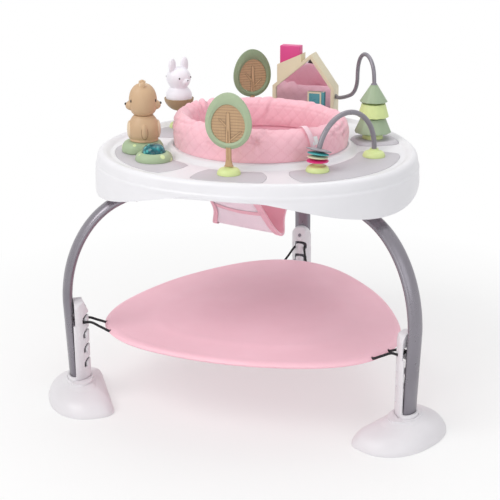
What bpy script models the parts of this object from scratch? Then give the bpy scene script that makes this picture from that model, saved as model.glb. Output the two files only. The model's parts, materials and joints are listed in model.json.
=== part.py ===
# Baby activity center: a three-legged stand with a toy tray, a turning fabric seat and a bouncing platform.
# Metres, +Z up, front of the object towards -Y. The floor is z = 0, the origin is under the middle of the
# object's box, and the seat's axis stands at (0, AXIS_Y). Radii are measured from the seat's axis.

import bpy
import bmesh
from math import acos, cos, degrees, hypot, pi, radians, sin, sqrt
from mathutils import Vector

# Fits
GAP = 0.0003               # between pieces that touch
BORE_SPARE = 0.0004        # round a pin, spigot or tube in its hole
RING_PLAY = 0.0012         # running clearance round the turning seat ring
CUT_OVER = 0.010           # how far cutters reach past the surface that they open

# Leg tubes
LEG_ANGLES = {"left": 210.0, "right": 330.0, "back": 90.0}
LEG_R = 0.390              # centre line of the tubes below their bend, from the seat's axis
TUBE_RADIAL = 0.019        # the oval tube, measured towards the seat's axis
TUBE_WIDE = 0.036          # and across
TUBE_WALL = 0.0016
TUBE_FOOT_R = LEG_R - 0.006   # centre line at the tube's closed lower end
TUBE_END_Z = 0.049
TUBE_NOSE = 0.0046         # the rounded lower end reaches this far below
BEND_Z = 0.208
BEND_REACH = 0.152         # how far inwards a full quarter bend would run
BEND_RISE = 0.205          # and how far it climbs
BEND_STOP = 72.0           # degrees of the bend that are used
TUBE_IN_R = 0.215          # the straight upper end stops here, in its socket
TUBE_SIDES = 10
BEND_STATIONS = 6

# Feet: half of the D-shaped outline on the floor, (outwards, across) from the collar's middle, from the
# straight inner side on
FOOT_HALF = ((-0.0550, 0.0), (-0.0549, 0.0600), (-0.0530, 0.0880), (-0.0415, 0.0995), (-0.0185, 0.1030),
             (0.0065, 0.1005), (0.0285, 0.0890), (0.0465, 0.0690), (0.0590, 0.0380), (0.0625, 0.0))
FOOT_POLE_R = LEG_R - 0.0155   # middle of the raised collar
FOOT_TOP = 0.0460
FOOT_WALL = 0.0028
FOOT_RIM = 0.050           # share of the foot's size that its flat standing rim takes
COLLAR_RADIAL = 0.054
COLLAR_WIDE = 0.085
COLLAR_LOW = 0.0395
BOSS_WALL = 0.0026         # of the socket inside the foot

# Casings on the leg tubes
CASING_HALF = 0.0220       # half width
CASING_FACE_R = LEG_R - 0.0385   # the convex inner face, towards the platform
CASING_BULGE = 0.0250      # how far the face falls back at its edges
CASING_ROUND = 1.7         # power of the face's curve
CASING_WALL = 0.0025
CASING_TOP = 0.212
CASING_BOTTOM = 0.016
CASING_STEP_Z = 0.161      # below this the side walls reach further round the tube
CASING_SIDE_HIGH = LEG_R - 0.0100
CASING_SIDE_LOW = LEG_R - 0.0065
CASING_SLEEVE_R = LEG_R - 0.0040   # the closed sleeve's sides end here, its round back at CASING_BACK_R
CASING_BACK_R = LEG_R + 0.0080
CASING_FLOOR_Z = 0.0570    # the hollow behind the face starts here
CASING_ROOF_Z = 0.1835     # and ends here, below the screw
CASING_SLOPE_R = CASING_FACE_R + 0.0125   # the sloped top meets the tube's side here
SCREW_Z = 0.195
SCREW_SEAT_R = 0.0042
SCREW_SEAT_DEEP = 0.0012

HOOK_TOP_Z = 0.176         # top of the highest hook
HOOK_PITCH = 0.0305
HOOK_COUNT = 4
HOOK_WIDE = 0.0180
HOOK_TALL = 0.0145
SLOT_WIDE = 0.0064
HOOK_ROUND = 0.8           # height of the hook's round top as a share of its half width

# Elastic loops
CORD_R = 0.0025
CORD_SIDES = 6
STRAND_SPREAD = 0.0250     # half the distance of the two strands at the platform's corner
TUNNEL_OUT = 0.0160        # the platform's tunnel opens inside this distance from its corner
TUNNEL_SPARE = 0.0009

# Sockets and buttons under the tray that hold the legs
SOCKET_IN_R = 0.208
SOCKET_WALL = 0.0060       # below the tube, at the button
SOCKET_SIDE = 0.0040
MOUTH_WALL = 0.0045
MOUTH_R = 0.252            # the sockets open outwards here
BUTTON_AT = 0.238
BUTTON_R = 0.0045
BUTTON_FLANGE_R = 0.0063
BUTTON_FLANGE = 0.0018
BUTTON_PROUD = 0.0020
BUTTON_SLOPE = 0.0030      # how much the tube's lower wall climbs under the flange
BUTTON_SIDES = 12
BUTTON_TURN = 15.0         # degrees, sets a flat of the button across the tube's ridge

# Platform
PLATFORM_R = LEG_R - 0.1020
PLATFORM_CORNER = 0.0270
PLATFORM_SHARP = 0.0035
PLATFORM_Z = 0.1440        # height of the rolled edge's middle
PLATFORM_EDGE = 0.0120     # thickness of the rolled edge
PLATFORM_DISH = 0.0050
PLATFORM_CORE = 0.0045     # thickness in the middle
PLATFORM_SIDES = 36

# Tray
DECK_Z = 0.4900
DECK_THICK = 0.0055
TRAY_WALL = 0.0030
TRAY_R = 0.3117            # middle radius of the skirt
TRAY_LOBE = 0.0120         # the skirt's outline swells towards each leg
SKIRT_LOW = 0.4448         # lower edge of the skirt
SKIRT_WAVE = 0.0251        # the edge dips at each leg and arches between them
SKIRT_BEND_Z = 0.4645
RIM_R = 0.2972
RIM_LOBE = 0.0103
RIM_Z = 0.4957
DECK_FLAT = 0.0160         # the deck is flat up to this far inside the rim's crest
TRAY_HOLE_R = 0.1705
COLLAR_SLOPE = 0.0180      # width of the tray's slope down from the seat to the deck
TRAY_SEGMENTS = 36
TRAY_TURN = 2.5            # degrees, keeps the facets' corners off the pads' own corners

# Plates let into the deck: name, from angle, to angle
PADS = {
    "pad_bear": (190.0, 242.0),
    "pad_tree_front": (255.0, 286.0),
    "pad_arch": (299.0, 364.0),
    "pad_bunny": (136.0, 172.0),
    "pad_back": (62.0, 124.0),
}
PAD_THICK = 0.0025
PAD_PROUD = 0.0006
PAD_RIM_GAP = 0.0240       # from the pads' outer edge to the rim's crest
PAD_INNER_R = 0.1930
PAD_CORNER = 0.016
PAD_SPARE = 0.0005         # round a plate in its recess
PEDESTAL_WIDE = 0.085      # the raised plate under the pine, across
PEDESTAL_RADIAL = 0.088
PEDESTAL_TOP = 0.4965
PEDESTAL_OUT = 0.004       # from the pine's axis to the plate's middle

# Seat
SEAT_SEGMENTS = 32
SEAT_TOP = 0.5000          # top of the seat ring
SLEEVE_IN_R = 0.1500
SLEEVE_OUT_R = 0.1580
SLEEVE_LOW = 0.4560
SLEEVE_NECK = 0.0040       # wall of the sleeve above its flange
LEDGE_TOP = 0.4672
LEDGE_THICK = 0.0040
LEDGE_WALL = 0.0035
FLANGE_R = 0.1655
FLANGE_THICK = 0.0035
TOP_FLANGE_THICK = 0.0025
RETAINER_THICK = 0.0045
RETAINER_R = 0.1650
UNDER_R = 0.262            # outer radius of the plate below the deck
UNDER_THICK = 0.0042
CUSHION_MID_R = 0.1542
CUSHION_TOP = 0.5585
CUSHION_HALF = 0.0172
CUSHION_TUFTS = 8
CUSHION_PUFF = 0.0022
CUSHION_LEAN = 0.0060      # the crown stands higher at the left
CUSHION_LEAN_AT = 205.0
SLING_R = 0.1475
SLING_THICK = 0.0018
SLING_HEM = 0.4470
SLING_LOW = 0.3230
SLING_TURN = -17.3         # the hanging strip's direction, degrees from +X
SLING_COLUMNS = 8
SLING_SIDE_COLUMNS = 5
SLING_ROWS = 6
# The strip at its hem, halfway down and at its lowest: middle and half length along its own direction
SLING_SPANS = ((-0.0200, 0.0845), (-0.0240, 0.0660), (-0.0195, 0.0855))
SLING_ASIDE = -0.0120      # the lowest line lies this far towards the front

# Toys: places on the tray, radius and degrees
DOME_R = 0.0215
DOME_TALL = 0.0132
DOME_SEAT_R = 0.0100
DOME_CONE = 0.0022         # the top falls this far to its edge, so that what sways on it stays clear
SPIGOT_R = 0.0060
SPIGOT_LONG = 0.0045
SPIGOT_SIDES = 8
SPIGOT_TURN = 7.0          # turns the holes' corners out of line with their neighbours
DOME_SIDES = 14
TREE_FRONT_AT = (0.213, 268.9)
TREE_BACK_AT = (0.239, 109.0)
ARCH_LEFT_AT = (0.211, 313.4)
ARCH_RIGHT_AT = (0.227, 354.7)
PINE_AT = (0.2276, 26.8)
BUNNY_AT = (0.2448, 148.8)
BEAR_AT = (0.227, 203.0)
LIGHT_AT = (0.225, 221.8)
BATTERY_AT = (0.232, 238.0)
HOUSE_X = 0.045
HOUSE_Y = 0.225            # from the seat's axis
HOUSE_FACING = 266.0

# Trees
TREE_WIDE = 0.0850
TREE_TALL = 0.1010
TREE_MIDDLE_Z = 0.5870
TREE_BACK_LIFT = 0.0060    # the back tree stands higher
TREE_BACK_TURN = 20.0      # and is turned on its stem
TREE_BORDER_SIDE = 0.0115
TREE_BORDER_LOW = 0.0115
TREE_BORDER_TOP = 0.0205
TREE_THICK = 0.0120
PANEL_THICK = 0.0040
POST_PROUD = 0.0016        # the trunk's post stands out of the panel
POST_HALF = 0.0044
EGG_SIDES = 20

# Bear, bush and light
BEAR_RING_Z = 0.5120
BEAR_NECK_Z = 0.5620
BEAR_HEAD_TOP = 0.6225
BEAR_BODY_R = 0.0305
BEAR_FOOT_R = 0.0272
BEAR_HEAD_R = 0.0268
BEAR_SIDES = 14
BUSH_RADIAL = 0.0400
BUSH_WIDE = 0.0350
BUSH_OUT = 0.0030
BUSH_WAVES = 5
LIGHT_R = 0.0350
LIGHT_TOP = 0.5060
LENS_R = 0.0215
LENS_TALL = 0.0150
LENS_SLOT = 0.0036
LENS_TRAVEL = 0.0030
BATTERY_LONG = 0.056
BATTERY_WIDE = 0.036
BATTERY_TALL = 0.020
BATTERY_WALL = 0.002

# Bunny
BUNNY_CUP_LOW = 0.5260
BUNNY_CUP_TOP = 0.5525
BUNNY_SEAT_DEEP = 0.0040
BUNNY_NECK_Z = 0.5750
BUNNY_HEAD_TOP = 0.6170
BUNNY_HEAD_R = 0.0256
BUNNY_EARS_TOP = 0.6370
BUNNY_EAR_X = 0.0165
CUP_R = 0.0310
CUP_LIP = 0.0024
STEM_R = 0.0045

# House; its own x runs along its front and y into its depth
HOUSE_LEFT = -0.0800
HOUSE_RIGHT = 0.0550
HOUSE_EAVE = 0.5680
HOUSE_PEAK_X = 0.0040
HOUSE_PEAK = 0.6380
HOUSE_DEEP = 0.0400
HOUSE_WALL = 0.0070
BACK_WALL = 0.0030
HOUSE_SPIGOT = (-0.012, 0.020)
MIRROR_FRONT = 0.0058
MIRROR_THICK = 0.0025
CHIMNEY_X = (-0.0670, -0.0230)
CHIMNEY_Y = (0.0100, 0.0330)
CHIMNEY_TOP = 0.6520
CHIMNEY_LONG = 0.0560
HOUSING_SPARE = 0.0045     # wall of the chimney's housing
HOUSING_RISE = 0.0170      # the housing stands this far above the roof
HOUSING_LEFT_RISE = 0.0200
DOOR_X = (-0.0020, 0.0285)
DOOR_Z = (0.5060, 0.5590)
DOOR_THICK = 0.0030
DOOR_PIN_R = 0.0016
DOOR_PIN_Y = 0.0021
DOOR_SLEEVE_WALL = 0.0015

# Wire and pine
WIRE_R = 0.0040
WIRE_SIDES = 8
# The wire's route from the house to the pine: share of the way across, and height
WIRE_ROUTE = ((0.0, 0.5490), (0.09, 0.5490), (0.25, 0.5550), (0.36, 0.5610), (0.472, 0.5695), (0.543, 0.5810),
              (0.583, 0.5970), (0.590, 0.6180), (0.612, 0.6360), (0.660, 0.6490), (0.742, 0.6570),
              (0.835, 0.6560), (0.90, 0.6500), (0.950, 0.6410), (0.985, 0.6280), (1.0, 0.6120))
WIRE_IN_WALL = 0.0030      # length of the wire inside the house's wall
PINE_BASE_FLOOR = 0.0022   # thickness below the wire's end
PINE_HUB_R = 0.0105
PINE_SKIN = 0.0030
# Tiers from the top: name, lower edge, upper edge, radius below, radius above
PINE_TIERS = (
    ("pine_tier_top", 0.5700, 0.6035, 0.0278, 0.0068),
    ("pine_tier_middle", 0.5400, 0.5665, 0.0312, 0.0235),
    ("pine_tier_bottom", 0.5090, 0.5380, 0.0368, 0.0245),
)

# Arch with disks
ARCH_TUBE_R = 0.0048
ARCH_CENTRE_Z = 0.5085
ARCH_DOME_TOP = 0.5040
ARCH_COLLAR = 0.0020       # the domes' little collar round the tube
ARCH_COLLAR_R = 0.0085
ARCH_SINK = 0.0062         # how deep the tube stands in its dome
ARCH_STEPS = 18
ARCH_SIDES = 10
DISKS = (
    ("arch_disk_magenta", 0.0200),
    ("arch_disk_cream", 0.0190),
    ("arch_disk_teal", 0.0198),
    ("arch_disk_grey", 0.0232),
)
DISK_HUB = 0.0054
DISK_PITCH = 0.0066
DISK_FIRST = 0.0055        # from the dome's top to the first disk's middle
DISK_BORE_SPARE = 0.0009
DISK_SIDES = 14

# Colours, linear
WHITE = (0.85, 0.85, 0.87)
FOOT_WHITE = (0.80, 0.79, 0.81)
SILVER = (0.31, 0.29, 0.31)
PINK = (0.89, 0.49, 0.58)
PLATFORM_PINK = (0.88, 0.53, 0.62)
BLACK = (0.012, 0.012, 0.014)
PAD_GREY = (0.62, 0.60, 0.64)
SAGE = (0.37, 0.45, 0.30)
BUSH_GREEN = (0.39, 0.49, 0.30)
WOOD = (0.55, 0.37, 0.21)
LIME = (0.68, 0.79, 0.35)
BEIGE = (0.72, 0.63, 0.43)
MAGENTA = (0.69, 0.07, 0.25)
TEAL = (0.08, 0.30, 0.35)
LENS_TEAL = (0.02, 0.22, 0.23)
MIRROR = (0.80, 0.80, 0.82)
TAN = (0.60, 0.41, 0.25)
BUNNY_WHITE = (0.83, 0.80, 0.88)
CUP_BROWN = (0.40, 0.27, 0.15)
GREY = (0.32, 0.30, 0.33)
DISK_COLOURS = {"arch_disk_magenta": MAGENTA, "arch_disk_cream": (0.72, 0.70, 0.42),
                "arch_disk_teal": (0.08, 0.45, 0.46), "arch_disk_grey": GREY}

PLATFORM_TIP = PLATFORM_R + PLATFORM_CORNER + PLATFORM_SHARP
PAD_TOP = DECK_Z + PAD_PROUD
PAD_LOW = PAD_TOP - PAD_THICK
BASE_Z = PAD_TOP + GAP
DECK_UNDER = DECK_Z - DECK_THICK
UNDER_TOP = DECK_UNDER - GAP
AXIS_Y = (TRAY_R - TRAY_LOBE - FOOT_POLE_R - FOOT_HALF[-1][0]) / 2


def rim_pull(angle, amount):
    """How much a three-lobed outline swells at an angle in degrees; the legs are its lobes."""
    return -amount * cos(3 * radians(angle - LEG_ANGLES["back"] - 180.0))


# Helpers that make solids

def clear_scene():
    for old in list(bpy.data.objects):
        bpy.data.objects.remove(old, do_unlink=True)


def material(name, colour, roughness=0.5, metallic=0.0):
    made = bpy.data.materials.get(name)
    if made:
        return made
    made = bpy.data.materials.new(name)
    made.use_nodes = True
    shader = made.node_tree.nodes["Principled BSDF"]
    shader.inputs["Base Color"].default_value = (*colour, 1.0)
    shader.inputs["Roughness"].default_value = roughness
    shader.inputs["Metallic"].default_value = metallic
    made.diffuse_color = (*colour, 1.0)
    return made


def add_object(name, mesh, paint=None, parent=None, place=(0, 0, 0), turn=0.0):
    thing = bpy.data.objects.new(name, mesh)
    bpy.context.scene.collection.objects.link(thing)
    thing.location = place
    thing.rotation_euler = (0, 0, turn)
    thing.parent = parent
    if paint:
        mesh.materials.clear()
        mesh.materials.append(paint)
    return thing


def closed_mesh(name, points, faces, smooth=40.0):
    mesh = bpy.data.meshes.new(name)
    mesh.from_pydata([tuple(p) for p in points], [], faces)
    work = bmesh.new()
    work.from_mesh(mesh)
    bmesh.ops.recalc_face_normals(work, faces=work.faces)
    closed = all(edge.is_manifold for edge in work.edges)
    if closed and work.calc_volume(signed=True) < 0:
        bmesh.ops.reverse_faces(work, faces=work.faces)
    work.to_mesh(mesh)
    work.free()
    if smooth:
        mesh.shade_smooth()
        mesh.set_sharp_from_angle(angle=radians(smooth))
    return mesh


def skin(rings, closed=False):
    """A solid's points and faces through rings of points. A ring of one point is a tip."""
    points, starts, faces = [], [], []
    for ring in rings:
        starts.append(len(points))
        points.extend(ring)
    pairs = list(zip(range(len(rings)), range(1, len(rings))))
    if closed:
        pairs.append((len(rings) - 1, 0))
    for a, b in pairs:
        count = max(len(rings[a]), len(rings[b]))
        for i in range(count):
            j = (i + 1) % count
            if len(rings[a]) == 1:
                faces.append((starts[a], starts[b] + j, starts[b] + i))
            elif len(rings[b]) == 1:
                faces.append((starts[a] + i, starts[a] + j, starts[b]))
            else:
                faces.append((starts[a] + i, starts[a] + j, starts[b] + j, starts[b] + i))
    if not closed:
        for end in (0, len(rings) - 1):
            if len(rings[end]) > 1:
                faces.append(tuple(starts[end] + i for i in range(len(rings[end]))))
    return points, faces


def turned(name, profile, sides, ring=False, smooth=40.0):
    """A solid of revolution about Z from (radius, height) pairs; radius 0 is a tip."""
    rings = []
    for radius, height in profile:
        if radius == 0:
            rings.append([Vector((0, 0, height))])
        else:
            rings.append([Vector((radius * cos(2 * pi * i / sides), radius * sin(2 * pi * i / sides), height))
                          for i in range(sides)])
    return closed_mesh(name, *skin(rings, closed=ring), smooth=smooth)


def prism(name, outline, low, high, axes="XYZ", smooth=35.0):
    """An outline extruded from low to high. axes names where outline x, outline y and the depth go."""
    def place(u, v, w):
        value = dict(zip(axes, (u, v, w)))
        return Vector((value["X"], value["Y"], value["Z"]))
    rings = [[place(u, v, w) for u, v in outline] for w in (low, high)]
    return closed_mesh(name, *skin(rings), smooth=smooth)


def box(name, low, high):
    outline = [(low[0], low[1]), (high[0], low[1]), (high[0], high[1]), (low[0], high[1])]
    return prism(name, outline, low[2], high[2], smooth=None)


def cutter(name, mesh, parent=None, place=(0, 0, 0), turn=0.0):
    tool = add_object(name, mesh, None, parent, place, turn)
    tool.hide_render = True
    tool.display_type = "WIRE"
    return tool


def combine(thing, tool, operation="DIFFERENCE"):
    step = thing.modifiers.new(tool.name, "BOOLEAN")
    step.operation = operation
    step.object = tool
    step.solver = "EXACT"


def join_meshes(name, meshes):
    """Several separate closed meshes in one, for a cutter."""
    points, faces = [], []
    for mesh in meshes:
        start = len(points)
        points.extend(v.co.copy() for v in mesh.vertices)
        faces.extend(tuple(start + i for i in f.vertices) for f in mesh.polygons)
    return closed_mesh(name, points, faces, smooth=None)


def polar(radius, angle, height=0.0):
    return Vector((radius * cos(radians(angle)), AXIS_Y + radius * sin(radians(angle)), height))


def oval(long_x, long_y, sides, square=1.0):
    """An oval outline; square below 1 fills its corners."""
    out = []
    for i in range(sides):
        c, s = cos(2 * pi * i / sides), sin(2 * pi * i / sides)
        out.append((long_x * (abs(c) ** square) * (1 if c >= 0 else -1),
                    long_y * (abs(s) ** square) * (1 if s >= 0 else -1)))
    return out


def tube_mesh(name, points, radius, sides, across, closed=False, smooth=40.0):
    """A round rod along points; across is a direction that the points never run along."""
    rings = []
    count = len(points)
    for i, point in enumerate(points):
        if closed:
            before, after = points[i - 1], points[(i + 1) % count]
        else:
            before, after = points[max(i - 1, 0)], points[min(i + 1, count - 1)]
        along = (after - before).normalized()
        side = along.cross(across).normalized()
        up = side.cross(along)
        rings.append([point + side * radius * cos(2 * pi * k / sides) + up * radius * sin(2 * pi * k / sides)
                      for k in range(sides)])
    return closed_mesh(name, *skin(rings, closed=closed), smooth=smooth)


def empty(name, place, turn):
    mark = bpy.data.objects.new(name, None)
    bpy.context.scene.collection.objects.link(mark)
    mark.location = place
    mark.rotation_euler = (0, 0, turn)
    return mark


def station(name, radius, angle):
    """An empty on the tray, its Y axis pointing away from the seat."""
    return empty(name, polar(radius, angle), radians(angle - 90.0))


def place_on_line(line, radius):
    """Height of a line of (radius, height) points at a radius; the line runs inwards."""
    for (r0, z0), (r1, z1) in zip(line, line[1:]):
        if r1 <= radius <= r0:
            return z0 + (z1 - z0) * (r0 - radius) / (r0 - r1)
    return line[-1][1]


# Legs

def leg_line():
    """The tube's centre line in its own plane, (radius, height) from the foot up."""
    line = [(TUBE_FOOT_R, TUBE_END_Z), (LEG_R, BEND_Z)]
    for i in range(1, BEND_STATIONS + 1):
        turn = radians(BEND_STOP * i / BEND_STATIONS)
        line.append((LEG_R - BEND_REACH * (1 - cos(turn)), BEND_Z + BEND_RISE * sin(turn)))
    r, z = line[-1]
    turn = radians(BEND_STOP)
    climb = BEND_RISE * cos(turn) / (BEND_REACH * sin(turn))
    line.append((TUBE_IN_R, z + (r - TUBE_IN_R) * climb))
    return line


def leg_tube_rings(grow, line):
    """Oval rings square to the line, grown outwards by grow."""
    rings = []
    for i, (r, z) in enumerate(line):
        r0, z0 = line[max(i - 1, 0)]
        r1, z1 = line[min(i + 1, len(line) - 1)]
        run = hypot(r1 - r0, z1 - z0)
        side_r, side_z = (z1 - z0) / run, -(r1 - r0) / run
        rings.append([Vector((r + side_r * u, v, z + side_z * u))
                      for u, v in oval(TUBE_RADIAL / 2 + grow, TUBE_WIDE / 2 + grow, TUBE_SIDES)])
    return rings


def leg_tube_mesh():
    """A bent oval tube, open at its upper end and closed by a rounded lower end."""
    line = leg_line()
    outer = leg_tube_rings(0.0, line)
    inner = leg_tube_rings(-TUBE_WALL, line)

    def end_ring(ring, scale, drop):
        return [Vector((TUBE_FOOT_R + (p.x - TUBE_FOOT_R) * scale, p.y * scale, TUBE_END_Z - drop))
                for p in ring]

    rings = [[Vector((TUBE_FOOT_R, 0, TUBE_END_Z - TUBE_NOSE))], end_ring(outer[0], 0.62, TUBE_NOSE * 0.91)]
    rings += [end_ring(outer[0], 0.90, TUBE_NOSE * 0.56)] + outer + inner[::-1]
    rings += [end_ring(inner[0], 0.72, TUBE_NOSE * 0.5),
              [Vector((TUBE_FOOT_R, 0, TUBE_END_Z - TUBE_NOSE * 0.6))]]
    return closed_mesh("leg_tube", *skin(rings))


def tube_channel(name, line, turn):
    """Cutter for the tube's room in a neighbour."""
    mesh = closed_mesh(name, *skin(leg_tube_rings(GAP, line)), smooth=None)
    return cutter(name, mesh, None, (0, AXIS_Y, 0), turn)


def arch_outline(half, low, top, arcs=8):
    """An upright outline with a half-round top: (across, height)."""
    out = [(-half, low), (half, low)]
    for i in range(arcs + 1):
        turn = pi * i / arcs
        out.append((half * cos(turn), top - half + half * sin(turn)))
    return out


def hook_slot_outline(top, arcs=3):
    """The inverted U round one hook, in the casing's face: (across, height)."""
    half = HOOK_WIDE / 2
    low = top - HOOK_TALL
    outer = half + SLOT_WIDE
    round_in = half * HOOK_ROUND
    round_out = outer * HOOK_ROUND
    out = [(-outer, low), (-half, low)]
    for i in range(arcs + 1):
        turn = pi - pi * i / arcs
        out.append((half * cos(turn), top - round_in + round_in * sin(turn)))
    out += [(half, low), (outer, low)]
    for i in range(arcs + 1):
        turn = pi * i / arcs
        out.append((outer * cos(turn), top + SLOT_WIDE - round_out + round_out * sin(turn)))
    return out


def casing_plan(side_r, inset=0.0, sleeve=False):
    """Plan of a casing, (radius, across): the convex face, then straight sides, or a sleeve's round back."""
    half = CASING_HALF - inset
    shares = (-1.0, -0.7, -0.3, 0.3, 0.7, 1.0)
    out = [(CASING_FACE_R + inset + CASING_BULGE * abs(s) ** CASING_ROUND, half * s) for s in shares]
    if not sleeve:
        return out + [(side_r, half), (side_r, -half)]
    back = CASING_BACK_R - side_r - inset
    for i in range(4):
        turn = pi / 2 - pi * i / 3
        out.append((side_r + back * cos(turn), half * sin(turn)))
    return out


def make_casing(name, turn, paint):
    """The white clip-on casing: a channel with four hooks in its face, closed round the tube at its foot."""
    place = (0, AXIS_Y, 0)
    wide = CASING_HALF + CUT_OVER
    casing = add_object(name, prism(name, casing_plan(CASING_SIDE_LOW), TUBE_END_Z, CASING_TOP), paint, None,
                        place, turn)

    def cut(tag, mesh, operation="DIFFERENCE"):
        combine(casing, cutter(tag + name, mesh, None, place, turn), operation)

    arch = arch_outline(CASING_HALF + GAP, TUBE_END_Z - CUT_OVER, CASING_TOP)
    cut("keep_arch_", prism("keep_arch", arch, CASING_FACE_R - CUT_OVER, CASING_BACK_R + CUT_OVER, "YZX",
                            smooth=None), "INTERSECT")
    step = box("cut_step", (CASING_SIDE_HIGH, -wide, CASING_STEP_Z),
               (CASING_BACK_R, wide, CASING_TOP + CUT_OVER))
    cut("cut_step_", step)
    sleeve = prism("join_sleeve", casing_plan(CASING_SLEEVE_R, GAP, True), CASING_BOTTOM, TUBE_END_Z + 0.004)
    cut("join_sleeve_", sleeve, "UNION")

    slope = [(CASING_FACE_R - CUT_OVER, CASING_ROOF_Z), (CASING_FACE_R, CASING_ROOF_Z),
             (CASING_SLOPE_R, CASING_TOP + GAP), (CASING_SLOPE_R, CASING_TOP + CUT_OVER),
             (CASING_FACE_R - CUT_OVER, CASING_TOP + CUT_OVER)]
    cut("cut_slope_", prism("cut_slope", slope, -wide, wide, "XZY", smooth=None))

    line = [p for p in leg_line() if p[1] < CASING_TOP + 0.06]
    r, z = line[0]
    line[0] = (r, z - TUBE_NOSE - GAP)
    combine(casing, tube_channel("cut_channel_" + name, line, turn))
    room = prism("cut_room", casing_plan(CASING_BACK_R + CUT_OVER, CASING_WALL), CASING_FLOOR_Z,
                 CASING_ROOF_Z,
                 smooth=None)
    cut("cut_room_", room)

    slots = [prism("slot", hook_slot_outline(HOOK_TOP_Z - HOOK_PITCH * i), CASING_FACE_R - CUT_OVER,
                   CASING_SIDE_HIGH, "YZX", smooth=None) for i in range(HOOK_COUNT)]
    cut("cut_hooks_", join_meshes("cut_hooks", slots))

    share = (SCREW_Z - CASING_ROOF_Z) / (CASING_TOP + GAP - CASING_ROOF_Z)
    slope_r = CASING_FACE_R + (CASING_SLOPE_R - CASING_FACE_R) * share
    lean = SCREW_SEAT_R * (CASING_SLOPE_R - CASING_FACE_R) / (CASING_TOP - CASING_ROOF_Z)
    disc = [(SCREW_SEAT_R * cos(2 * pi * k / 12), SCREW_Z + SCREW_SEAT_R * sin(2 * pi * k / 12))
            for k in range(12)]
    cut("cut_screw_", prism("cut_screw", disc, slope_r - CUT_OVER, slope_r + lean + SCREW_SEAT_DEEP, "YZX",
                            smooth=None))


def foot_ring(scale, height, collar=0.0, spare=0.0):
    """One ring of the foot; scale 1 is its outline on the floor, collar 1 the oval of its raised collar."""
    half = list(FOOT_HALF)
    outline = half + [(x, -y) for x, y in half[-2:0:-1]]
    ring = []
    for x, y in outline:
        u = x * scale
        v = y * scale
        run = hypot(u / (COLLAR_RADIAL / 2 + spare), v / (COLLAR_WIDE / 2 + spare))
        u += (u / run - u) * collar
        v += (v / run - v) * collar
        ring.append(Vector((FOOT_POLE_R + u, v, height)))
    return ring


def make_foot(name, turn, paint):
    """A hollow white dome with a raised collar and a socket in it, standing on a flat rim."""
    under = FOOT_TOP - FOOT_WALL
    outer = [foot_ring(1.0, 0.0), foot_ring(1.0, 0.0035), foot_ring(0.955, 0.0125), foot_ring(0.84, 0.0240),
             foot_ring(0.66, 0.0345, 0.3), foot_ring(0.5, COLLAR_LOW, 1.0),
             foot_ring(0.5, FOOT_TOP, 1.0, -0.0012)]
    inner = [foot_ring(0.5, under, 1.0, -BOSS_WALL), foot_ring(0.78, 0.0235), foot_ring(1.0 - FOOT_RIM, 0.0)]
    rings = [[Vector((FOOT_POLE_R, 0, FOOT_TOP))]] + outer[::-1] + inner[::-1] + [[Vector((FOOT_POLE_R, 0,
                                                                                           under))]]
    place = (0, AXIS_Y, 0)
    foot = add_object(name, closed_mesh(name, *skin(rings)), paint, None, place, turn)
    boss = prism("join_boss", casing_plan(CASING_SLEEVE_R, -BOSS_WALL, True), CASING_BOTTOM,
                 FOOT_TOP - FOOT_WALL / 2,
                 smooth=None)
    combine(foot, cutter("join_boss_" + name, boss, None, place, turn), "UNION")
    hole = prism("cut_socket", casing_plan(CASING_SLEEVE_R, -BORE_SPARE, True), 0.0, FOOT_TOP + CUT_OVER,
                 smooth=None)
    combine(foot, cutter("cut_socket_" + name, hole, None, place, turn))


def socket_low(radius, wall):
    """Lower face of a leg socket, below the tube at a radius."""
    return place_on_line(leg_line(), radius) - TUBE_RADIAL / 2 - wall


def button_low():
    """Lower end of a leg button, proud of the socket."""
    return socket_low(BUTTON_AT, SOCKET_WALL) - BUTTON_PROUD


def make_button(name, angle, paint):
    """A sprung button that locks a leg in its socket; it slides upwards into the tube."""
    shaft = BUTTON_PROUD + SOCKET_WALL + TUBE_WALL + BUTTON_SLOPE + GAP
    chamfer = BUTTON_R * 0.18
    profile = [(0, 0), (BUTTON_R - chamfer, 0), (BUTTON_R, chamfer), (BUTTON_R, shaft),
               (BUTTON_FLANGE_R, shaft), (BUTTON_FLANGE_R, shaft + BUTTON_FLANGE), (0, shaft + BUTTON_FLANGE)]
    add_object(name, turned(name, profile, BUTTON_SIDES), paint, None, polar(BUTTON_AT, angle, button_low()),
               radians(angle + BUTTON_TURN))


def button_hole(name, angle):
    """The hole for a leg button through the socket and the tube's lower wall."""
    top = SOCKET_WALL + TUBE_RADIAL / 2
    profile = [(0, -CUT_OVER), (BUTTON_R + BORE_SPARE, -CUT_OVER), (BUTTON_R + BORE_SPARE, top), (0, top)]
    return cutter(name, turned(name, profile, BUTTON_SIDES, smooth=None), None,
                  polar(BUTTON_AT, angle, button_low()), radians(angle + BUTTON_TURN))


def make_legs():
    silver = material("silver_paint", SILVER, 0.35, 0.6)
    white = material("foot_white", FOOT_WHITE, 0.45)
    grey = material("button_grey", GREY, 0.4)
    for side, angle in LEG_ANGLES.items():
        turn = radians(angle)
        tube = add_object("leg_tube_" + side, leg_tube_mesh(), silver, None, (0, AXIS_Y, 0), turn)
        combine(tube, button_hole("cut_button_" + side, angle))
        make_casing("leg_casing_" + side, turn, white)
        make_foot("foot_" + side, turn, white)
        make_button("leg_button_" + side, angle, grey)


# Platform and its elastic loops

def platform_ring(scale, height):
    """The platform's rounded triangle, scaled towards its middle."""
    ring = []
    for i in range(PLATFORM_SIDES):
        angle = 360.0 * i / PLATFORM_SIDES
        off = radians(angle - LEG_ANGLES["back"])
        radius = scale * (PLATFORM_R + PLATFORM_CORNER * cos(3 * off) + PLATFORM_SHARP * cos(6 * off))
        ring.append(Vector((radius * cos(radians(angle)), radius * sin(radians(angle)), height)))
    return ring


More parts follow.
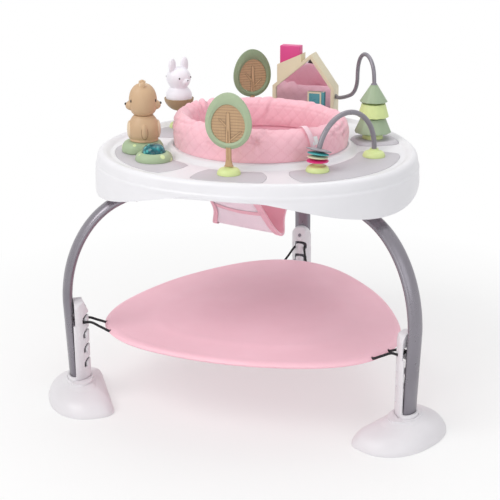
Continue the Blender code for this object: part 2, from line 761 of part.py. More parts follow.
def loop_route():
    """A loop's own points, (radius, across, height): round a hook and through the platform's corner."""
    hook_z = HOOK_TOP_Z - HOOK_TALL + CORD_R + GAP
    bulge = CASING_BULGE * (HOOK_WIDE / 2 / (CASING_HALF - CASING_WALL)) ** CASING_ROUND
    behind = CASING_FACE_R + CASING_WALL + bulge + CORD_R
    slot = (HOOK_WIDE + SLOT_WIDE) / 2
    half = [(behind + 0.0016, slot * 0.5, hook_z), (behind + 0.0010, slot * 0.80, hook_z),
            (behind - 0.0012, slot, hook_z), (CASING_FACE_R + 0.0060, slot + 0.0002, hook_z),
            (CASING_FACE_R + 0.0005, slot + 0.0006, hook_z),
            (PLATFORM_TIP + 0.0115, STRAND_SPREAD * 0.768, PLATFORM_Z + 0.0100),
            (PLATFORM_TIP - 0.0095, STRAND_SPREAD, PLATFORM_Z),
            (PLATFORM_TIP - 0.0205, STRAND_SPREAD * 0.84, PLATFORM_Z),
            (PLATFORM_TIP - 0.0255, STRAND_SPREAD * 0.45, PLATFORM_Z)]
    return [Vector(p) for p in half + [(r, -y, z) for r, y, z in half[::-1]]]


def make_platform():
    """A dished rounded triangle with a rolled edge, hung from the legs by three loops."""
    pink = material("platform_pink", PLATFORM_PINK, 0.6)
    black = material("elastic_black", BLACK, 0.8)
    half = PLATFORM_EDGE / 2
    top = PLATFORM_Z + half
    low = PLATFORM_Z - half
    dish = top - PLATFORM_DISH
    rings = [[Vector((0, 0, dish))], platform_ring(0.45, dish + 0.0006), platform_ring(0.74, top - 0.0030),
             platform_ring(0.93, top - 0.0008), platform_ring(0.967, top),
             platform_ring(0.990, top - half * 0.4),
             platform_ring(1.0, PLATFORM_Z), platform_ring(0.988, low + half * 0.36),
             platform_ring(0.967, low),
             platform_ring(0.885, low), platform_ring(0.86, dish - PLATFORM_CORE * 0.8),
             [Vector((0, 0, dish - PLATFORM_CORE))]]
    platform = add_object("platform", closed_mesh("platform", *skin(rings)), pink, None, (0, AXIS_Y, 0))
    for side, angle in LEG_ANGLES.items():
        turn = radians(angle)
        line = loop_route()
        loop = tube_mesh("elastic_loop", line, CORD_R, CORD_SIDES, Vector((0, 0, 1)), closed=True)
        add_object("elastic_loop_" + side, loop, black, None, (0, AXIS_Y, 0), turn)
        inner = [p for p in line if p.x < PLATFORM_TIP + TUNNEL_OUT]
        bore = tube_mesh("cut_tunnel", inner, CORD_R + TUNNEL_SPARE, CORD_SIDES, Vector((0, 0, 1)),
                         smooth=None)
        combine(platform, cutter("cut_tunnel_" + side, bore, None, (0, AXIS_Y, 0), turn))


# Tray

def tray_ring(radius, lobe, height, wave=0.0):
    ring = []
    for i in range(TRAY_SEGMENTS):
        angle = 360.0 * i / TRAY_SEGMENTS + TRAY_TURN
        r = radius + rim_pull(angle, lobe)
        ring.append(Vector((r * cos(radians(angle)), r * sin(radians(angle)),
                            height - rim_pull(angle, wave))))
    return ring


def pad_outline(start, stop, inner=None, corner=PAD_CORNER, grow=0.0):
    """Plan of a pad between two angles, with round corners, in the tray's axes."""
    inner = (inner or PAD_INNER_R) - grow
    points = []

    def edge(angle):
        return RIM_R - PAD_RIM_GAP + rim_pull(angle, RIM_LOBE) + grow

    spread_out = degrees(grow / edge((start + stop) / 2))
    spread_in = degrees(grow / inner)
    lo, hi = start - spread_out, stop + spread_out
    bend_out = degrees(corner / edge(lo))
    bend_in = degrees(corner * 0.6 / inner)

    def at(radius, angle):
        return (radius * cos(radians(angle)), radius * sin(radians(angle)))

    outer_steps = max(3, round((stop - start) / 9))
    for k in range(3):
        t = radians(45.0 * k)
        points.append(at(edge(lo) - corner * (1 - sin(t)), lo + bend_out * (1 - cos(t))))
    for k in range(1, outer_steps):
        angle = lo + bend_out + (hi - lo - 2 * bend_out) * k / outer_steps
        points.append(at(edge(angle), angle))
    for k in range(3):
        t = radians(45.0 * (2 - k))
        points.append(at(edge(hi) - corner * (1 - sin(t)), hi - bend_out * (1 - cos(t))))
    lo, hi = start - spread_in, stop + spread_in
    small = corner * 0.6
    for k in range(3):
        t = radians(45.0 * k)
        points.append(at(inner + small * (1 - sin(t)), hi - bend_in * (1 - cos(t))))
    inner_steps = max(2, round((stop - start) / 12))
    for k in range(1, inner_steps):
        angle = hi - bend_in - (hi - lo - 2 * bend_in) * k / inner_steps
        points.append(at(inner, angle))
    for k in range(3):
        t = radians(45.0 * (2 - k))
        points.append(at(inner + small * (1 - sin(t)), lo + bend_in * (1 - cos(t))))
    return points


def house_place(x=0.0, y=0.0, z=0.0):
    """A point of the house in the world, from its own axes."""
    turn = radians(HOUSE_FACING + 90.0)
    return Vector((HOUSE_X + x * cos(turn) - y * sin(turn), AXIS_Y + HOUSE_Y + x * sin(turn) + y * cos(turn),
                   z))


def spigot_places():
    """Where each toy's spigot goes down into the deck."""
    places = [polar(*at) for at in (TREE_FRONT_AT, TREE_BACK_AT, ARCH_LEFT_AT, ARCH_RIGHT_AT, PINE_AT,
                                    BUNNY_AT,
                                    BEAR_AT, LIGHT_AT)]
    return places + [house_place(*HOUSE_SPIGOT)]


def spigot_cutter(name, place, low, high):
    wide = (SPIGOT_R + BORE_SPARE) / cos(pi / SPIGOT_SIDES)
    hole = turned(name, [(0, low), (wide, low), (wide, high), (0, high)], SPIGOT_SIDES, smooth=None)
    return cutter(name, hole, None, (place.x, place.y, 0), radians(SPIGOT_TURN))


def pedestal_outline(grow=0.0):
    return [(u, v + PEDESTAL_OUT)
            for u, v in oval(PEDESTAL_WIDE / 2 + grow, PEDESTAL_RADIAL / 2 + grow, 20, 0.55)]


def make_tray():
    """The moulded tray top: collar, deck, rim and wavy skirt in one shell."""
    white = material("tray_white", WHITE, 0.35)
    wall = TRAY_WALL
    flat = RIM_R - DECK_FLAT
    rings = [
        tray_ring(TRAY_HOLE_R, 0, SEAT_TOP), tray_ring(TRAY_HOLE_R + 0.005, 0, SEAT_TOP - 0.0008),
        tray_ring(TRAY_HOLE_R + COLLAR_SLOPE, 0, DECK_Z), tray_ring(flat, RIM_LOBE, DECK_Z),
        tray_ring(RIM_R - 0.006, RIM_LOBE, RIM_Z - 0.0012), tray_ring(RIM_R + 0.001, RIM_LOBE, RIM_Z),
        tray_ring(RIM_R + 0.0075, RIM_LOBE + 0.0005, RIM_Z - 0.0040),
        tray_ring(RIM_R + 0.0105, RIM_LOBE + 0.001, RIM_Z - 0.0150),
        tray_ring(TRAY_R - 0.0012, TRAY_LOBE, SKIRT_BEND_Z),
        tray_ring(TRAY_R, TRAY_LOBE, SKIRT_LOW, SKIRT_WAVE),
        tray_ring(TRAY_R - wall, TRAY_LOBE, SKIRT_LOW, SKIRT_WAVE),
        tray_ring(RIM_R + 0.0075 - wall, RIM_LOBE + 0.001, RIM_Z - 0.0150),
        tray_ring(flat + DECK_THICK, RIM_LOBE, DECK_UNDER),
        tray_ring(TRAY_HOLE_R + COLLAR_SLOPE - DECK_THICK, 0, DECK_UNDER),
        tray_ring(TRAY_HOLE_R, 0, SEAT_TOP - wall),
    ]
    place = (0, AXIS_Y, 0)
    tray = add_object("tray_top", closed_mesh("tray_top", *skin(rings, closed=True)), white, None, place)
    floor = PAD_LOW - GAP
    recesses = [prism("recess", pad_outline(*span, grow=PAD_SPARE), floor, DECK_Z + CUT_OVER, smooth=None)
                for span in PADS.values()]
    combine(tray, cutter("cut_recesses", join_meshes("cut_recesses", recesses), None, place))
    seat = prism("cut_pedestal", pedestal_outline(PAD_SPARE), floor, DECK_Z + CUT_OVER, smooth=None)
    combine(tray, cutter("cut_pedestal", seat, bpy.data.objects["station_pine"]))
    for i, spot in enumerate(spigot_places()):
        combine(tray, spigot_cutter("cut_spigot_%d" % i, spot, DECK_UNDER - CUT_OVER, DECK_Z + CUT_OVER))


def make_pads():
    """Light grey plates let into the deck under the toys."""
    grey = material("pad_grey", PAD_GREY, 0.5)
    for name, span in PADS.items():
        mesh = prism(name, pad_outline(*span), PAD_LOW, PAD_TOP)
        pad = add_object(name, mesh, grey, None, (0, AXIS_Y, 0))
        for i, place in enumerate(spigot_places()):
            x, y = place.x, place.y - AXIS_Y
            angle = degrees(acos(x / hypot(x, y))) * (1 if y >= 0 else -1)
            if any(span[0] < angle + turn < span[1] for turn in (0, 360)):
                combine(pad, spigot_cutter("cut_%s_%d" % (name, i), place, PAD_LOW - CUT_OVER,
                                           PAD_TOP + CUT_OVER))
    mark = bpy.data.objects["station_pine"]
    rings = []
    for scale, height in ((1.0, PAD_LOW), (1.0, DECK_Z + 0.0008), (0.95, DECK_Z + 0.0035),
                          (0.88, PEDESTAL_TOP - 0.0008), (0.82, PEDESTAL_TOP)):
        rings.append([Vector((u * scale, PEDESTAL_OUT + (v - PEDESTAL_OUT) * scale, height))
                      for u, v in pedestal_outline()])
    pedestal = add_object("pad_pine", closed_mesh("pad_pine", *skin(rings)), grey, mark)
    combine(pedestal, spigot_cutter("cut_pad_pine", polar(*PINE_AT), PAD_LOW - CUT_OVER,
                                    PEDESTAL_TOP + CUT_OVER))


def make_underside():
    """The plate under the deck with the ledge that the seat ring turns on and a socket for each leg."""
    grey = material("underside_white", FOOT_WHITE, 0.5)
    well = SLEEVE_OUT_R + RING_PLAY
    wall_in = FLANGE_R + RING_PLAY
    plate_low = UNDER_TOP - UNDER_THICK
    low = LEDGE_TOP - LEDGE_THICK
    profile = [(UNDER_R, UNDER_TOP), (UNDER_R, plate_low), (wall_in + LEDGE_WALL, plate_low),
               (wall_in + LEDGE_WALL, low), (well, low), (well, LEDGE_TOP), (wall_in, LEDGE_TOP),
               (wall_in, UNDER_TOP)]
    place = (0, AXIS_Y, 0)
    under = add_object("tray_underside", turned("tray_underside", profile, SEAT_SEGMENTS, ring=True), grey,
                       None,
                       place)
    half = TUBE_WIDE / 2 + SOCKET_SIDE
    top = UNDER_TOP - UNDER_THICK / 2
    mouth_r = MOUTH_R
    low = socket_low(BUTTON_AT, SOCKET_WALL)
    side_view = [(SOCKET_IN_R, top), (SOCKET_IN_R, low), (BUTTON_AT + BUTTON_FLANGE_R, low),
                 (mouth_r, socket_low(mouth_r, MOUTH_WALL)), (mouth_r, top)]
    for side, angle in LEG_ANGLES.items():
        block = prism("join_socket_" + side, side_view, -half, half, "XZY", smooth=None)
        combine(under, cutter("join_socket_" + side, block, None, place, radians(angle)), "UNION")
    line = leg_line()[-2:]
    (r0, z0), (r1, z1) = line
    run = hypot(r1 - r0, z1 - z0)
    line[-1] = (r1 + (r1 - r0) * GAP / run, z1 + (z1 - z0) * GAP / run)
    for side, angle in LEG_ANGLES.items():
        combine(under, tube_channel("cut_tube_" + side, line, radians(angle)))
        combine(under, button_hole("cut_under_button_" + side, angle))


# Seat

def make_seat():
    white = material("ring_white", WHITE, 0.4)
    pink = material("fabric_pink", PINK, 0.9)
    place = (0, AXIS_Y, 0)
    flange_low = LEDGE_TOP + GAP
    flange_top = flange_low + FLANGE_THICK
    top_low = SEAT_TOP - TOP_FLANGE_THICK
    top_r = TRAY_HOLE_R - RING_PLAY
    profile = [(SLEEVE_IN_R, SEAT_TOP), (SLEEVE_IN_R, SLEEVE_LOW), (SLEEVE_OUT_R, SLEEVE_LOW),
               (SLEEVE_OUT_R, flange_low), (FLANGE_R, flange_low), (FLANGE_R, flange_top),
               (SLEEVE_IN_R + SLEEVE_NECK, top_low), (top_r, top_low), (top_r, SEAT_TOP)]
    add_object("seat_ring", turned("seat_ring", profile, SEAT_SEGMENTS, ring=True), white, None, place)

    low = LEDGE_TOP - LEDGE_THICK - GAP
    inner = SLEEVE_OUT_R + BORE_SPARE
    profile = [(inner, low), (inner, low - RETAINER_THICK), (RETAINER_R, low - RETAINER_THICK),
               (RETAINER_R, low)]
    add_object("ring_retainer", turned("ring_retainer", profile, SEAT_SEGMENTS, ring=True), white, None,
               place)

    add_object("seat_cushion", cushion_mesh(top_r), pink, None, place)
    sling = add_object("seat_sling", sling_mesh(), pink, None, place, radians(SLING_TURN))
    cloth = sling.modifiers.new("thickness", "SOLIDIFY")
    cloth.thickness = SLING_THICK
    cloth.offset = -1.0


def cushion_mesh(foot_r):
    """The padded collar of the seat: crowned, drawn in at its foot, with sewn channels round it."""
    low = SEAT_TOP + GAP
    rings = []
    for i in range(SEAT_SEGMENTS):
        angle = 2 * pi * i / SEAT_SEGMENTS
        channel = abs(sin(CUSHION_TUFTS * angle / 2)) ** 0.5
        puff = CUSHION_PUFF * channel
        top = CUSHION_TOP + CUSHION_LEAN * cos(angle - radians(CUSHION_LEAN_AT)) + puff
        tall = top - low
        outer, inner = CUSHION_MID_R + CUSHION_HALF, CUSHION_MID_R - CUSHION_HALF
        section = [
            (foot_r - 0.0006, low), (outer - 0.0020 + puff * 0.4, low + tall * 0.18),
            (outer - 0.0016 + puff, low + tall * 0.46),
            (CUSHION_MID_R + CUSHION_HALF * 0.62, low + tall * 0.84),
            (CUSHION_MID_R - 0.0010, top), (CUSHION_MID_R - CUSHION_HALF * 0.72, low + tall * 0.86),
            (inner + 0.0010 - puff, low + tall * 0.46), (inner + 0.0030, low + tall * 0.14),
            (inner + 0.0070, low),
        ]
        rings.append([Vector((r * cos(angle), r * sin(angle), z)) for r, z in section])
    return closed_mesh("seat_cushion", *skin(rings, closed=True), smooth=60.0)


def strip_span(drop):
    """Middle and half length of the hanging strip, from its hem at 0 to its lowest at 1."""
    (m0, h0), (m1, h1), (m2, h2) = SLING_SPANS
    shares = ((1 - drop) * (1 - 2 * drop), 4 * drop * (1 - drop), drop * (2 * drop - 1))
    return (m0 * shares[0] + m1 * shares[1] + m2 * shares[2],
            h0 * shares[0] + h1 * shares[1] + h2 * shares[2])


def sling_mesh():
    """A sheet to be thickened: a band under the ring and a strip hung across, a leg hole at each end."""
    columns = SLING_COLUMNS
    side_columns = SLING_SIDE_COLUMNS
    rows = SLING_ROWS
    middle, half = strip_span(0.0)
    front = [-acos((middle + half * (2 * j / columns - 1)) / SLING_R) for j in range(columns + 1)]
    right = [front[-1] * (1 - 2 * k / side_columns) for k in range(1, side_columns)]
    back = [-a for a in front[::-1]]
    left = [back[-1] + (2 * pi + front[0] - back[-1]) * k / side_columns for k in range(1, side_columns)]
    turns = front + right + back + left
    period = len(turns)
    points, faces = [], []
    for z in (SEAT_TOP - GAP, (SEAT_TOP + SLING_HEM) / 2, SLING_HEM):
        points += [Vector((SLING_R * cos(a), SLING_R * sin(a), z)) for a in turns]
    for row in range(2):
        for k in range(period):
            a, b = row * period + k, row * period + (k + 1) % period
            faces.append((a, b, b + period, a + period))

    def strip_point(j, row, side):
        """Row 0 is the hem and the last row the lowest line; side -1 is the front and 1 the back."""
        drop = row / rows
        mid, span = strip_span(drop)
        share = 2 * j / columns - 1
        hem_x = middle + half * share
        up = 1 - drop
        out = sqrt(SLING_R ** 2 - hem_x ** 2) * sqrt(0.12 * up + 0.88 * up ** 3.5)
        fold = 0.0025 * sin(3.1 * share + 0.8) * sin(pi * drop)
        return Vector((mid + span * share, side * (out + fold) + SLING_ASIDE * drop,
                       SLING_HEM - (SLING_HEM - SLING_LOW) * drop ** 0.8))

    hem = 2 * period
    grid = {}
    for j in range(columns + 1):
        grid[(-1, 0, j)] = hem + j
        grid[(1, 0, j)] = hem + 2 * columns + side_columns - j
        for row in range(1, rows + 1):
            for side in (-1, 1):
                if row == rows and side == 1:
                    grid[(1, row, j)] = grid[(-1, row, j)]
                else:
                    grid[(side, row, j)] = len(points)
                    points.append(strip_point(j, row, side))
    for row in range(rows):
        for j in range(columns):
            for side in (-1, 1):
                faces.append((grid[(side, row, j)], grid[(side, row, j + 1)], grid[(side, row + 1, j + 1)],
                              grid[(side, row + 1, j)]))
    return closed_mesh("seat_sling", points, faces, smooth=60.0)


# Toys

def dome_profile(tall):
    """A low round dome with a spigot below it: (radius, height), up to the edge of its flat top."""
    out = [(0, -SPIGOT_LONG), (SPIGOT_R, -SPIGOT_LONG), (SPIGOT_R, 0)]
    for share, rise in ((1.0, 0.0), (0.96, 0.32), (0.80, 0.68)):
        out.append((DOME_R * share, tall * rise))
    return out + [(DOME_SEAT_R, tall - DOME_CONE)]


def make_dome(name, mark):
    lime = material("lime", LIME, 0.45)
    mesh = turned(name, dome_profile(DOME_TALL) + [(0, DOME_TALL)], DOME_SIDES)
    return add_object(name, mesh, lime, mark, (0, 0, BASE_Z))


def egg_outline(half_wide, half_tall, middle, lean=0.10):
    """An egg, wider below its middle: (across, up)."""
    out = []
    for i in range(EGG_SIDES):
        t = 2 * pi * i / EGG_SIDES
        out.append((half_wide * cos(t) * (1 - lean * sin(t)), middle + half_tall * sin(t)))
    return out


def make_tree(name, at, lift=0.0, twist=0.0):
    """A flat tree: wooden trunk and panel inside a sage ring, on a lime dome that it sways on."""
    sage = material("sage", SAGE, 0.55)
    wood = material("wood", WOOD, 0.6)
    ground = station("station_" + name, *at)
    make_dome(name + "_base", ground)
    pivot = BASE_Z + DOME_TALL + GAP
    mark = station("stem_" + name, *at)
    mark.location.z = pivot
    mark.rotation_euler.z += radians(twist)
    crown = TREE_MIDDLE_Z + lift - pivot
    panel_w = TREE_WIDE / 2 - TREE_BORDER_SIDE
    panel_low = crown - TREE_TALL / 2 + TREE_BORDER_LOW
    panel_top = crown + TREE_TALL / 2 - TREE_BORDER_TOP
    panel_t = (panel_top - panel_low) / 2
    middle = panel_low + panel_t
    panel = prism(name + "_trunk", egg_outline(panel_w, panel_t, middle), -PANEL_THICK / 2, PANEL_THICK / 2,
                  "XZY",
                  smooth=None)
    trunk = add_object(name + "_trunk", panel, wood, mark)
    post = [(-0.0085, 0), (0.0085, 0), (0.0062, 0.0035), (POST_HALF, 0.012), (POST_HALF, panel_low),
            (POST_HALF * 0.55, middle + panel_t * 0.50), (0.0, middle + panel_t * 0.62),
            (-POST_HALF * 0.55, middle + panel_t * 0.50), (-POST_HALF, panel_low), (-POST_HALF, 0.012),
            (-0.0062, 0.0035)]
    depth = PANEL_THICK / 2 + POST_PROUD
    combine(trunk, cutter("join_post_" + name, prism("join_post", post, -depth, depth, "XZY", smooth=None),
                          mark),
            "UNION")
    for i, (side, low, high) in enumerate(((1, -0.50, 0.10), (-1, 0.05, 0.42))):
        y0, y1 = middle + panel_t * low, middle + panel_t * high
        reach = panel_w * 0.58 * side
        branch = [(side * 0.0012, y0 - 0.002), (reach, y1 - 0.0009), (reach, y1 + 0.0009),
                  (side * 0.0012, y0 + 0.002)]
        mesh = prism("join_branch", branch, GAP - depth, depth - GAP, "XZY", smooth=None)
        combine(trunk, cutter("join_branch_%s_%d" % (name, i), mesh, mark), "UNION")

    half = TREE_THICK / 2
    rings = []
    for (iu, iv), (ou, ov) in zip(egg_outline(panel_w + GAP, panel_t + GAP, middle),
                                  egg_outline(TREE_WIDE / 2, TREE_TALL / 2, crown)):
        section = [(0.0, -half * 0.66), (0.38, -half), (1.0, -half * 0.40), (1.0, half * 0.40), (0.38, half),
                   (0.0, half * 0.66)]
        rings.append([Vector((iu + (ou - iu) * s, d, iv + (ov - iv) * s)) for s, d in section])
    leaf = add_object(name + "_leaf", closed_mesh(name + "_leaf", *skin(rings, closed=True)), sage, mark)
    wide = POST_HALF + BORE_SPARE * 1.8
    gate = [(-wide, 0.002), (wide, 0.002), (wide, middle), (-wide, middle)]
    cut = prism("cut_gate_" + name, gate, -depth - BORE_SPARE, depth + BORE_SPARE, "XZY", smooth=None)
    combine(leaf, cutter("cut_gate_" + name, cut, mark))


def ball(name, half, middle, sides=8, rows=4):
    """A coarse ellipsoid for small rounded features."""
    rings = [[Vector((middle[0], middle[1], middle[2] - half[2]))]]
    for i in range(1, rows):
        t = pi * i / rows - pi / 2
        rings.append([Vector((middle[0] + half[0] * cos(t) * cos(2 * pi * k / sides),
                              middle[1] + half[1] * cos(t) * sin(2 * pi * k / sides),
                              middle[2] + half[2] * sin(t))) for k in range(sides)])
    rings.append([Vector((middle[0], middle[1], middle[2] + half[2]))])
    return closed_mesh(name, *skin(rings), smooth=60.0)


def make_bear():
    """A two-faced bear whose head and body turn on a green bush."""
    green = material("bush_green", BUSH_GREEN, 0.55)
    tan = material("bear_tan", TAN, 0.5)
    mark = station("station_bear", *BEAR_AT)
    rise = BEAR_RING_Z - GAP - BASE_Z
    sides = BUSH_WAVES * 6
    rings = []
    for scale, height in ((1.0, 0.0), (1.01, rise * 0.25), (0.98, rise * 0.55), (0.88, rise * 0.85),
                          (0.74, rise)):
        rings.append([Vector((u * scale * (1 + 0.05 * cos(BUSH_WAVES * 2 * pi * k / sides)),
                              BUSH_OUT + v * scale, BASE_Z + height))
                      for k, (u, v) in enumerate(oval(BUSH_WIDE, BUSH_RADIAL, sides, 0.85))])
    bush = add_object("bush_base", closed_mesh("bush_base", *skin(rings)), green, mark)
    profile = [(0, BASE_Z - SPIGOT_LONG), (SPIGOT_R, BASE_Z - SPIGOT_LONG), (SPIGOT_R, BASE_Z + 0.004),
               (0, BASE_Z + 0.004)]
    combine(bush, cutter("join_bush", turned("join_bush", profile, SPIGOT_SIDES), mark), "UNION")
    wide = LIGHT_R + PAD_SPARE
    profile = [(0, BASE_Z - CUT_OVER), (wide, BASE_Z - CUT_OVER), (wide, BASE_Z + 0.05), (0, BASE_Z + 0.05)]
    combine(bush, cutter("cut_bush_light", turned("cut_bush_light", profile, 20, smooth=None),
                         station("light_bite", *LIGHT_AT)))

    tall = BEAR_NECK_Z - BEAR_RING_Z
    wide = BEAR_BODY_R
    profile = [(0, 0), (BEAR_FOOT_R, 0), (BEAR_FOOT_R + 0.0005, 0.0020), (BEAR_FOOT_R - 0.0010, 0.0042),
               (wide * 0.965, tall * 0.22), (wide, tall * 0.40), (wide * 0.98, tall * 0.56),
               (wide * 0.88, tall * 0.74),
               (wide * 0.70, tall * 0.92), (0.0180, tall - GAP), (0, tall - GAP)]
    body = add_object("bear_body", turned("bear_body", profile, BEAR_SIDES), tan, mark, (0, 0, BEAR_RING_Z))
    head_tall = BEAR_HEAD_TOP - BEAR_NECK_Z
    wide = BEAR_HEAD_R
    profile = [(0, 0), (0.0175, 0), (wide * 0.84, head_tall * 0.09), (wide * 0.975, head_tall * 0.26),
               (wide, head_tall * 0.44), (wide * 0.955, head_tall * 0.63), (wide * 0.79, head_tall * 0.81),
               (wide * 0.48, head_tall * 0.95), (0, head_tall)]
    head = add_object("bear_head", turned("bear_head", profile, BEAR_SIDES), tan, mark, (0, 0, BEAR_NECK_Z))
    for i, side in enumerate((-1, 1)):
        arm = ball("join_arm", (0.0050, 0.0058, 0.0125), (side * (BEAR_BODY_R - 0.0020), 0.0, tall * 0.46))
        combine(body, cutter("join_arm_%d" % i, arm, mark, (0, 0, BEAR_RING_Z)), "UNION")
        muzzle = ball("join_muzzle", (0.0112, 0.0105, 0.0092), (0, side * (wide - 0.0035), head_tall * 0.30))
        combine(head, cutter("join_muzzle_%d" % i, muzzle, mark, (0, 0, BEAR_NECK_Z)), "UNION")
        ear = ball("join_ear", (0.0042, 0.0060, 0.0068), (side * wide * 0.52, 0, head_tall * 0.95))
        combine(head, cutter("join_ear_%d" % i, ear, mark, (0, 0, BEAR_NECK_Z)), "UNION")


def make_light():
    """A green mound with a teal lens that is pressed to light it."""
    green = material("bush_green", BUSH_GREEN, 0.55)
    teal = material("lens_teal", LENS_TEAL, 0.2)
    mark = station("station_light", *LIGHT_AT)
    tall = LIGHT_TOP - BASE_Z
    well = LENS_R + BORE_SPARE
    profile = [(0, -SPIGOT_LONG), (SPIGOT_R, -SPIGOT_LONG), (SPIGOT_R, 0), (LIGHT_R, 0),
               (LIGHT_R, tall * 0.25),
               (LIGHT_R * 0.94, tall * 0.62), (LIGHT_R * 0.80, tall * 0.92), (well + 0.0020, tall),
               (well, tall - GAP),
               (well, LENS_SLOT), (0, LENS_SLOT)]
    add_object("light_base", turned("light_base", profile, 20), green, mark, (0, 0, BASE_Z))
    low = BASE_Z + LENS_SLOT + LENS_TRAVEL + GAP
    up = LIGHT_TOP - low
    profile = [(0, 0), (LENS_R, 0), (LENS_R, up), (LENS_R * 0.95, up + LENS_TALL * 0.35),
               (LENS_R * 0.78, up + LENS_TALL * 0.70), (LENS_R * 0.45, up + LENS_TALL * 0.94),
               (0, up + LENS_TALL)]
    add_object("light_button", turned("light_button", profile, 20), teal, mark, (0, 0, low))


def make_battery_box():
    """A box under the tray for the light's cells, closed by a door below."""
    white = material("underside_white", FOOT_WHITE, 0.5)
    mark = station("station_battery", *BATTERY_AT)
    wall = BATTERY_WALL
    top = UNDER_TOP - UNDER_THICK - GAP
    low = top - BATTERY_TALL
    hx, hy = BATTERY_LONG / 2, BATTERY_WIDE / 2
    shell = add_object("battery_box", box("battery_box", (-hx, -hy, low), (hx, hy, top)), white, mark)
    hollow = box("cut_battery", (-hx + wall, -hy + wall, low - CUT_OVER), (hx - wall, hy - wall, top - wall))
    combine(shell, cutter("cut_battery", hollow, mark))
    inset = wall + GAP
    door = box("battery_door", (-hx + inset, -hy + inset, low), (hx - inset, hy - inset, low + wall))
    add_object("battery_door", door, white, mark)


def make_bunny():
    """A bunny that turns in a brown cup, on a stem that sways on a lime dome."""
    brown = material("cup_brown", CUP_BROWN, 0.55)
    white = material("bunny_white", BUNNY_WHITE, 0.45)
    mark = station("station_bunny", *BUNNY_AT)
    make_dome("bunny_base", mark)
    pivot = BASE_Z + DOME_TALL + GAP
    low, top = BUNNY_CUP_LOW - pivot, BUNNY_CUP_TOP - pivot
    well = CUP_R - CUP_LIP
    profile = [(0, 0), (STEM_R + 0.0035, 0), (STEM_R, 0.0028), (STEM_R, low), (CUP_R * 0.42, low + 0.0022),
               (CUP_R * 0.74, low + (top - low) * 0.36), (CUP_R * 0.93, low + (top - low) * 0.68),
               (CUP_R, top),
               (well, top), (well * 0.96, top - BUNNY_SEAT_DEEP), (0, top - BUNNY_SEAT_DEEP)]
    add_object("bunny_cup", turned("bunny_cup", profile, 18), brown, mark, (0, 0, pivot))

    base = BUNNY_CUP_TOP - BUNNY_SEAT_DEEP + GAP
    neck = BUNNY_NECK_Z - base
    body_r = well * 0.96 - BORE_SPARE
    head_mid = (BUNNY_NECK_Z + BUNNY_HEAD_TOP) / 2 - base - 0.001
    head_half = (BUNNY_HEAD_TOP - BUNNY_NECK_Z) / 2 + 0.0016
    profile = [(0, 0), (body_r, 0), (body_r, BUNNY_SEAT_DEEP), (body_r * 0.99, neck * 0.42),
               (body_r * 0.91, neck * 0.68), (body_r * 0.76, neck * 0.88), (0.0175, neck)]
    for k in range(1, 6):
        t = radians(-46 + 136.0 * k / 6)
        profile.append((BUNNY_HEAD_R * cos(t), head_mid + head_half * sin(t)))
    profile.append((0, head_mid + head_half))
    figure = add_object("bunny_figure", turned("bunny_figure", profile, BEAR_SIDES), white, mark,
                        (0, 0, base))
    ear_mid = (BUNNY_HEAD_TOP + BUNNY_EARS_TOP) / 2 - base - 0.0065
    ear_half = (BUNNY_EARS_TOP - base) - ear_mid
    for i, side in enumerate((-1, 1)):
        ear = ball("join_bunny_ear", (0.0095, 0.0055, ear_half), (side * BUNNY_EAR_X, 0, ear_mid))
        combine(figure, cutter("join_bunny_ear_%d" % i, ear, mark, (0, 0, base)), "UNION")
        muzzle = ball("join_bunny_muzzle", (0.0100, 0.0095, 0.0078),
                      (0, side * (BUNNY_HEAD_R - 0.0052), head_mid - 0.0060))
        combine(figure, cutter("join_bunny_muzzle_%d" % i, muzzle, mark, (0, 0, base)), "UNION")


# House, wire and pine

def house_outline(inset):
    """The house's five-sided front, drawn in by inset: (across, height)."""
    def crossing(a, b):
        (p, d), (q, e) = a, b
        cross = d[0] * e[1] - d[1] * e[0]
        t = ((q[0] - p[0]) * e[1] - (q[1] - p[1]) * e[0]) / cross
        return (p[0] + d[0] * t, p[1] + d[1] * t)

    corners = [(HOUSE_LEFT, BASE_Z), (HOUSE_RIGHT, BASE_Z), (HOUSE_RIGHT, HOUSE_EAVE),
               (HOUSE_PEAK_X, HOUSE_PEAK),
               (HOUSE_LEFT, HOUSE_EAVE)]
    edges = []
    for i, a in enumerate(corners):
        b = corners[(i + 1) % 5]
        run = hypot(b[0] - a[0], b[1] - a[1])
        d = ((b[0] - a[0]) / run, (b[1] - a[1]) / run)
        edges.append(((a[0] - d[1] * inset, a[1] + d[0] * inset), d))
    return [crossing(edges[i - 1], edges[i]) for i in range(5)]


def roof_height(x, lift):
    """Height above the left roof slope at x."""
    share = (x - HOUSE_LEFT) / (HOUSE_PEAK_X - HOUSE_LEFT)
    return HOUSE_EAVE + (HOUSE_PEAK - HOUSE_EAVE) * share + lift


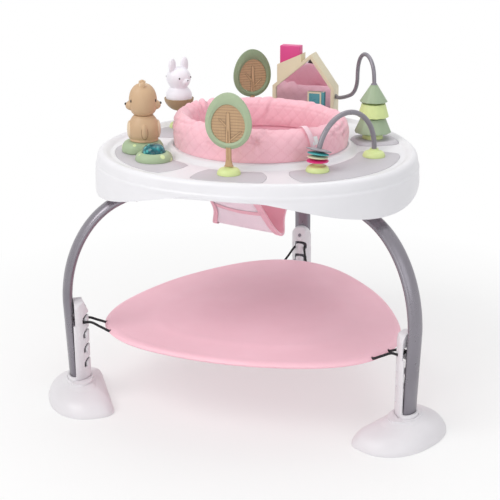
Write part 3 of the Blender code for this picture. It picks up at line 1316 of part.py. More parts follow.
def make_house():
    """A five-sided house with a mirror inside, a chimney that slides down and a small window that swings."""
    beige = material("house_beige", BEIGE, 0.5)
    mark = empty("station_house", house_place(), radians(HOUSE_FACING + 90.0))
    shell = prism("house_frame", house_outline(0.0), 0.0, HOUSE_DEEP, "XZY")
    house = add_object("house_frame", shell, beige, mark)

    def change(name, mesh, operation="DIFFERENCE", place=(0, 0, 0)):
        combine(house, cutter(name, mesh, mark, place), operation)

    x0, x1 = CHIMNEY_X[0] - HOUSING_SPARE, CHIMNEY_X[1] + HOUSING_SPARE
    sunk = -HOUSE_WALL / 2
    housing = [(x0, roof_height(x0, sunk)), (x1, roof_height(x1, sunk)), (x1, roof_height(x1, HOUSING_RISE)),
               (x0, roof_height(x0, HOUSING_RISE + HOUSING_LEFT_RISE))]
    change("join_housing", prism("join_housing", housing, CHIMNEY_Y[0] - HOUSING_SPARE,
                                 CHIMNEY_Y[1] + HOUSING_SPARE,
                                 "XZY"), "UNION")
    change("cut_house", prism("cut_house", house_outline(HOUSE_WALL), -CUT_OVER, HOUSE_DEEP - BACK_WALL,
                              "XZY",
                              smooth=None))
    spare = BORE_SPARE
    change("cut_chimney", box("cut_chimney", (CHIMNEY_X[0] - spare, CHIMNEY_Y[0] - spare, HOUSE_EAVE - 0.02),
                              (CHIMNEY_X[1] + spare, CHIMNEY_Y[1] + spare, CHIMNEY_TOP + CUT_OVER)))
    profile = [(0, BASE_Z - SPIGOT_LONG), (SPIGOT_R, BASE_Z - SPIGOT_LONG), (SPIGOT_R, BASE_Z + 0.003),
               (0, BASE_Z + 0.003)]
    change("join_house_spigot", turned("join_house_spigot", profile, SPIGOT_SIDES), "UNION",
           (*HOUSE_SPIGOT, 0))

    pin_x = DOOR_X[1] + DOOR_PIN_R + DOOR_SLEEVE_WALL + GAP
    sill = BASE_Z + HOUSE_WALL
    pin_top = DOOR_Z[1] + 0.001
    profile = [(0, sill - 0.002), (DOOR_PIN_R, sill - 0.002), (DOOR_PIN_R, pin_top), (0, pin_top)]
    change("join_door_pin", turned("join_door_pin", profile, 10), "UNION", (pin_x, DOOR_PIN_Y, 0))
    combine(house, cutter("cut_wire_hole", wire_socket_mesh()))

    plate = prism("house_mirror", house_outline(HOUSE_WALL + GAP), MIRROR_FRONT, MIRROR_FRONT + MIRROR_THICK,
                  "XZY")
    add_object("house_mirror", plate, material("mirror", MIRROR, 0.05, 1.0), mark)

    stack = box("house_chimney", (CHIMNEY_X[0], CHIMNEY_Y[0], 0), (CHIMNEY_X[1], CHIMNEY_Y[1], CHIMNEY_LONG))
    chimney = add_object("house_chimney", stack, material("magenta", MAGENTA, 0.4), mark,
                         (0, 0, CHIMNEY_TOP - CHIMNEY_LONG))
    edge = chimney.modifiers.new("soft_edges", "BEVEL")
    edge.width = 0.0012
    edge.segments = 1
    make_door(mark, pin_x)


def make_door(mark, pin_x):
    """The small window door on its upright pin, in front of the mirror."""
    low, high = DOOR_Z
    place = (pin_x, DOOR_PIN_Y, 0)
    left = DOOR_X[0] - pin_x
    sleeve_r = DOOR_PIN_R + DOOR_SLEEVE_WALL
    bore_r = DOOR_PIN_R + BORE_SPARE
    panel = box("house_window", (left, -DOOR_THICK / 2, low), (-DOOR_PIN_R, DOOR_THICK / 2, high))
    door = add_object("house_window", panel, material("teal_panel", TEAL, 0.3), mark, place)
    sleeve = turned("join_door_sleeve", [(0, low), (sleeve_r, low), (sleeve_r, high), (0, high)], 12)
    combine(door, cutter("join_door_sleeve", sleeve, mark, place), "UNION")
    bore = turned("cut_door_bore", [(0, low - CUT_OVER), (bore_r, low - CUT_OVER), (bore_r, high + CUT_OVER),
                                    (0, high + CUT_OVER)], 10, smooth=None)
    combine(door, cutter("cut_door_bore", bore, mark, place))


def wire_ends():
    return house_place(HOUSE_RIGHT - WIRE_IN_WALL, HOUSE_DEEP / 2), polar(*PINE_AT)


def wire_across():
    """A level direction square to the wire's own upright plane."""
    start, stop = wire_ends()
    return (stop - start).normalized().cross(Vector((0, 0, 1)))


def make_wire():
    """The bent wire from the house over to the pine, which turns on its upright end."""
    start, stop = wire_ends()
    points = [start + (stop - start) * s + Vector((0, 0, z)) for s, z in WIRE_ROUTE]
    points.append(Vector((stop.x, stop.y, PEDESTAL_TOP + GAP + PINE_BASE_FLOOR + GAP)))
    wire = tube_mesh("bead_wire", points, WIRE_R, WIRE_SIDES, wire_across())
    add_object("bead_wire", wire, material("wire_grey", GREY, 0.4))


def wire_socket_mesh():
    """The wire's socket in the house's side wall."""
    start, stop = wire_ends()
    along = (stop - start).normalized()
    height = Vector((0, 0, WIRE_ROUTE[0][1]))
    ends = [start - along * GAP + height, start + along * CUT_OVER + height]
    return tube_mesh("cut_wire_hole", ends, WIRE_R + BORE_SPARE, 12, wire_across(), smooth=None)


def make_pine():
    """Three cone tiers that turn on the wire's upright end, over a lime base."""
    sage = material("pine_sage", SAGE, 0.45)
    lime = material("lime", LIME, 0.45)
    mark = bpy.data.objects["station_pine"]
    low = PEDESTAL_TOP + GAP
    well = WIRE_R + BORE_SPARE
    tall = PINE_TIERS[2][1] - GAP - low
    root = DECK_UNDER + 0.0008 - low
    profile = [(0, PINE_BASE_FLOOR), (well, PINE_BASE_FLOOR), (well, tall), (0.0100, tall),
               (0.0195, tall * 0.62),
               (0.0208, 0), (SPIGOT_R, 0), (SPIGOT_R, root), (0, root)]
    add_object("pine_base", turned("pine_base", profile, 16), lime, mark, (0, 0, low))
    ceiling = None
    for name, bottom, top, wide, narrow in PINE_TIERS:
        tall = top - bottom
        profile = [(well, 0), (PINE_HUB_R, 0), (PINE_HUB_R, PINE_SKIN), (wide - PINE_SKIN, PINE_SKIN),
                   (wide - PINE_SKIN / 2, 0), (wide, PINE_SKIN / 3), (narrow, tall)]
        if ceiling:
            reach = ceiling - GAP - bottom
            profile += [(PINE_HUB_R, tall), (PINE_HUB_R, reach), (well, reach)]
        else:
            profile += [(well, tall)]
        add_object(name, turned(name, profile, 16, ring=True), lime if name == "pine_tier_middle" else sage,
                   mark, (0, 0, bottom))
        ceiling = bottom


# Arch with disks

def make_arch():
    """A half-round grey tube between two lime domes, with four disks threaded on it."""
    grey = material("arch_grey", GREY, 0.4)
    lime = material("lime", LIME, 0.45)
    left, right = polar(*ARCH_LEFT_AT), polar(*ARCH_RIGHT_AT)
    span = right - left
    radius = span.length / 2
    mark = empty("station_arch", (left + right) / 2 + Vector((0, 0, ARCH_CENTRE_Z)),
                 acos(span.x / span.length))

    dome_tall = ARCH_DOME_TOP - BASE_Z
    bore = ARCH_TUBE_R + BORE_SPARE
    profile = dome_profile(dome_tall) + [(ARCH_COLLAR_R, dome_tall), (ARCH_COLLAR_R, dome_tall + ARCH_COLLAR),
                                         (bore, dome_tall + ARCH_COLLAR), (bore, dome_tall - ARCH_SINK),
                                         (0, dome_tall - ARCH_SINK)]
    for name, x in (("arch_dome_left", -radius), ("arch_dome_right", radius)):
        add_object(name, turned(name, profile, DOME_SIDES), lime, mark, (x, 0, BASE_Z - ARCH_CENTRE_Z))

    foot = ARCH_DOME_TOP - ARCH_SINK + GAP - ARCH_CENTRE_Z
    points = [Vector((-radius, 0, foot))]
    points += [Vector((-radius * cos(pi * i / ARCH_STEPS), 0, radius * sin(pi * i / ARCH_STEPS)))
               for i in range(ARCH_STEPS + 1)]
    points.append(Vector((radius, 0, foot)))
    tube = tube_mesh("arch_tube", points, ARCH_TUBE_R, ARCH_SIDES, Vector((0, 1, 0)))
    add_object("arch_tube", tube, grey, mark)

    hub = DISK_HUB / 2
    bore = ARCH_TUBE_R + DISK_BORE_SPARE
    for i, (name, disk_r) in enumerate(DISKS):
        angle = (ARCH_DOME_TOP + DISK_FIRST + DISK_PITCH * i - ARCH_CENTRE_Z) / radius
        profile = [(bore, -hub), (bore + 0.0032, -hub), (disk_r, -hub * 0.30), (disk_r, hub * 0.30),
                   (bore + 0.0032, hub), (bore, hub)]
        flat = turned(name, profile, DISK_SIDES, ring=True)
        for v in flat.vertices:
            x, z = v.co.x - radius, v.co.z
            v.co.x = x * cos(angle) + z * sin(angle)
            v.co.z = z * cos(angle) - x * sin(angle)
        add_object(name, flat, material(name, DISK_COLOURS[name], 0.45), mark)


def main():
    clear_scene()
    station("station_pine", *PINE_AT)
    make_legs()
    make_platform()
    make_tray()
    make_pads()
    make_underside()
    make_seat()
    make_bear()
    make_light()
    make_battery_box()
    make_bunny()
    make_tree("tree_front", TREE_FRONT_AT)
    make_tree("tree_back", TREE_BACK_AT, TREE_BACK_LIFT, TREE_BACK_TURN)
    make_house()
    make_wire()
    make_pine()
    make_arch()


main()
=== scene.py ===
# The looks of the baby activity center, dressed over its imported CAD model. Metres, +Z up, front towards -Y.

import json
import bpy
import bmesh
from math import acos, atan2, cos, degrees, exp, hypot, pi, radians, sin, sqrt
from mathutils import Vector, noise
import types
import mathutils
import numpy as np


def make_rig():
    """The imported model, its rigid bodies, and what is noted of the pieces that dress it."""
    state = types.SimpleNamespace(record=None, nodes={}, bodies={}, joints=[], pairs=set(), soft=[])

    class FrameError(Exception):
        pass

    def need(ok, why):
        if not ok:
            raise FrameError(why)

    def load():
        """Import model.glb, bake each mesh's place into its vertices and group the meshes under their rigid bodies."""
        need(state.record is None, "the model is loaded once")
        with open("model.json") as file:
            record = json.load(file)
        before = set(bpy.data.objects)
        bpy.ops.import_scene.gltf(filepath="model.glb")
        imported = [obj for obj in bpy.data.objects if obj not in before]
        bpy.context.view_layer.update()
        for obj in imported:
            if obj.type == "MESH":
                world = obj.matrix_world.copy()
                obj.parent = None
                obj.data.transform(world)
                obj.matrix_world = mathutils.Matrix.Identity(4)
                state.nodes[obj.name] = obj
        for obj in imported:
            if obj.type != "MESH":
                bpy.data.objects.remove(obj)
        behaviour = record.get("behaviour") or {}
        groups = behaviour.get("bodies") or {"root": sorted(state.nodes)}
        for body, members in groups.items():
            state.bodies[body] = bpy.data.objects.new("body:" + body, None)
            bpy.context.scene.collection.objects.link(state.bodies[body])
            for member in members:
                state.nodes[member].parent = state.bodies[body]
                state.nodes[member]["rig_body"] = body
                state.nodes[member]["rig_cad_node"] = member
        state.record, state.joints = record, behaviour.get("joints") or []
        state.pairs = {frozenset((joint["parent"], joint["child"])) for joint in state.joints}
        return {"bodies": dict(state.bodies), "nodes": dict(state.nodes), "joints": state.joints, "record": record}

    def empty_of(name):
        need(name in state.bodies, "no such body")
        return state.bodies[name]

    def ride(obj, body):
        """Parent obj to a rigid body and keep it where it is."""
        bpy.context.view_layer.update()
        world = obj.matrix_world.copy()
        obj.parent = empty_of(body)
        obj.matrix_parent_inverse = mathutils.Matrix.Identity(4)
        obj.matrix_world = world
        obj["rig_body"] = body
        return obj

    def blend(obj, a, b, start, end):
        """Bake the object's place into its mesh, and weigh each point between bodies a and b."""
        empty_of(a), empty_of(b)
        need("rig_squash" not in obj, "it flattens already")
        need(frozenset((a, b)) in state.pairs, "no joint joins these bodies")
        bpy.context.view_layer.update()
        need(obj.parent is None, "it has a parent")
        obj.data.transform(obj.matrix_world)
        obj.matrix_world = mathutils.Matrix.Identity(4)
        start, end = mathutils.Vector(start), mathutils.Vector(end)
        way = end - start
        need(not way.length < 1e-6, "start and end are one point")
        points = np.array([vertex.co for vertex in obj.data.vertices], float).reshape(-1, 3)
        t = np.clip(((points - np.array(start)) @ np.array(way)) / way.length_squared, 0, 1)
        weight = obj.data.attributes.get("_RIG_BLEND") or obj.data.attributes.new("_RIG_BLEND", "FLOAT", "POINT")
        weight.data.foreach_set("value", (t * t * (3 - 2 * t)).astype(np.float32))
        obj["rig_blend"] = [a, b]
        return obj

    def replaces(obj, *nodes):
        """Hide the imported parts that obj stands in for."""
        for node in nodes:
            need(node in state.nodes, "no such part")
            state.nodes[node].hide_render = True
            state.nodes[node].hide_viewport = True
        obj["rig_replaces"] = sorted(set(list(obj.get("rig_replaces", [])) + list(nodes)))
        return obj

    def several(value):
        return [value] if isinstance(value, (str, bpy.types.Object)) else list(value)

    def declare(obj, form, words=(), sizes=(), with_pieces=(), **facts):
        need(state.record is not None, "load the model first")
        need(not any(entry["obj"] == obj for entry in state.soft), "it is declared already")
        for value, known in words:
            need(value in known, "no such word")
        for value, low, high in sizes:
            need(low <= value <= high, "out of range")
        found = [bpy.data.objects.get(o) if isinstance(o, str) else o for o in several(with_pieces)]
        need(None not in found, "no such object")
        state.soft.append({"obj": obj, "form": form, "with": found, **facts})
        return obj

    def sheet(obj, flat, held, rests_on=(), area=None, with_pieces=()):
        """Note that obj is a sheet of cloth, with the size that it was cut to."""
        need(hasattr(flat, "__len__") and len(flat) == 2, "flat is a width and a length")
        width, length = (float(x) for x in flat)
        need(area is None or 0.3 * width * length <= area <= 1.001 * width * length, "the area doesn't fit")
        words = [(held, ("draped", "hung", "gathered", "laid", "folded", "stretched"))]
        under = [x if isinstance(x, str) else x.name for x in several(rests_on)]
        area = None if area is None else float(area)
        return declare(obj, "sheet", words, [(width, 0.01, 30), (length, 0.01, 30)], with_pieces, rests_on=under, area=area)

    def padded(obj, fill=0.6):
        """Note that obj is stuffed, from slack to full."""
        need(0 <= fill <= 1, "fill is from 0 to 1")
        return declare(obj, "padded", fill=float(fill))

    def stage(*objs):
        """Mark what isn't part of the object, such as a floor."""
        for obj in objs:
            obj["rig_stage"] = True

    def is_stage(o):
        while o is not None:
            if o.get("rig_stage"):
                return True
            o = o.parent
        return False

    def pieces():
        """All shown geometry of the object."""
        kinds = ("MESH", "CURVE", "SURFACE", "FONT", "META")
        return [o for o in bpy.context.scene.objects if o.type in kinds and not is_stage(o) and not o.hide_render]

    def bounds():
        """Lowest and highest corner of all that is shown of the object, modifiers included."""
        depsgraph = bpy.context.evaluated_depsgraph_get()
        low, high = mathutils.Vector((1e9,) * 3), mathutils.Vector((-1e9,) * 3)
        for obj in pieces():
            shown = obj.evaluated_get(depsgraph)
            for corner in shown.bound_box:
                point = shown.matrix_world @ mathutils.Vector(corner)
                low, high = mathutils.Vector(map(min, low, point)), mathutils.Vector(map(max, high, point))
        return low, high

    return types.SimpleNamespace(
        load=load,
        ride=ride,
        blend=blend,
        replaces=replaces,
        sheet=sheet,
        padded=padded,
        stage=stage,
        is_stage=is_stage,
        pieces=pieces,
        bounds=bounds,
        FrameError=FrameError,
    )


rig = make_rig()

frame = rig.load()
CAD_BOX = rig.bounds()
NODES = frame["nodes"]


# Fits
GAP = 0.0003               # between pieces that touch
BORE_SPARE = 0.0004        # round a pin, spigot or tube in its hole
RING_PLAY = 0.0012         # running clearance round the turning seat ring
CUT_OVER = 0.010           # how far cutters reach past the surface that they open
SMOOTH_ANGLE = 40.0        # degrees; edges sharper than this stay sharp
ROUND_SIDES = 30           # a turned piece with more sides than this has its profile smoothed too

# Leg tubes
LEG_ANGLES = {"left": 210.0, "right": 330.0, "back": 90.0}
LEG_R = 0.390              # centre line of the tubes below their bend, from the seat's axis
TUBE_RADIAL = 0.019        # the oval tube, measured towards the seat's axis
TUBE_WIDE = 0.036          # and across
TUBE_WALL = 0.0016
TUBE_FOOT_R = LEG_R - 0.006   # centre line at the tube's closed lower end
TUBE_END_Z = 0.049
TUBE_NOSE = 0.0046         # the rounded lower end reaches this far below
BEND_Z = 0.208
BEND_REACH = 0.152         # how far inwards a full quarter bend would run
BEND_RISE = 0.205          # and how far it climbs
BEND_STOP = 72.0           # degrees of the bend that are used
TUBE_IN_R = 0.215          # the straight upper end stops here, in its socket
TUBE_SIDES = 40
BEND_STATIONS = 28

# Feet: half of the D-shaped outline on the floor, (outwards, across) from the collar's middle, from the
# straight inner side on
FOOT_HALF = ((-0.0550, 0.0), (-0.0549, 0.0600), (-0.0530, 0.0880), (-0.0415, 0.0995), (-0.0185, 0.1030),
             (0.0065, 0.1005), (0.0285, 0.0890), (0.0465, 0.0690), (0.0590, 0.0380), (0.0625, 0.0))
FOOT_POLE_R = LEG_R - 0.0155   # middle of the raised collar
FOOT_TOP = 0.0460
FOOT_WALL = 0.0028
FOOT_RIM = 0.050           # share of the foot's size that its flat standing rim takes
COLLAR_RADIAL = 0.054
COLLAR_WIDE = 0.085
COLLAR_LOW = 0.0395
BOSS_WALL = 0.0026         # of the socket inside the foot

# Casings on the leg tubes
CASING_HALF = 0.0220       # half width
CASING_FACE_R = LEG_R - 0.0385   # the convex inner face, towards the platform
CASING_BULGE = 0.0250      # how far the face falls back at its edges
CASING_ROUND = 1.7         # power of the face's curve
CASING_WALL = 0.0025
CASING_TOP = 0.212
CASING_BOTTOM = 0.016
CASING_STEP_Z = 0.161      # below this the side walls reach further round the tube
CASING_SIDE_HIGH = LEG_R - 0.0100
CASING_SIDE_LOW = LEG_R - 0.0065
CASING_SLEEVE_R = LEG_R - 0.0040   # the closed sleeve's sides end here, its round back at CASING_BACK_R
CASING_BACK_R = LEG_R + 0.0080
CASING_FLOOR_Z = 0.0570    # the hollow behind the face starts here
CASING_ROOF_Z = 0.1835     # and ends here, below the screw
CASING_SLOPE_R = CASING_FACE_R + 0.0125   # the sloped top meets the tube's side here
SCREW_Z = 0.195
SCREW_SEAT_R = 0.0042
SCREW_SEAT_DEEP = 0.0012
SCREW_FILL = 0.86          # the head's share of its seat's radius
SCREW_TALL = 0.0016
SCREW_SUNK = 0.0002        # into the floor of its seat

HOOK_TOP_Z = 0.176         # top of the highest hook
HOOK_PITCH = 0.0305
HOOK_COUNT = 4
HOOK_WIDE = 0.0180
HOOK_TALL = 0.0145
SLOT_WIDE = 0.0064
HOOK_ROUND = 0.8           # height of the hook's round top as a share of its half width

# Elastic loops
CORD_R = 0.0025
CORD_SIDES = 14
STRAND_SPREAD = 0.0250     # half the distance of the two strands at the platform's corner
TUNNEL_OUT = 0.0160        # the platform's tunnel opens inside this distance from its corner
TUNNEL_SPARE = 0.0009

# Platform
PLATFORM_R = LEG_R - 0.1020
PLATFORM_CORNER = 0.0270
PLATFORM_SHARP = 0.0035
PLATFORM_Z = 0.1440        # height of the rolled edge's middle
PLATFORM_EDGE = 0.0120     # thickness of the rolled edge
PLATFORM_DISH = 0.0050
PLATFORM_CORE = 0.0045     # thickness in the middle
PLATFORM_SIDES = 180

# Tray
DECK_Z = 0.4900
DECK_THICK = 0.0055
TRAY_WALL = 0.0030
TRAY_R = 0.3117            # middle radius of the skirt
TRAY_LOBE = 0.0120         # the skirt's outline swells towards each leg
SKIRT_LOW = 0.4448         # lower edge of the skirt
SKIRT_WAVE = 0.0251        # the edge dips at each leg and arches between them
SKIRT_BEND_Z = 0.4645
RIM_R = 0.2972
RIM_OUT = 0.0075           # the rim's outer side, from its crest
RIM_DROP = 0.0150          # and where that side ends, below the crest
RIM_LOBE = 0.0103
RIM_Z = 0.4957
DECK_FLAT = 0.0160         # the deck is flat up to this far inside the rim's crest
TRAY_HOLE_R = 0.1705
COLLAR_SLOPE = 0.0180      # width of the tray's slope down from the seat to the deck
TRAY_SEGMENTS = 180
TRAY_TURN = 2.5            # degrees, keeps the facets' corners off the pads' own corners

# Plates let into the deck: name, from angle, to angle
PADS = {
    "pad_bear": (190.0, 242.0),
    "pad_tree_front": (255.0, 286.0),
    "pad_arch": (299.0, 364.0),
    "pad_bunny": (136.0, 172.0),
    "pad_back": (62.0, 124.0),
}
PAD_THICK = 0.0025
PAD_PROUD = 0.0006
PAD_RIM_GAP = 0.0240       # from the pads' outer edge to the rim's crest
PAD_INNER_R = 0.1930
PAD_CORNER = 0.016
PAD_SPARE = 0.0005         # round a plate in its recess
PEDESTAL_WIDE = 0.085      # the raised plate under the pine, across
PEDESTAL_RADIAL = 0.088
PEDESTAL_TOP = 0.4965
PEDESTAL_OUT = 0.004       # from the pine's axis to the plate's middle

# Seat
SEAT_SEGMENTS = 144
SEAT_TOP = 0.5000          # top of the seat ring
SLEEVE_IN_R = 0.1500
SLEEVE_OUT_R = 0.1580
SLEEVE_LOW = 0.4560
SLEEVE_NECK = 0.0040       # wall of the sleeve above its flange
LEDGE_TOP = 0.4672
FLANGE_R = 0.1655
FLANGE_THICK = 0.0035
TOP_FLANGE_THICK = 0.0025
CUSHION_MID_R = 0.1542
CUSHION_TOP = 0.5585
CUSHION_HALF = 0.0172
CUSHION_TUFTS = 8
CUSHION_PUFF = 0.0022
CUSHION_LEAN = 0.0060      # the crown stands higher at the left
CUSHION_LEAN_AT = 205.0
SLING_R = 0.1475
SLING_THICK = 0.0018
SLING_HEM = 0.4470
SLING_LOW = 0.3230
SLING_TURN = -17.3         # the hanging strip's direction, degrees from +X
# The strip at its hem, halfway down and at its lowest: middle and half length along its own direction
SLING_SPANS = ((-0.0200, 0.0845), (-0.0240, 0.0660), (-0.0235, 0.0815))
SLING_ASIDE = -0.0120      # the lowest line lies this far towards the front

# Toys: places on the tray, radius and degrees
DOME_R = 0.0215
DOME_TALL = 0.0132
DOME_SEAT_R = 0.0100
DOME_CONE = 0.0022         # the top falls this far to its edge, so that what sways on it stays clear
SPIGOT_R = 0.0060
SPIGOT_LONG = 0.0045
SPIGOT_SIDES = 16
DOME_SIDES = 56
TREE_FRONT_AT = (0.213, 268.9)
TREE_BACK_AT = (0.239, 109.0)
ARCH_LEFT_AT = (0.211, 313.4)
ARCH_RIGHT_AT = (0.227, 354.7)
PINE_AT = (0.2276, 26.8)
BUNNY_AT = (0.2448, 148.8)
BEAR_AT = (0.227, 203.0)
LIGHT_AT = (0.225, 221.8)
HOUSE_X = 0.045
HOUSE_Y = 0.225            # from the seat's axis
HOUSE_FACING = 266.0

# Trees
TREE_WIDE = 0.0850
TREE_TALL = 0.1010
TREE_MIDDLE_Z = 0.5870
TREE_BACK_LIFT = 0.0060    # the back tree stands higher
TREE_BACK_TURN = 20.0      # and is turned on its stem
TREE_BORDER_SIDE = 0.0115
TREE_BORDER_LOW = 0.0115
TREE_BORDER_TOP = 0.0205
TREE_THICK = 0.0120
PANEL_THICK = 0.0040
POST_PROUD = 0.0016        # the trunk's post stands out of the panel
POST_HALF = 0.0044
EGG_SIDES = 72

# Bear, bush and light
BEAR_RING_Z = 0.5120
BEAR_NECK_Z = 0.5620
BEAR_HEAD_TOP = 0.6225
BEAR_BODY_R = 0.0305
BEAR_FOOT_R = 0.0272
BEAR_HEAD_R = 0.0268
BEAR_SIDES = 56
BEAR_NECK_R = 0.0175       # of the flat lower side of the head
BEAR_ARM_Z = 0.0200        # the arm's middle, above the body's lower end
BEAR_EYE_X = 0.0128
BEAR_EYE_OUT = 0.0232
BEAR_EAR_AT = 0.52         # of the head's radius
BEAR_EAR_RISE = 0.95       # of the head's height
BUSH_RADIAL = 0.0400
BUSH_WIDE = 0.0350
BUSH_OUT = 0.0030
BUSH_WAVES = 5
BUSH_WAVE = 0.05           # the waves' height, as a share of the bush's radius
BUSH_HUB = 0.004           # the spigot goes this far up into the bush
LIGHT_BITE_TALL = 0.05     # of the cutter that makes room for the light in the bush
LIGHT_R = 0.0350
LIGHT_TOP = 0.5060
LENS_R = 0.0215
LENS_TALL = 0.0150
LENS_SLOT = 0.0036
LENS_TRAVEL = 0.0030

# Bunny
BUNNY_CUP_LOW = 0.5260
BUNNY_CUP_TOP = 0.5525
BUNNY_SEAT_DEEP = 0.0040
CUP_FLOOR = 0.96           # the well's floor, as a share of its opening
BUNNY_NECK_Z = 0.5750
BUNNY_HEAD_TOP = 0.6170
BUNNY_HEAD_R = 0.0256
BUNNY_EARS_TOP = 0.6370
BUNNY_EAR_X = 0.0165
BUNNY_NECK_R = 0.0175
BUNNY_EYE_X = 0.0150
BUNNY_EYE_OUT = 0.0206
BUNNY_HEAD_SUNK = 0.001    # the head's middle lies this far below halfway up it
CUP_R = 0.0310
CUP_LIP = 0.0024
STEM_R = 0.0045

# House; its own x runs along its front and y into its depth
HOUSE_LEFT = -0.0800
HOUSE_RIGHT = 0.0550
HOUSE_EAVE = 0.5680
HOUSE_PEAK_X = 0.0040
HOUSE_PEAK = 0.6380
HOUSE_DEEP = 0.0400
HOUSE_WALL = 0.0070
BACK_WALL = 0.0030
HOUSE_SPIGOT = (-0.012, 0.020)
MIRROR_FRONT = 0.0058
MIRROR_THICK = 0.0025
CHIMNEY_X = (-0.0670, -0.0230)
CHIMNEY_Y = (0.0100, 0.0330)
CHIMNEY_TOP = 0.6520
CHIMNEY_LONG = 0.0560
HOUSING_SPARE = 0.0045     # wall of the chimney's housing
HOUSING_RISE = 0.0170      # the housing stands this far above the roof
HOUSING_LEFT_RISE = 0.0200
DOOR_X = (-0.0020, 0.0285)
DOOR_Z = (0.5060, 0.5590)
DOOR_THICK = 0.0030
DOOR_PIN_R = 0.0016
DOOR_PIN_Y = 0.0021
DOOR_SLEEVE_WALL = 0.0015

# Wire and pine
WIRE_R = 0.0040
WIRE_SIDES = 20
# The wire's route from the house to the pine: share of the way across, and height
WIRE_ROUTE = ((0.0, 0.5490), (0.09, 0.5490), (0.25, 0.5550), (0.36, 0.5610), (0.472, 0.5695),
              (0.543, 0.5810),
              (0.583, 0.5970), (0.590, 0.6180), (0.612, 0.6360), (0.660, 0.6490), (0.742, 0.6570),
              (0.835, 0.6560), (0.90, 0.6500), (0.950, 0.6410), (0.985, 0.6280), (1.0, 0.6120))
WIRE_IN_WALL = 0.0030      # length of the wire inside the house's wall
PINE_BASE_FLOOR = 0.0022   # thickness below the wire's end
PINE_HUB_R = 0.0105
PINE_SKIN = 0.0030
# Tiers from the top: name, lower edge, upper edge, radius below, radius above
PINE_TIERS = (
    ("pine_tier_top", 0.5700, 0.6035, 0.0278, 0.0068),
    ("pine_tier_middle", 0.5400, 0.5665, 0.0312, 0.0235),
    ("pine_tier_bottom", 0.5090, 0.5380, 0.0368, 0.0245),
)

# Arch with disks
ARCH_TUBE_R = 0.0048
ARCH_CENTRE_Z = 0.5085
ARCH_DOME_TOP = 0.5040
ARCH_COLLAR = 0.0020       # the domes' little collar round the tube
ARCH_COLLAR_R = 0.0085
ARCH_SINK = 0.0062         # how deep the tube stands in its dome
ARCH_STEPS = 72
ARCH_SIDES = 28
DISKS = (
    ("arch_disk_magenta", 0.0200),
    ("arch_disk_cream", 0.0190),
    ("arch_disk_teal", 0.0198),
    ("arch_disk_grey", 0.0232),
)
DISK_HUB = 0.0054
DISK_PITCH = 0.0066
DISK_FIRST = 0.0055        # from the dome's top to the first disk's middle
DISK_BORE_SPARE = 0.0009
DISK_SIDES = 56

PLATFORM_TIP = PLATFORM_R + PLATFORM_CORNER + PLATFORM_SHARP
PAD_TOP = DECK_Z + PAD_PROUD
PAD_LOW = PAD_TOP - PAD_THICK
BASE_Z = PAD_TOP + GAP
DECK_UNDER = DECK_Z - DECK_THICK
AXIS_Y = (TRAY_R - TRAY_LOBE - FOOT_POLE_R - FOOT_HALF[-1][0]) / 2


MADE = []                  # every shown piece, with its paint
CUTTERS = []


def add_object(name, mesh, paint=None, parent=None, place=(0, 0, 0), turn=0.0):
    """A shown piece. One that stands for a CAD node takes that node's name with show_ before it."""
    thing = bpy.data.objects.new("show_" + name if name in NODES else name, mesh)
    bpy.context.scene.collection.objects.link(thing)
    thing.location = place
    thing.rotation_euler = (0, 0, turn)
    thing.parent = parent
    if paint:
        mesh.materials.clear()
        mesh.materials.append(paint)
    MADE.append(thing)
    return thing


def cutter(name, mesh, parent=None, place=(0, 0, 0), turn=0.0):
    """A hidden solid that a piece is cut or joined with."""
    tool = add_object(name, mesh, None, parent, place, turn)
    MADE.remove(tool)
    CUTTERS.append(tool)
    return tool


def combine(thing, tool, operation="DIFFERENCE"):
    """Cuts a piece with a cutter, or joins the two."""
    step = thing.modifiers.new(tool.name, "BOOLEAN")
    step.operation = operation
    step.object = tool
    step.solver = "EXACT"


def closed_mesh(name, points, faces, smooth=SMOOTH_ANGLE):
    """A mesh whose faces point outwards; edges sharper than smooth, in degrees, stay sharp."""
    mesh = bpy.data.meshes.new(name)
    mesh.from_pydata([tuple(p) for p in points], [], faces)
    work = bmesh.new()
    work.from_mesh(mesh)
    bmesh.ops.recalc_face_normals(work, faces=work.faces)
    closed = all(edge.is_manifold for edge in work.edges)
    if closed and work.calc_volume(signed=True) < 0:
        bmesh.ops.reverse_faces(work, faces=work.faces)
    work.to_mesh(mesh)
    work.free()
    if smooth:
        mesh.shade_smooth()
        mesh.set_sharp_from_angle(angle=radians(smooth))
    return mesh


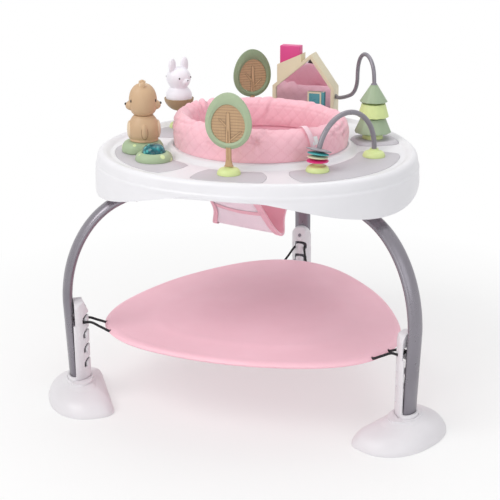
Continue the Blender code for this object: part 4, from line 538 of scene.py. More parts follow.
def smoothed(rows, closed=False, corner=42.0, steps=5, key=0):
    """More rows on smooth curves through the given rows of points; sharper corners stay as they are."""
    line = [row[min(key, len(row) - 1)] for row in rows]
    count = len(line)

    def turn_at(i):
        a = line[i] - line[i - 1]
        b = line[(i + 1) % count] - line[i]
        if a.length < 1e-9 or b.length < 1e-9:
            return 180.0
        return degrees(a.angle(b))

    sharp = {i for i in range(count) if (not closed and i in (0, count - 1)) or turn_at(i) > corner}
    order = list(range(count)) + ([0] if closed else [])
    wide = max(len(row) for row in rows)

    def full(i):
        row = rows[i % count]
        return row if len(row) == wide else [row[0]] * wide

    def tangent(i):
        """Slope of the curve at row i per unit of chord, or none at a corner."""
        if i in sharp:
            return None
        before, here, after = full(i - 1), full(i), full(i + 1)
        d0 = (line[i] - line[i - 1]).length
        d1 = (line[(i + 1) % count] - line[i]).length
        return [((h - b) / d0 * d1 + (a - h) / d1 * d0) / (d0 + d1) for b, h, a in zip(before, here, after)]

    out = [rows[order[0]]]
    for a, b in zip(order, order[1:]):
        chord = (line[b] - line[a]).length
        start, stop = full(a), full(b)
        ta, tb = tangent(a), tangent(b)
        if ta is None and tb is None:
            out.append(rows[b])
            continue
        flat = [(q - p) / chord for p, q in zip(start, stop)]
        ta = ta or [f * 1.5 - t * 0.5 for f, t in zip(flat, tb)]
        tb = tb or [f * 1.5 - t * 0.5 for f, t in zip(flat, ta)]
        for k in range(1, steps):
            s = k / steps
            h0, h1 = 2 * s ** 3 - 3 * s ** 2 + 1, s ** 3 - 2 * s ** 2 + s
            h2, h3 = 3 * s ** 2 - 2 * s ** 3, s ** 3 - s ** 2
            out.append([p * h0 + u * (h1 * chord) + q * h2 + v * (h3 * chord)
                        for p, q, u, v in zip(start, stop, ta, tb)])
        out.append(rows[b])
    if closed:
        out.pop()
    return out


def smooth_outline(outline, corner=60.0, steps=5):
    """A closed plan of (u, v) pairs with more points on its curves."""
    rows = smoothed([[Vector((u, v, 0))] for u, v in outline], True, corner, steps)
    return [(row[0].x, row[0].y) for row in rows]


def turned(name, profile, sides, ring=False, smooth=SMOOTH_ANGLE):
    """A solid of revolution about Z from (radius, height) pairs; radius 0 is a tip."""
    if smooth and sides > ROUND_SIDES:
        rows = smoothed([[Vector((r, 0, z))] for r, z in profile], ring)
        profile = [(max(row[0].x, 0.0), row[0].z) for row in rows]
    rings = []
    for radius, height in profile:
        if radius < 1e-7:
            rings.append([Vector((0, 0, height))])
        else:
            angles = [2 * pi * i / sides for i in range(sides)]
            rings.append([Vector((radius * cos(angle), radius * sin(angle), height)) for angle in angles])
    return closed_mesh(name, *skin(rings, closed=ring), smooth=smooth)


def prism(name, outline, low, high, axes="XYZ", smooth=35.0):
    """An outline extruded from low to high. axes names where outline x, outline y and the depth go."""
    def place(u, v, w):
        value = dict(zip(axes, (u, v, w)))
        return Vector((value["X"], value["Y"], value["Z"]))
    rings = [[place(u, v, w) for u, v in outline] for w in (low, high)]
    return closed_mesh(name, *skin(rings), smooth=smooth)


def tube_mesh(name, points, radius, sides, across, closed=False, smooth=SMOOTH_ANGLE):
    """A round rod along points; across is a direction that the points never run along."""
    if smooth:
        points = [row[0] for row in smoothed([[p] for p in points], closed, 95.0, 4)]
    rings = []
    count = len(points)
    for i, point in enumerate(points):
        if closed:
            before, after = points[i - 1], points[(i + 1) % count]
        else:
            before, after = points[max(i - 1, 0)], points[min(i + 1, count - 1)]
        along = (after - before).normalized()
        side = along.cross(across).normalized()
        up = side.cross(along)
        rings.append([point + side * radius * cos(2 * pi * k / sides) + up * radius * sin(2 * pi * k / sides)
                      for k in range(sides)])
    return closed_mesh(name, *skin(rings, closed=closed), smooth=smooth)


# The branches of each tree: reach to the side, foot and tip, as shares of the panel's half width and height
BRANCHES = {"tree_front": ((-0.76, -0.93, -0.39), (0.50, -0.20, 0.21)),
            "tree_back": ((0.64, -0.72, -0.26), (-0.50, -0.37, 0.11))}


def rim_pull(angle, amount):
    """How much a three-lobed outline swells at an angle in degrees; the legs are its lobes."""
    return -amount * cos(3 * radians(angle - LEG_ANGLES["back"] - 180.0))


def skin(rings, closed=False):
    """A solid's points and faces through rings of points. A ring of one point is a tip."""
    points, starts, faces = [], [], []
    for ring in rings:
        starts.append(len(points))
        points.extend(ring)
    pairs = list(zip(range(len(rings)), range(1, len(rings))))
    if closed:
        pairs.append((len(rings) - 1, 0))
    for a, b in pairs:
        count = max(len(rings[a]), len(rings[b]))
        for i in range(count):
            j = (i + 1) % count
            if len(rings[a]) == 1:
                faces.append((starts[a], starts[b] + j, starts[b] + i))
            elif len(rings[b]) == 1:
                faces.append((starts[a] + i, starts[a] + j, starts[b]))
            else:
                faces.append((starts[a] + i, starts[a] + j, starts[b] + j, starts[b] + i))
    if not closed:
        for end in (0, len(rings) - 1):
            if len(rings[end]) > 1:
                faces.append(tuple(starts[end] + i for i in range(len(rings[end]))))
    return points, faces


def box(name, low, high):
    """A block between two corners."""
    outline = [(low[0], low[1]), (high[0], low[1]), (high[0], high[1]), (low[0], high[1])]
    return prism(name, outline, low[2], high[2], smooth=None)


def join_meshes(name, meshes):
    """Several separate closed meshes in one, for a cutter."""
    points, faces = [], []
    for mesh in meshes:
        start = len(points)
        points.extend(v.co.copy() for v in mesh.vertices)
        faces.extend(tuple(start + i for i in f.vertices) for f in mesh.polygons)
    return closed_mesh(name, points, faces, smooth=None)


def polar(radius, angle, height=0.0):
    """A point round the seat's axis; the angle is in degrees."""
    return Vector((radius * cos(radians(angle)), AXIS_Y + radius * sin(radians(angle)), height))


def oval(long_x, long_y, sides, square=1.0):
    """An oval outline; square below 1 fills its corners."""
    out = []
    for i in range(sides):
        c, s = cos(2 * pi * i / sides), sin(2 * pi * i / sides)
        out.append((long_x * (abs(c) ** square) * (1 if c >= 0 else -1),
                    long_y * (abs(s) ** square) * (1 if s >= 0 else -1)))
    return out


def empty(name, place, turn):
    """A mark that pieces hang from."""
    mark = bpy.data.objects.new(name, None)
    bpy.context.scene.collection.objects.link(mark)
    mark.location = place
    mark.rotation_euler = (0, 0, turn)
    return mark


def station(name, radius, angle):
    """An empty on the tray, its Y axis pointing away from the seat."""
    return empty(name, polar(radius, angle), radians(angle - 90.0))


def leg_line():
    """The tube's centre line in its own plane, (radius, height) from the foot up."""
    line = [(TUBE_FOOT_R, TUBE_END_Z), (LEG_R, BEND_Z)]
    for i in range(1, BEND_STATIONS + 1):
        turn = radians(BEND_STOP * i / BEND_STATIONS)
        line.append((LEG_R - BEND_REACH * (1 - cos(turn)), BEND_Z + BEND_RISE * sin(turn)))
    r, z = line[-1]
    turn = radians(BEND_STOP)
    climb = BEND_RISE * cos(turn) / (BEND_REACH * sin(turn))
    line.append((TUBE_IN_R, z + (r - TUBE_IN_R) * climb))
    return line


def leg_tube_rings(grow, line):
    """Oval rings square to the line, grown outwards by grow."""
    rings = []
    for i, (r, z) in enumerate(line):
        r0, z0 = line[max(i - 1, 0)]
        r1, z1 = line[min(i + 1, len(line) - 1)]
        run = hypot(r1 - r0, z1 - z0)
        side_r, side_z = (z1 - z0) / run, -(r1 - r0) / run
        rings.append([Vector((r + side_r * u, v, z + side_z * u))
                      for u, v in oval(TUBE_RADIAL / 2 + grow, TUBE_WIDE / 2 + grow, TUBE_SIDES)])
    return rings


def leg_tube_mesh():
    """A bent oval tube, open at its upper end and closed by a rounded lower end."""
    line = leg_line()
    outer = leg_tube_rings(0.0, line)
    inner = leg_tube_rings(-TUBE_WALL, line)

    def end_ring(ring, scale, drop):
        return [Vector((TUBE_FOOT_R + (p.x - TUBE_FOOT_R) * scale, p.y * scale, TUBE_END_Z - drop))
                for p in ring]

    rings = [[Vector((TUBE_FOOT_R, 0, TUBE_END_Z - TUBE_NOSE))], end_ring(outer[0], 0.62, TUBE_NOSE * 0.91)]
    rings += [end_ring(outer[0], 0.90, TUBE_NOSE * 0.56)] + outer + inner[::-1]
    rings += [end_ring(inner[0], 0.72, TUBE_NOSE * 0.5),
              [Vector((TUBE_FOOT_R, 0, TUBE_END_Z - TUBE_NOSE * 0.6))]]
    return closed_mesh("leg_tube", *skin(rings))


def tube_channel(name, line, turn):
    """Cutter for the tube's room in a neighbour."""
    mesh = closed_mesh(name, *skin(leg_tube_rings(GAP, line)), smooth=None)
    return cutter(name, mesh, None, (0, AXIS_Y, 0), turn)


def arch_outline(half, low, top, arcs=28):
    """An upright outline with a half-round top: (across, height)."""
    out = [(-half, low), (half, low)]
    for i in range(arcs + 1):
        turn = pi * i / arcs
        out.append((half * cos(turn), top - half + half * sin(turn)))
    return out


def hook_slot_outline(top, arcs=12):
    """The inverted U round one hook, in the casing's face: (across, height)."""
    half = HOOK_WIDE / 2
    low = top - HOOK_TALL
    outer = half + SLOT_WIDE
    round_in = half * HOOK_ROUND
    round_out = outer * HOOK_ROUND
    out = [(-outer, low), (-half, low)]
    for i in range(arcs + 1):
        turn = pi - pi * i / arcs
        out.append((half * cos(turn), top - round_in + round_in * sin(turn)))
    out += [(half, low), (outer, low)]
    for i in range(arcs + 1):
        turn = pi * i / arcs
        out.append((outer * cos(turn), top + SLOT_WIDE - round_out + round_out * sin(turn)))
    return out


def casing_plan(side_r, inset=0.0, sleeve=False):
    """Plan of a casing, (radius, across): the convex face, then straight sides, or a sleeve's round back."""
    half = CASING_HALF - inset
    shares = [k / 12 - 1.0 for k in range(25)]
    out = [(CASING_FACE_R + inset + CASING_BULGE * abs(s) ** CASING_ROUND, half * s) for s in shares]
    if not sleeve:
        return out + [(side_r, half), (side_r, -half)]
    back = CASING_BACK_R - side_r - inset
    for i in range(13):
        turn = pi / 2 - pi * i / 12
        out.append((side_r + back * cos(turn), half * sin(turn)))
    return out


def make_casing(name, turn, paint):
    """The white clip-on casing: a channel with four hooks in its face, closed round the tube at its foot."""
    place = (0, AXIS_Y, 0)
    wide = CASING_HALF + CUT_OVER
    channel = prism(name, casing_plan(CASING_SIDE_LOW), TUBE_END_Z, CASING_TOP)
    casing = add_object(name, channel, paint, None, place, turn)

    def cut(tag, mesh, operation="DIFFERENCE"):
        combine(casing, cutter(tag + name, mesh, None, place, turn), operation)

    arch = arch_outline(CASING_HALF + GAP, TUBE_END_Z - CUT_OVER, CASING_TOP)
    cut("keep_arch_", prism("keep_arch", arch, CASING_FACE_R - CUT_OVER, CASING_BACK_R + CUT_OVER, "YZX",
                            smooth=None), "INTERSECT")
    step = box("cut_step", (CASING_SIDE_HIGH, -wide, CASING_STEP_Z),
               (CASING_BACK_R, wide, CASING_TOP + CUT_OVER))
    cut("cut_step_", step)
    sleeve = prism("join_sleeve", casing_plan(CASING_SLEEVE_R, GAP, True), CASING_BOTTOM,
                   TUBE_END_Z + 0.004)
    cut("join_sleeve_", sleeve, "UNION")

    slope = [(CASING_FACE_R - CUT_OVER, CASING_ROOF_Z), (CASING_FACE_R, CASING_ROOF_Z),
             (CASING_SLOPE_R, CASING_TOP + GAP), (CASING_SLOPE_R, CASING_TOP + CUT_OVER),
             (CASING_FACE_R - CUT_OVER, CASING_TOP + CUT_OVER)]
    cut("cut_slope_", prism("cut_slope", slope, -wide, wide, "XZY", smooth=None))

    line = [p for p in leg_line() if p[1] < CASING_TOP + 0.06]
    r, z = line[0]
    line[0] = (r, z - TUBE_NOSE - GAP)
    combine(casing, tube_channel("cut_channel_" + name, line, turn))
    room = prism("cut_room", casing_plan(CASING_BACK_R + CUT_OVER, CASING_WALL),
                 CASING_FLOOR_Z, CASING_ROOF_Z, smooth=None)
    cut("cut_room_", room)

    slots = [prism("slot", hook_slot_outline(HOOK_TOP_Z - HOOK_PITCH * i), CASING_FACE_R - CUT_OVER,
                   CASING_SIDE_HIGH, "YZX", smooth=None) for i in range(HOOK_COUNT)]
    cut("cut_hooks_", join_meshes("cut_hooks", slots))

    share = (SCREW_Z - CASING_ROOF_Z) / (CASING_TOP + GAP - CASING_ROOF_Z)
    slope_r = CASING_FACE_R + (CASING_SLOPE_R - CASING_FACE_R) * share
    lean = SCREW_SEAT_R * (CASING_SLOPE_R - CASING_FACE_R) / (CASING_TOP - CASING_ROOF_Z)
    disc = [(SCREW_SEAT_R * cos(2 * pi * k / 32), SCREW_Z + SCREW_SEAT_R * sin(2 * pi * k / 32))
            for k in range(32)]
    cut("cut_screw_", prism("cut_screw", disc, slope_r - CUT_OVER, slope_r + lean + SCREW_SEAT_DEEP, "YZX",
                            smooth=None))


def platform_ring(scale, height):
    """The platform's rounded triangle, scaled towards its middle."""
    ring = []
    for i in range(PLATFORM_SIDES):
        angle = 360.0 * i / PLATFORM_SIDES
        off = radians(angle - LEG_ANGLES["back"])
        radius = scale * (PLATFORM_R + PLATFORM_CORNER * cos(3 * off) + PLATFORM_SHARP * cos(6 * off))
        ring.append(Vector((radius * cos(radians(angle)), radius * sin(radians(angle)), height)))
    return ring


def loop_route():
    """A loop's own points, (radius, across, height): round a hook and through the platform's corner."""
    hook_z = HOOK_TOP_Z - HOOK_TALL + CORD_R + GAP
    bulge = CASING_BULGE * (HOOK_WIDE / 2 / (CASING_HALF - CASING_WALL)) ** CASING_ROUND
    behind = CASING_FACE_R + CASING_WALL + bulge + CORD_R
    slot = (HOOK_WIDE + SLOT_WIDE) / 2
    half = [(behind + 0.0016, slot * 0.5, hook_z), (behind + 0.0010, slot * 0.80, hook_z),
            (behind - 0.0012, slot, hook_z), (CASING_FACE_R + 0.0060, slot + 0.0002, hook_z),
            (CASING_FACE_R + 0.0005, slot + 0.0006, hook_z),
            (PLATFORM_TIP + 0.0115, STRAND_SPREAD * 0.768, PLATFORM_Z + 0.0100),
            (PLATFORM_TIP - 0.0095, STRAND_SPREAD, PLATFORM_Z),
            (PLATFORM_TIP - 0.0205, STRAND_SPREAD * 0.84, PLATFORM_Z),
            (PLATFORM_TIP - 0.0255, STRAND_SPREAD * 0.45, PLATFORM_Z)]
    return [Vector(p) for p in half + [(r, -y, z) for r, y, z in half[::-1]]]


def tray_ring(radius, lobe, height, wave=0.0):
    """One ring of the tray, drawn in by its lobes and lowered by its wave."""
    ring = []
    for i in range(TRAY_SEGMENTS):
        angle = 360.0 * i / TRAY_SEGMENTS + TRAY_TURN
        r = radius + rim_pull(angle, lobe)
        ring.append(Vector((r * cos(radians(angle)), r * sin(radians(angle)),
                            height - rim_pull(angle, wave))))
    return ring


def pad_outline(start, stop, inner=None, corner=PAD_CORNER, grow=0.0):
    """Plan of a pad between two angles, with round corners, in the tray's axes."""
    inner = (inner or PAD_INNER_R) - grow
    points = []

    def edge(angle):
        return RIM_R - PAD_RIM_GAP + rim_pull(angle, RIM_LOBE) + grow

    spread_out = degrees(grow / edge((start + stop) / 2))
    spread_in = degrees(grow / inner)
    lo, hi = start - spread_out, stop + spread_out
    bend_out = degrees(corner / edge(lo))
    bend_in = degrees(corner * 0.6 / inner)

    def at(radius, angle):
        return (radius * cos(radians(angle)), radius * sin(radians(angle)))

    outer_steps = max(3, round((stop - start) / 9))
    for k in range(3):
        t = radians(45.0 * k)
        points.append(at(edge(lo) - corner * (1 - sin(t)), lo + bend_out * (1 - cos(t))))
    for k in range(1, outer_steps):
        angle = lo + bend_out + (hi - lo - 2 * bend_out) * k / outer_steps
        points.append(at(edge(angle), angle))
    for k in range(3):
        t = radians(45.0 * (2 - k))
        points.append(at(edge(hi) - corner * (1 - sin(t)), hi - bend_out * (1 - cos(t))))
    lo, hi = start - spread_in, stop + spread_in
    small = corner * 0.6
    for k in range(3):
        t = radians(45.0 * k)
        points.append(at(inner + small * (1 - sin(t)), hi - bend_in * (1 - cos(t))))
    inner_steps = max(2, round((stop - start) / 12))
    for k in range(1, inner_steps):
        angle = hi - bend_in - (hi - lo - 2 * bend_in) * k / inner_steps
        points.append(at(inner, angle))
    for k in range(3):
        t = radians(45.0 * (2 - k))
        points.append(at(inner + small * (1 - sin(t)), lo + bend_in * (1 - cos(t))))
    return points


def house_place(x=0.0, y=0.0, z=0.0):
    """A point of the house in the world, from its own axes."""
    turn = radians(HOUSE_FACING + 90.0)
    return Vector((HOUSE_X + x * cos(turn) - y * sin(turn),
                   AXIS_Y + HOUSE_Y + x * sin(turn) + y * cos(turn), z))


def pedestal_outline(grow=0.0):
    """Plan of the pine's plate."""
    return [(u, v + PEDESTAL_OUT)
            for u, v in oval(PEDESTAL_WIDE / 2 + grow, PEDESTAL_RADIAL / 2 + grow, 72, 0.55)]


def strip_span(drop):
    """Middle and half length of the hanging strip, from its hem at 0 to its lowest at 1."""
    (m0, h0), (m1, h1), (m2, h2) = SLING_SPANS
    shares = ((1 - drop) * (1 - 2 * drop), 4 * drop * (1 - drop), drop * (2 * drop - 1))
    return (m0 * shares[0] + m1 * shares[1] + m2 * shares[2],
            h0 * shares[0] + h1 * shares[1] + h2 * shares[2])


def dome_profile(tall):
    """A low round dome with a spigot below it: (radius, height), up to the edge of its flat top."""
    out = [(0, -SPIGOT_LONG), (SPIGOT_R, -SPIGOT_LONG), (SPIGOT_R, 0)]
    for share, rise in ((1.0, 0.0), (0.96, 0.32), (0.80, 0.68)):
        out.append((DOME_R * share, tall * rise))
    return out + [(DOME_SEAT_R, tall - DOME_CONE)]


def make_dome(name, mark):
    """A lime dome that a toy stands or sways on."""
    lime = material("lime")
    mesh = turned(name, dome_profile(DOME_TALL) + [(0, DOME_TALL)], DOME_SIDES)
    return add_object(name, mesh, lime, mark, (0, 0, BASE_Z))


def egg_outline(half_wide, half_tall, middle, lean=0.10):
    """An egg, wider below its middle: (across, up)."""
    out = []
    for i in range(EGG_SIDES):
        t = 2 * pi * i / EGG_SIDES
        out.append((half_wide * cos(t) * (1 - lean * sin(t)), middle + half_tall * sin(t)))
    return out


def make_tree(name, at, lift=0.0, twist=0.0):
    """A flat tree: wooden trunk and panel inside a sage ring, on a lime dome that it sways on."""
    sage = material("sage")
    wood = material("wood")
    ground = station("station_" + name, *at)
    make_dome(name + "_base", ground)
    pivot = BASE_Z + DOME_TALL + GAP
    mark = station("stem_" + name, *at)
    mark.location.z = pivot
    mark.rotation_euler.z += radians(twist)
    crown = TREE_MIDDLE_Z + lift - pivot
    panel_w = TREE_WIDE / 2 - TREE_BORDER_SIDE
    panel_low = crown - TREE_TALL / 2 + TREE_BORDER_LOW
    panel_top = crown + TREE_TALL / 2 - TREE_BORDER_TOP
    panel_t = (panel_top - panel_low) / 2
    middle = panel_low + panel_t
    panel = prism(name + "_trunk", egg_outline(panel_w, panel_t, middle),
                  -PANEL_THICK / 2, PANEL_THICK / 2, "XZY", smooth=None)
    trunk = add_object(name + "_trunk", panel, wood, mark)
    post = [(-0.0085, 0), (0.0085, 0), (0.0062, 0.0035), (POST_HALF, 0.012), (POST_HALF, panel_low),
            (POST_HALF * 0.55, middle + panel_t * 0.50), (0.0, middle + panel_t * 0.62),
            (-POST_HALF * 0.55, middle + panel_t * 0.50), (-POST_HALF, panel_low), (-POST_HALF, 0.012),
            (-0.0062, 0.0035)]
    depth = PANEL_THICK / 2 + POST_PROUD
    combine(trunk, cutter("join_post_" + name, prism("join_post", post, -depth, depth, "XZY", smooth=None),
                          mark),
            "UNION")
    for i, (side, low, high) in enumerate(BRANCHES[name]):
        y0, y1 = middle + panel_t * low, middle + panel_t * high
        reach = panel_w * side
        side = 1 if side > 0 else -1
        branch = [(side * 0.0012, y0 - 0.002), (reach, y1 - 0.0009), (reach, y1 + 0.0009),
                  (side * 0.0012, y0 + 0.002)]
        mesh = prism("join_branch", branch, GAP - depth, depth - GAP, "XZY", smooth=None)
        combine(trunk, cutter("join_branch_%s_%d" % (name, i), mesh, mark), "UNION")

    half = TREE_THICK / 2
    rings = []
    for (iu, iv), (ou, ov) in zip(egg_outline(panel_w + GAP, panel_t + GAP, middle),
                                  egg_outline(TREE_WIDE / 2, TREE_TALL / 2, crown)):
        section = [(0.0, -half * 0.66), (0.38, -half), (1.0, -half * 0.40),
                   (1.0, half * 0.40), (0.38, half), (0.0, half * 0.66)]
        rings.append([Vector((iu + (ou - iu) * s, d, iv + (ov - iv) * s)) for s, d in section])
    leaf = add_object(name + "_leaf", closed_mesh(name + "_leaf", *skin(rings, closed=True)), sage, mark)
    wide = POST_HALF + BORE_SPARE * 1.8
    gate = [(-wide, 0.002), (wide, 0.002), (wide, middle), (-wide, middle)]
    cut = prism("cut_gate_" + name, gate, -depth - BORE_SPARE, depth + BORE_SPARE, "XZY", smooth=None)
    combine(leaf, cutter("cut_gate_" + name, cut, mark))


def ball(name, half, middle, sides=32, rows=20):
    """An ellipsoid for small rounded features."""
    rings = [[Vector((middle[0], middle[1], middle[2] - half[2]))]]
    for i in range(1, rows):
        t = pi * i / rows - pi / 2
        rings.append([Vector((middle[0] + half[0] * cos(t) * cos(2 * pi * k / sides),
                              middle[1] + half[1] * cos(t) * sin(2 * pi * k / sides),
                              middle[2] + half[2] * sin(t))) for k in range(sides)])
    rings.append([Vector((middle[0], middle[1], middle[2] + half[2]))])
    return closed_mesh(name, *skin(rings), smooth=60.0)


def make_bear():
    """A two-faced bear whose head and body turn on a green bush."""
    green = material("bush_green")
    tan = material("bear_tan")
    mark = station("station_bear", *BEAR_AT)
    rise = BEAR_RING_Z - GAP - BASE_Z
    sides = BUSH_WAVES * 20
    rings = []
    for scale, height in ((1.0, 0.0), (1.01, rise * 0.25), (0.98, rise * 0.55), (0.88, rise * 0.85),
                          (0.74, rise)):
        rings.append([Vector((u * scale * (1 + BUSH_WAVE * cos(BUSH_WAVES * 2 * pi * k / sides)),
                              BUSH_OUT + v * scale, BASE_Z + height))
                      for k, (u, v) in enumerate(oval(BUSH_WIDE, BUSH_RADIAL, sides, 0.85))])
    bush = add_object("bush_base", closed_mesh("bush_base", *skin(rings)), green, mark)
    low, top = BASE_Z - SPIGOT_LONG, BASE_Z + BUSH_HUB
    profile = [(0, low), (SPIGOT_R, low), (SPIGOT_R, top), (0, top)]
    combine(bush, cutter("join_bush", turned("join_bush", profile, SPIGOT_SIDES), mark), "UNION")
    wide = LIGHT_R + PAD_SPARE
    low, top = BASE_Z - CUT_OVER, BASE_Z + LIGHT_BITE_TALL
    profile = [(0, low), (wide, low), (wide, top), (0, top)]
    combine(bush, cutter("cut_bush_light", turned("cut_bush_light", profile, 64, smooth=None),
                         station("light_bite", *LIGHT_AT)))

    tall = BEAR_NECK_Z - BEAR_RING_Z
    wide = BEAR_BODY_R
    profile = [(0, 0), (BEAR_FOOT_R, 0), (BEAR_FOOT_R + 0.0005, 0.0020), (BEAR_FOOT_R - 0.0010, 0.0042),
               (wide * 0.965, tall * 0.22), (wide, tall * 0.40), (wide * 0.98, tall * 0.56),
               (wide * 0.88, tall * 0.74), (wide * 0.70, tall * 0.92),
               (0.0180, tall - GAP), (0, tall - GAP)]
    body = add_object("bear_body", turned("bear_body", profile, BEAR_SIDES), tan, mark, (0, 0, BEAR_RING_Z))
    head_tall = BEAR_HEAD_TOP - BEAR_NECK_Z
    wide = BEAR_HEAD_R
    profile = [(0, 0), (BEAR_NECK_R, 0), (wide * 0.84, head_tall * 0.09), (wide * 0.975, head_tall * 0.26),
               (wide, head_tall * 0.44), (wide * 0.955, head_tall * 0.63), (wide * 0.79, head_tall * 0.81),
               (wide * 0.48, head_tall * 0.95), (0, head_tall)]
    head = add_object("bear_head", turned("bear_head", profile, BEAR_SIDES), tan, mark, (0, 0, BEAR_NECK_Z))
    for i, side in enumerate((-1, 1)):
        arm = ball("join_arm", (0.0050, 0.0058, 0.0125), (side * (BEAR_BODY_R - 0.0020), 0.0, tall * 0.46))
        combine(body, cutter("join_arm_%d" % i, arm, mark, (0, 0, BEAR_RING_Z)), "UNION")
        muzzle = ball("join_muzzle", (0.0112, 0.0105, 0.0092),
                      (0, side * (wide - 0.0035), head_tall * 0.30))
        combine(head, cutter("join_muzzle_%d" % i, muzzle, mark, (0, 0, BEAR_NECK_Z)), "UNION")
        ear = ball("join_ear", (0.0042, 0.0060, 0.0068),
                   (side * wide * BEAR_EAR_AT, 0, head_tall * BEAR_EAR_RISE))
        combine(head, cutter("join_ear_%d" % i, ear, mark, (0, 0, BEAR_NECK_Z)), "UNION")


def make_light():
    """A green mound with a teal lens that is pressed to light it."""
    green = material("bush_green")
    teal = material("lens_teal")
    mark = station("station_light", *LIGHT_AT)
    tall = LIGHT_TOP - BASE_Z
    well = LENS_R + BORE_SPARE
    profile = [(0, -SPIGOT_LONG), (SPIGOT_R, -SPIGOT_LONG), (SPIGOT_R, 0),
               (LIGHT_R, 0), (LIGHT_R, tall * 0.25), (LIGHT_R * 0.94, tall * 0.62),
               (LIGHT_R * 0.80, tall * 0.92), (well + 0.0020, tall), (well, tall - GAP),
               (well, LENS_SLOT), (0, LENS_SLOT)]
    add_object("light_base", turned("light_base", profile, 64), green, mark, (0, 0, BASE_Z))
    low = BASE_Z + LENS_SLOT + LENS_TRAVEL + GAP
    up = LIGHT_TOP - low
    profile = [(0, 0), (LENS_R, 0), (LENS_R, up), (LENS_R * 0.95, up + LENS_TALL * 0.35),
               (LENS_R * 0.78, up + LENS_TALL * 0.70), (LENS_R * 0.45, up + LENS_TALL * 0.94),
               (0, up + LENS_TALL)]
    add_object("light_button", turned("light_button", profile, 64), teal, mark, (0, 0, low))


def make_bunny():
    """A bunny that turns in a brown cup, on a stem that sways on a lime dome."""
    brown = material("cup_brown")
    white = material("bunny_white")
    mark = station("station_bunny", *BUNNY_AT)
    make_dome("bunny_base", mark)
    pivot = BASE_Z + DOME_TALL + GAP
    low, top = BUNNY_CUP_LOW - pivot, BUNNY_CUP_TOP - pivot
    well = CUP_R - CUP_LIP
    profile = [(0, 0), (STEM_R + 0.0035, 0), (STEM_R, 0.0028), (STEM_R, low), (CUP_R * 0.42, low + 0.0022),
               (CUP_R * 0.74, low + (top - low) * 0.36), (CUP_R * 0.93, low + (top - low) * 0.68),
               (CUP_R, top), (well, top),
               (well * CUP_FLOOR, top - BUNNY_SEAT_DEEP), (0, top - BUNNY_SEAT_DEEP)]
    add_object("bunny_cup", turned("bunny_cup", profile, 64), brown, mark, (0, 0, pivot))

    base = BUNNY_CUP_TOP - BUNNY_SEAT_DEEP + GAP
    neck = BUNNY_NECK_Z - base
    body_r = well * CUP_FLOOR - BORE_SPARE
    head_mid = (BUNNY_NECK_Z + BUNNY_HEAD_TOP) / 2 - base - BUNNY_HEAD_SUNK
    head_half = (BUNNY_HEAD_TOP - BUNNY_NECK_Z) / 2 + 0.0016
    profile = [(0, 0), (body_r, 0), (body_r, BUNNY_SEAT_DEEP), (body_r * 0.99, neck * 0.42),
               (body_r * 0.91, neck * 0.68), (body_r * 0.76, neck * 0.88), (BUNNY_NECK_R, neck)]
    for k in range(1, 6):
        t = radians(-46 + 136.0 * k / 6)
        profile.append((BUNNY_HEAD_R * cos(t), head_mid + head_half * sin(t)))
    profile.append((0, head_mid + head_half))
    figure = add_object("bunny_figure", turned("bunny_figure", profile, BEAR_SIDES), white, mark,
                        (0, 0, base))
    ear_mid = (BUNNY_HEAD_TOP + BUNNY_EARS_TOP) / 2 - base - 0.0065
    ear_half = (BUNNY_EARS_TOP - base) - ear_mid
    for i, side in enumerate((-1, 1)):
        ear = ball("join_bunny_ear", (0.0095, 0.0055, ear_half), (side * BUNNY_EAR_X, 0, ear_mid))
        combine(figure, cutter("join_bunny_ear_%d" % i, ear, mark, (0, 0, base)), "UNION")
        muzzle = ball("join_bunny_muzzle", (0.0100, 0.0095, 0.0078),
                      (0, side * (BUNNY_HEAD_R - 0.0052), head_mid - 0.0060))
        combine(figure, cutter("join_bunny_muzzle_%d" % i, muzzle, mark, (0, 0, base)), "UNION")


def house_outline(inset):
    """The house's five-sided front, drawn in by inset: (across, height)."""
    def crossing(a, b):
        (p, d), (q, e) = a, b
        cross = d[0] * e[1] - d[1] * e[0]
        t = ((q[0] - p[0]) * e[1] - (q[1] - p[1]) * e[0]) / cross
        return (p[0] + d[0] * t, p[1] + d[1] * t)

    corners = [(HOUSE_LEFT, BASE_Z), (HOUSE_RIGHT, BASE_Z), (HOUSE_RIGHT, HOUSE_EAVE),
               (HOUSE_PEAK_X, HOUSE_PEAK),
               (HOUSE_LEFT, HOUSE_EAVE)]
    edges = []
    for i, a in enumerate(corners):
        b = corners[(i + 1) % 5]
        run = hypot(b[0] - a[0], b[1] - a[1])
        d = ((b[0] - a[0]) / run, (b[1] - a[1]) / run)
        edges.append(((a[0] - d[1] * inset, a[1] + d[0] * inset), d))
    return [crossing(edges[i - 1], edges[i]) for i in range(5)]


def roof_height(x, lift):
    """Height above the left roof slope at x."""
    share = (x - HOUSE_LEFT) / (HOUSE_PEAK_X - HOUSE_LEFT)
    return HOUSE_EAVE + (HOUSE_PEAK - HOUSE_EAVE) * share + lift


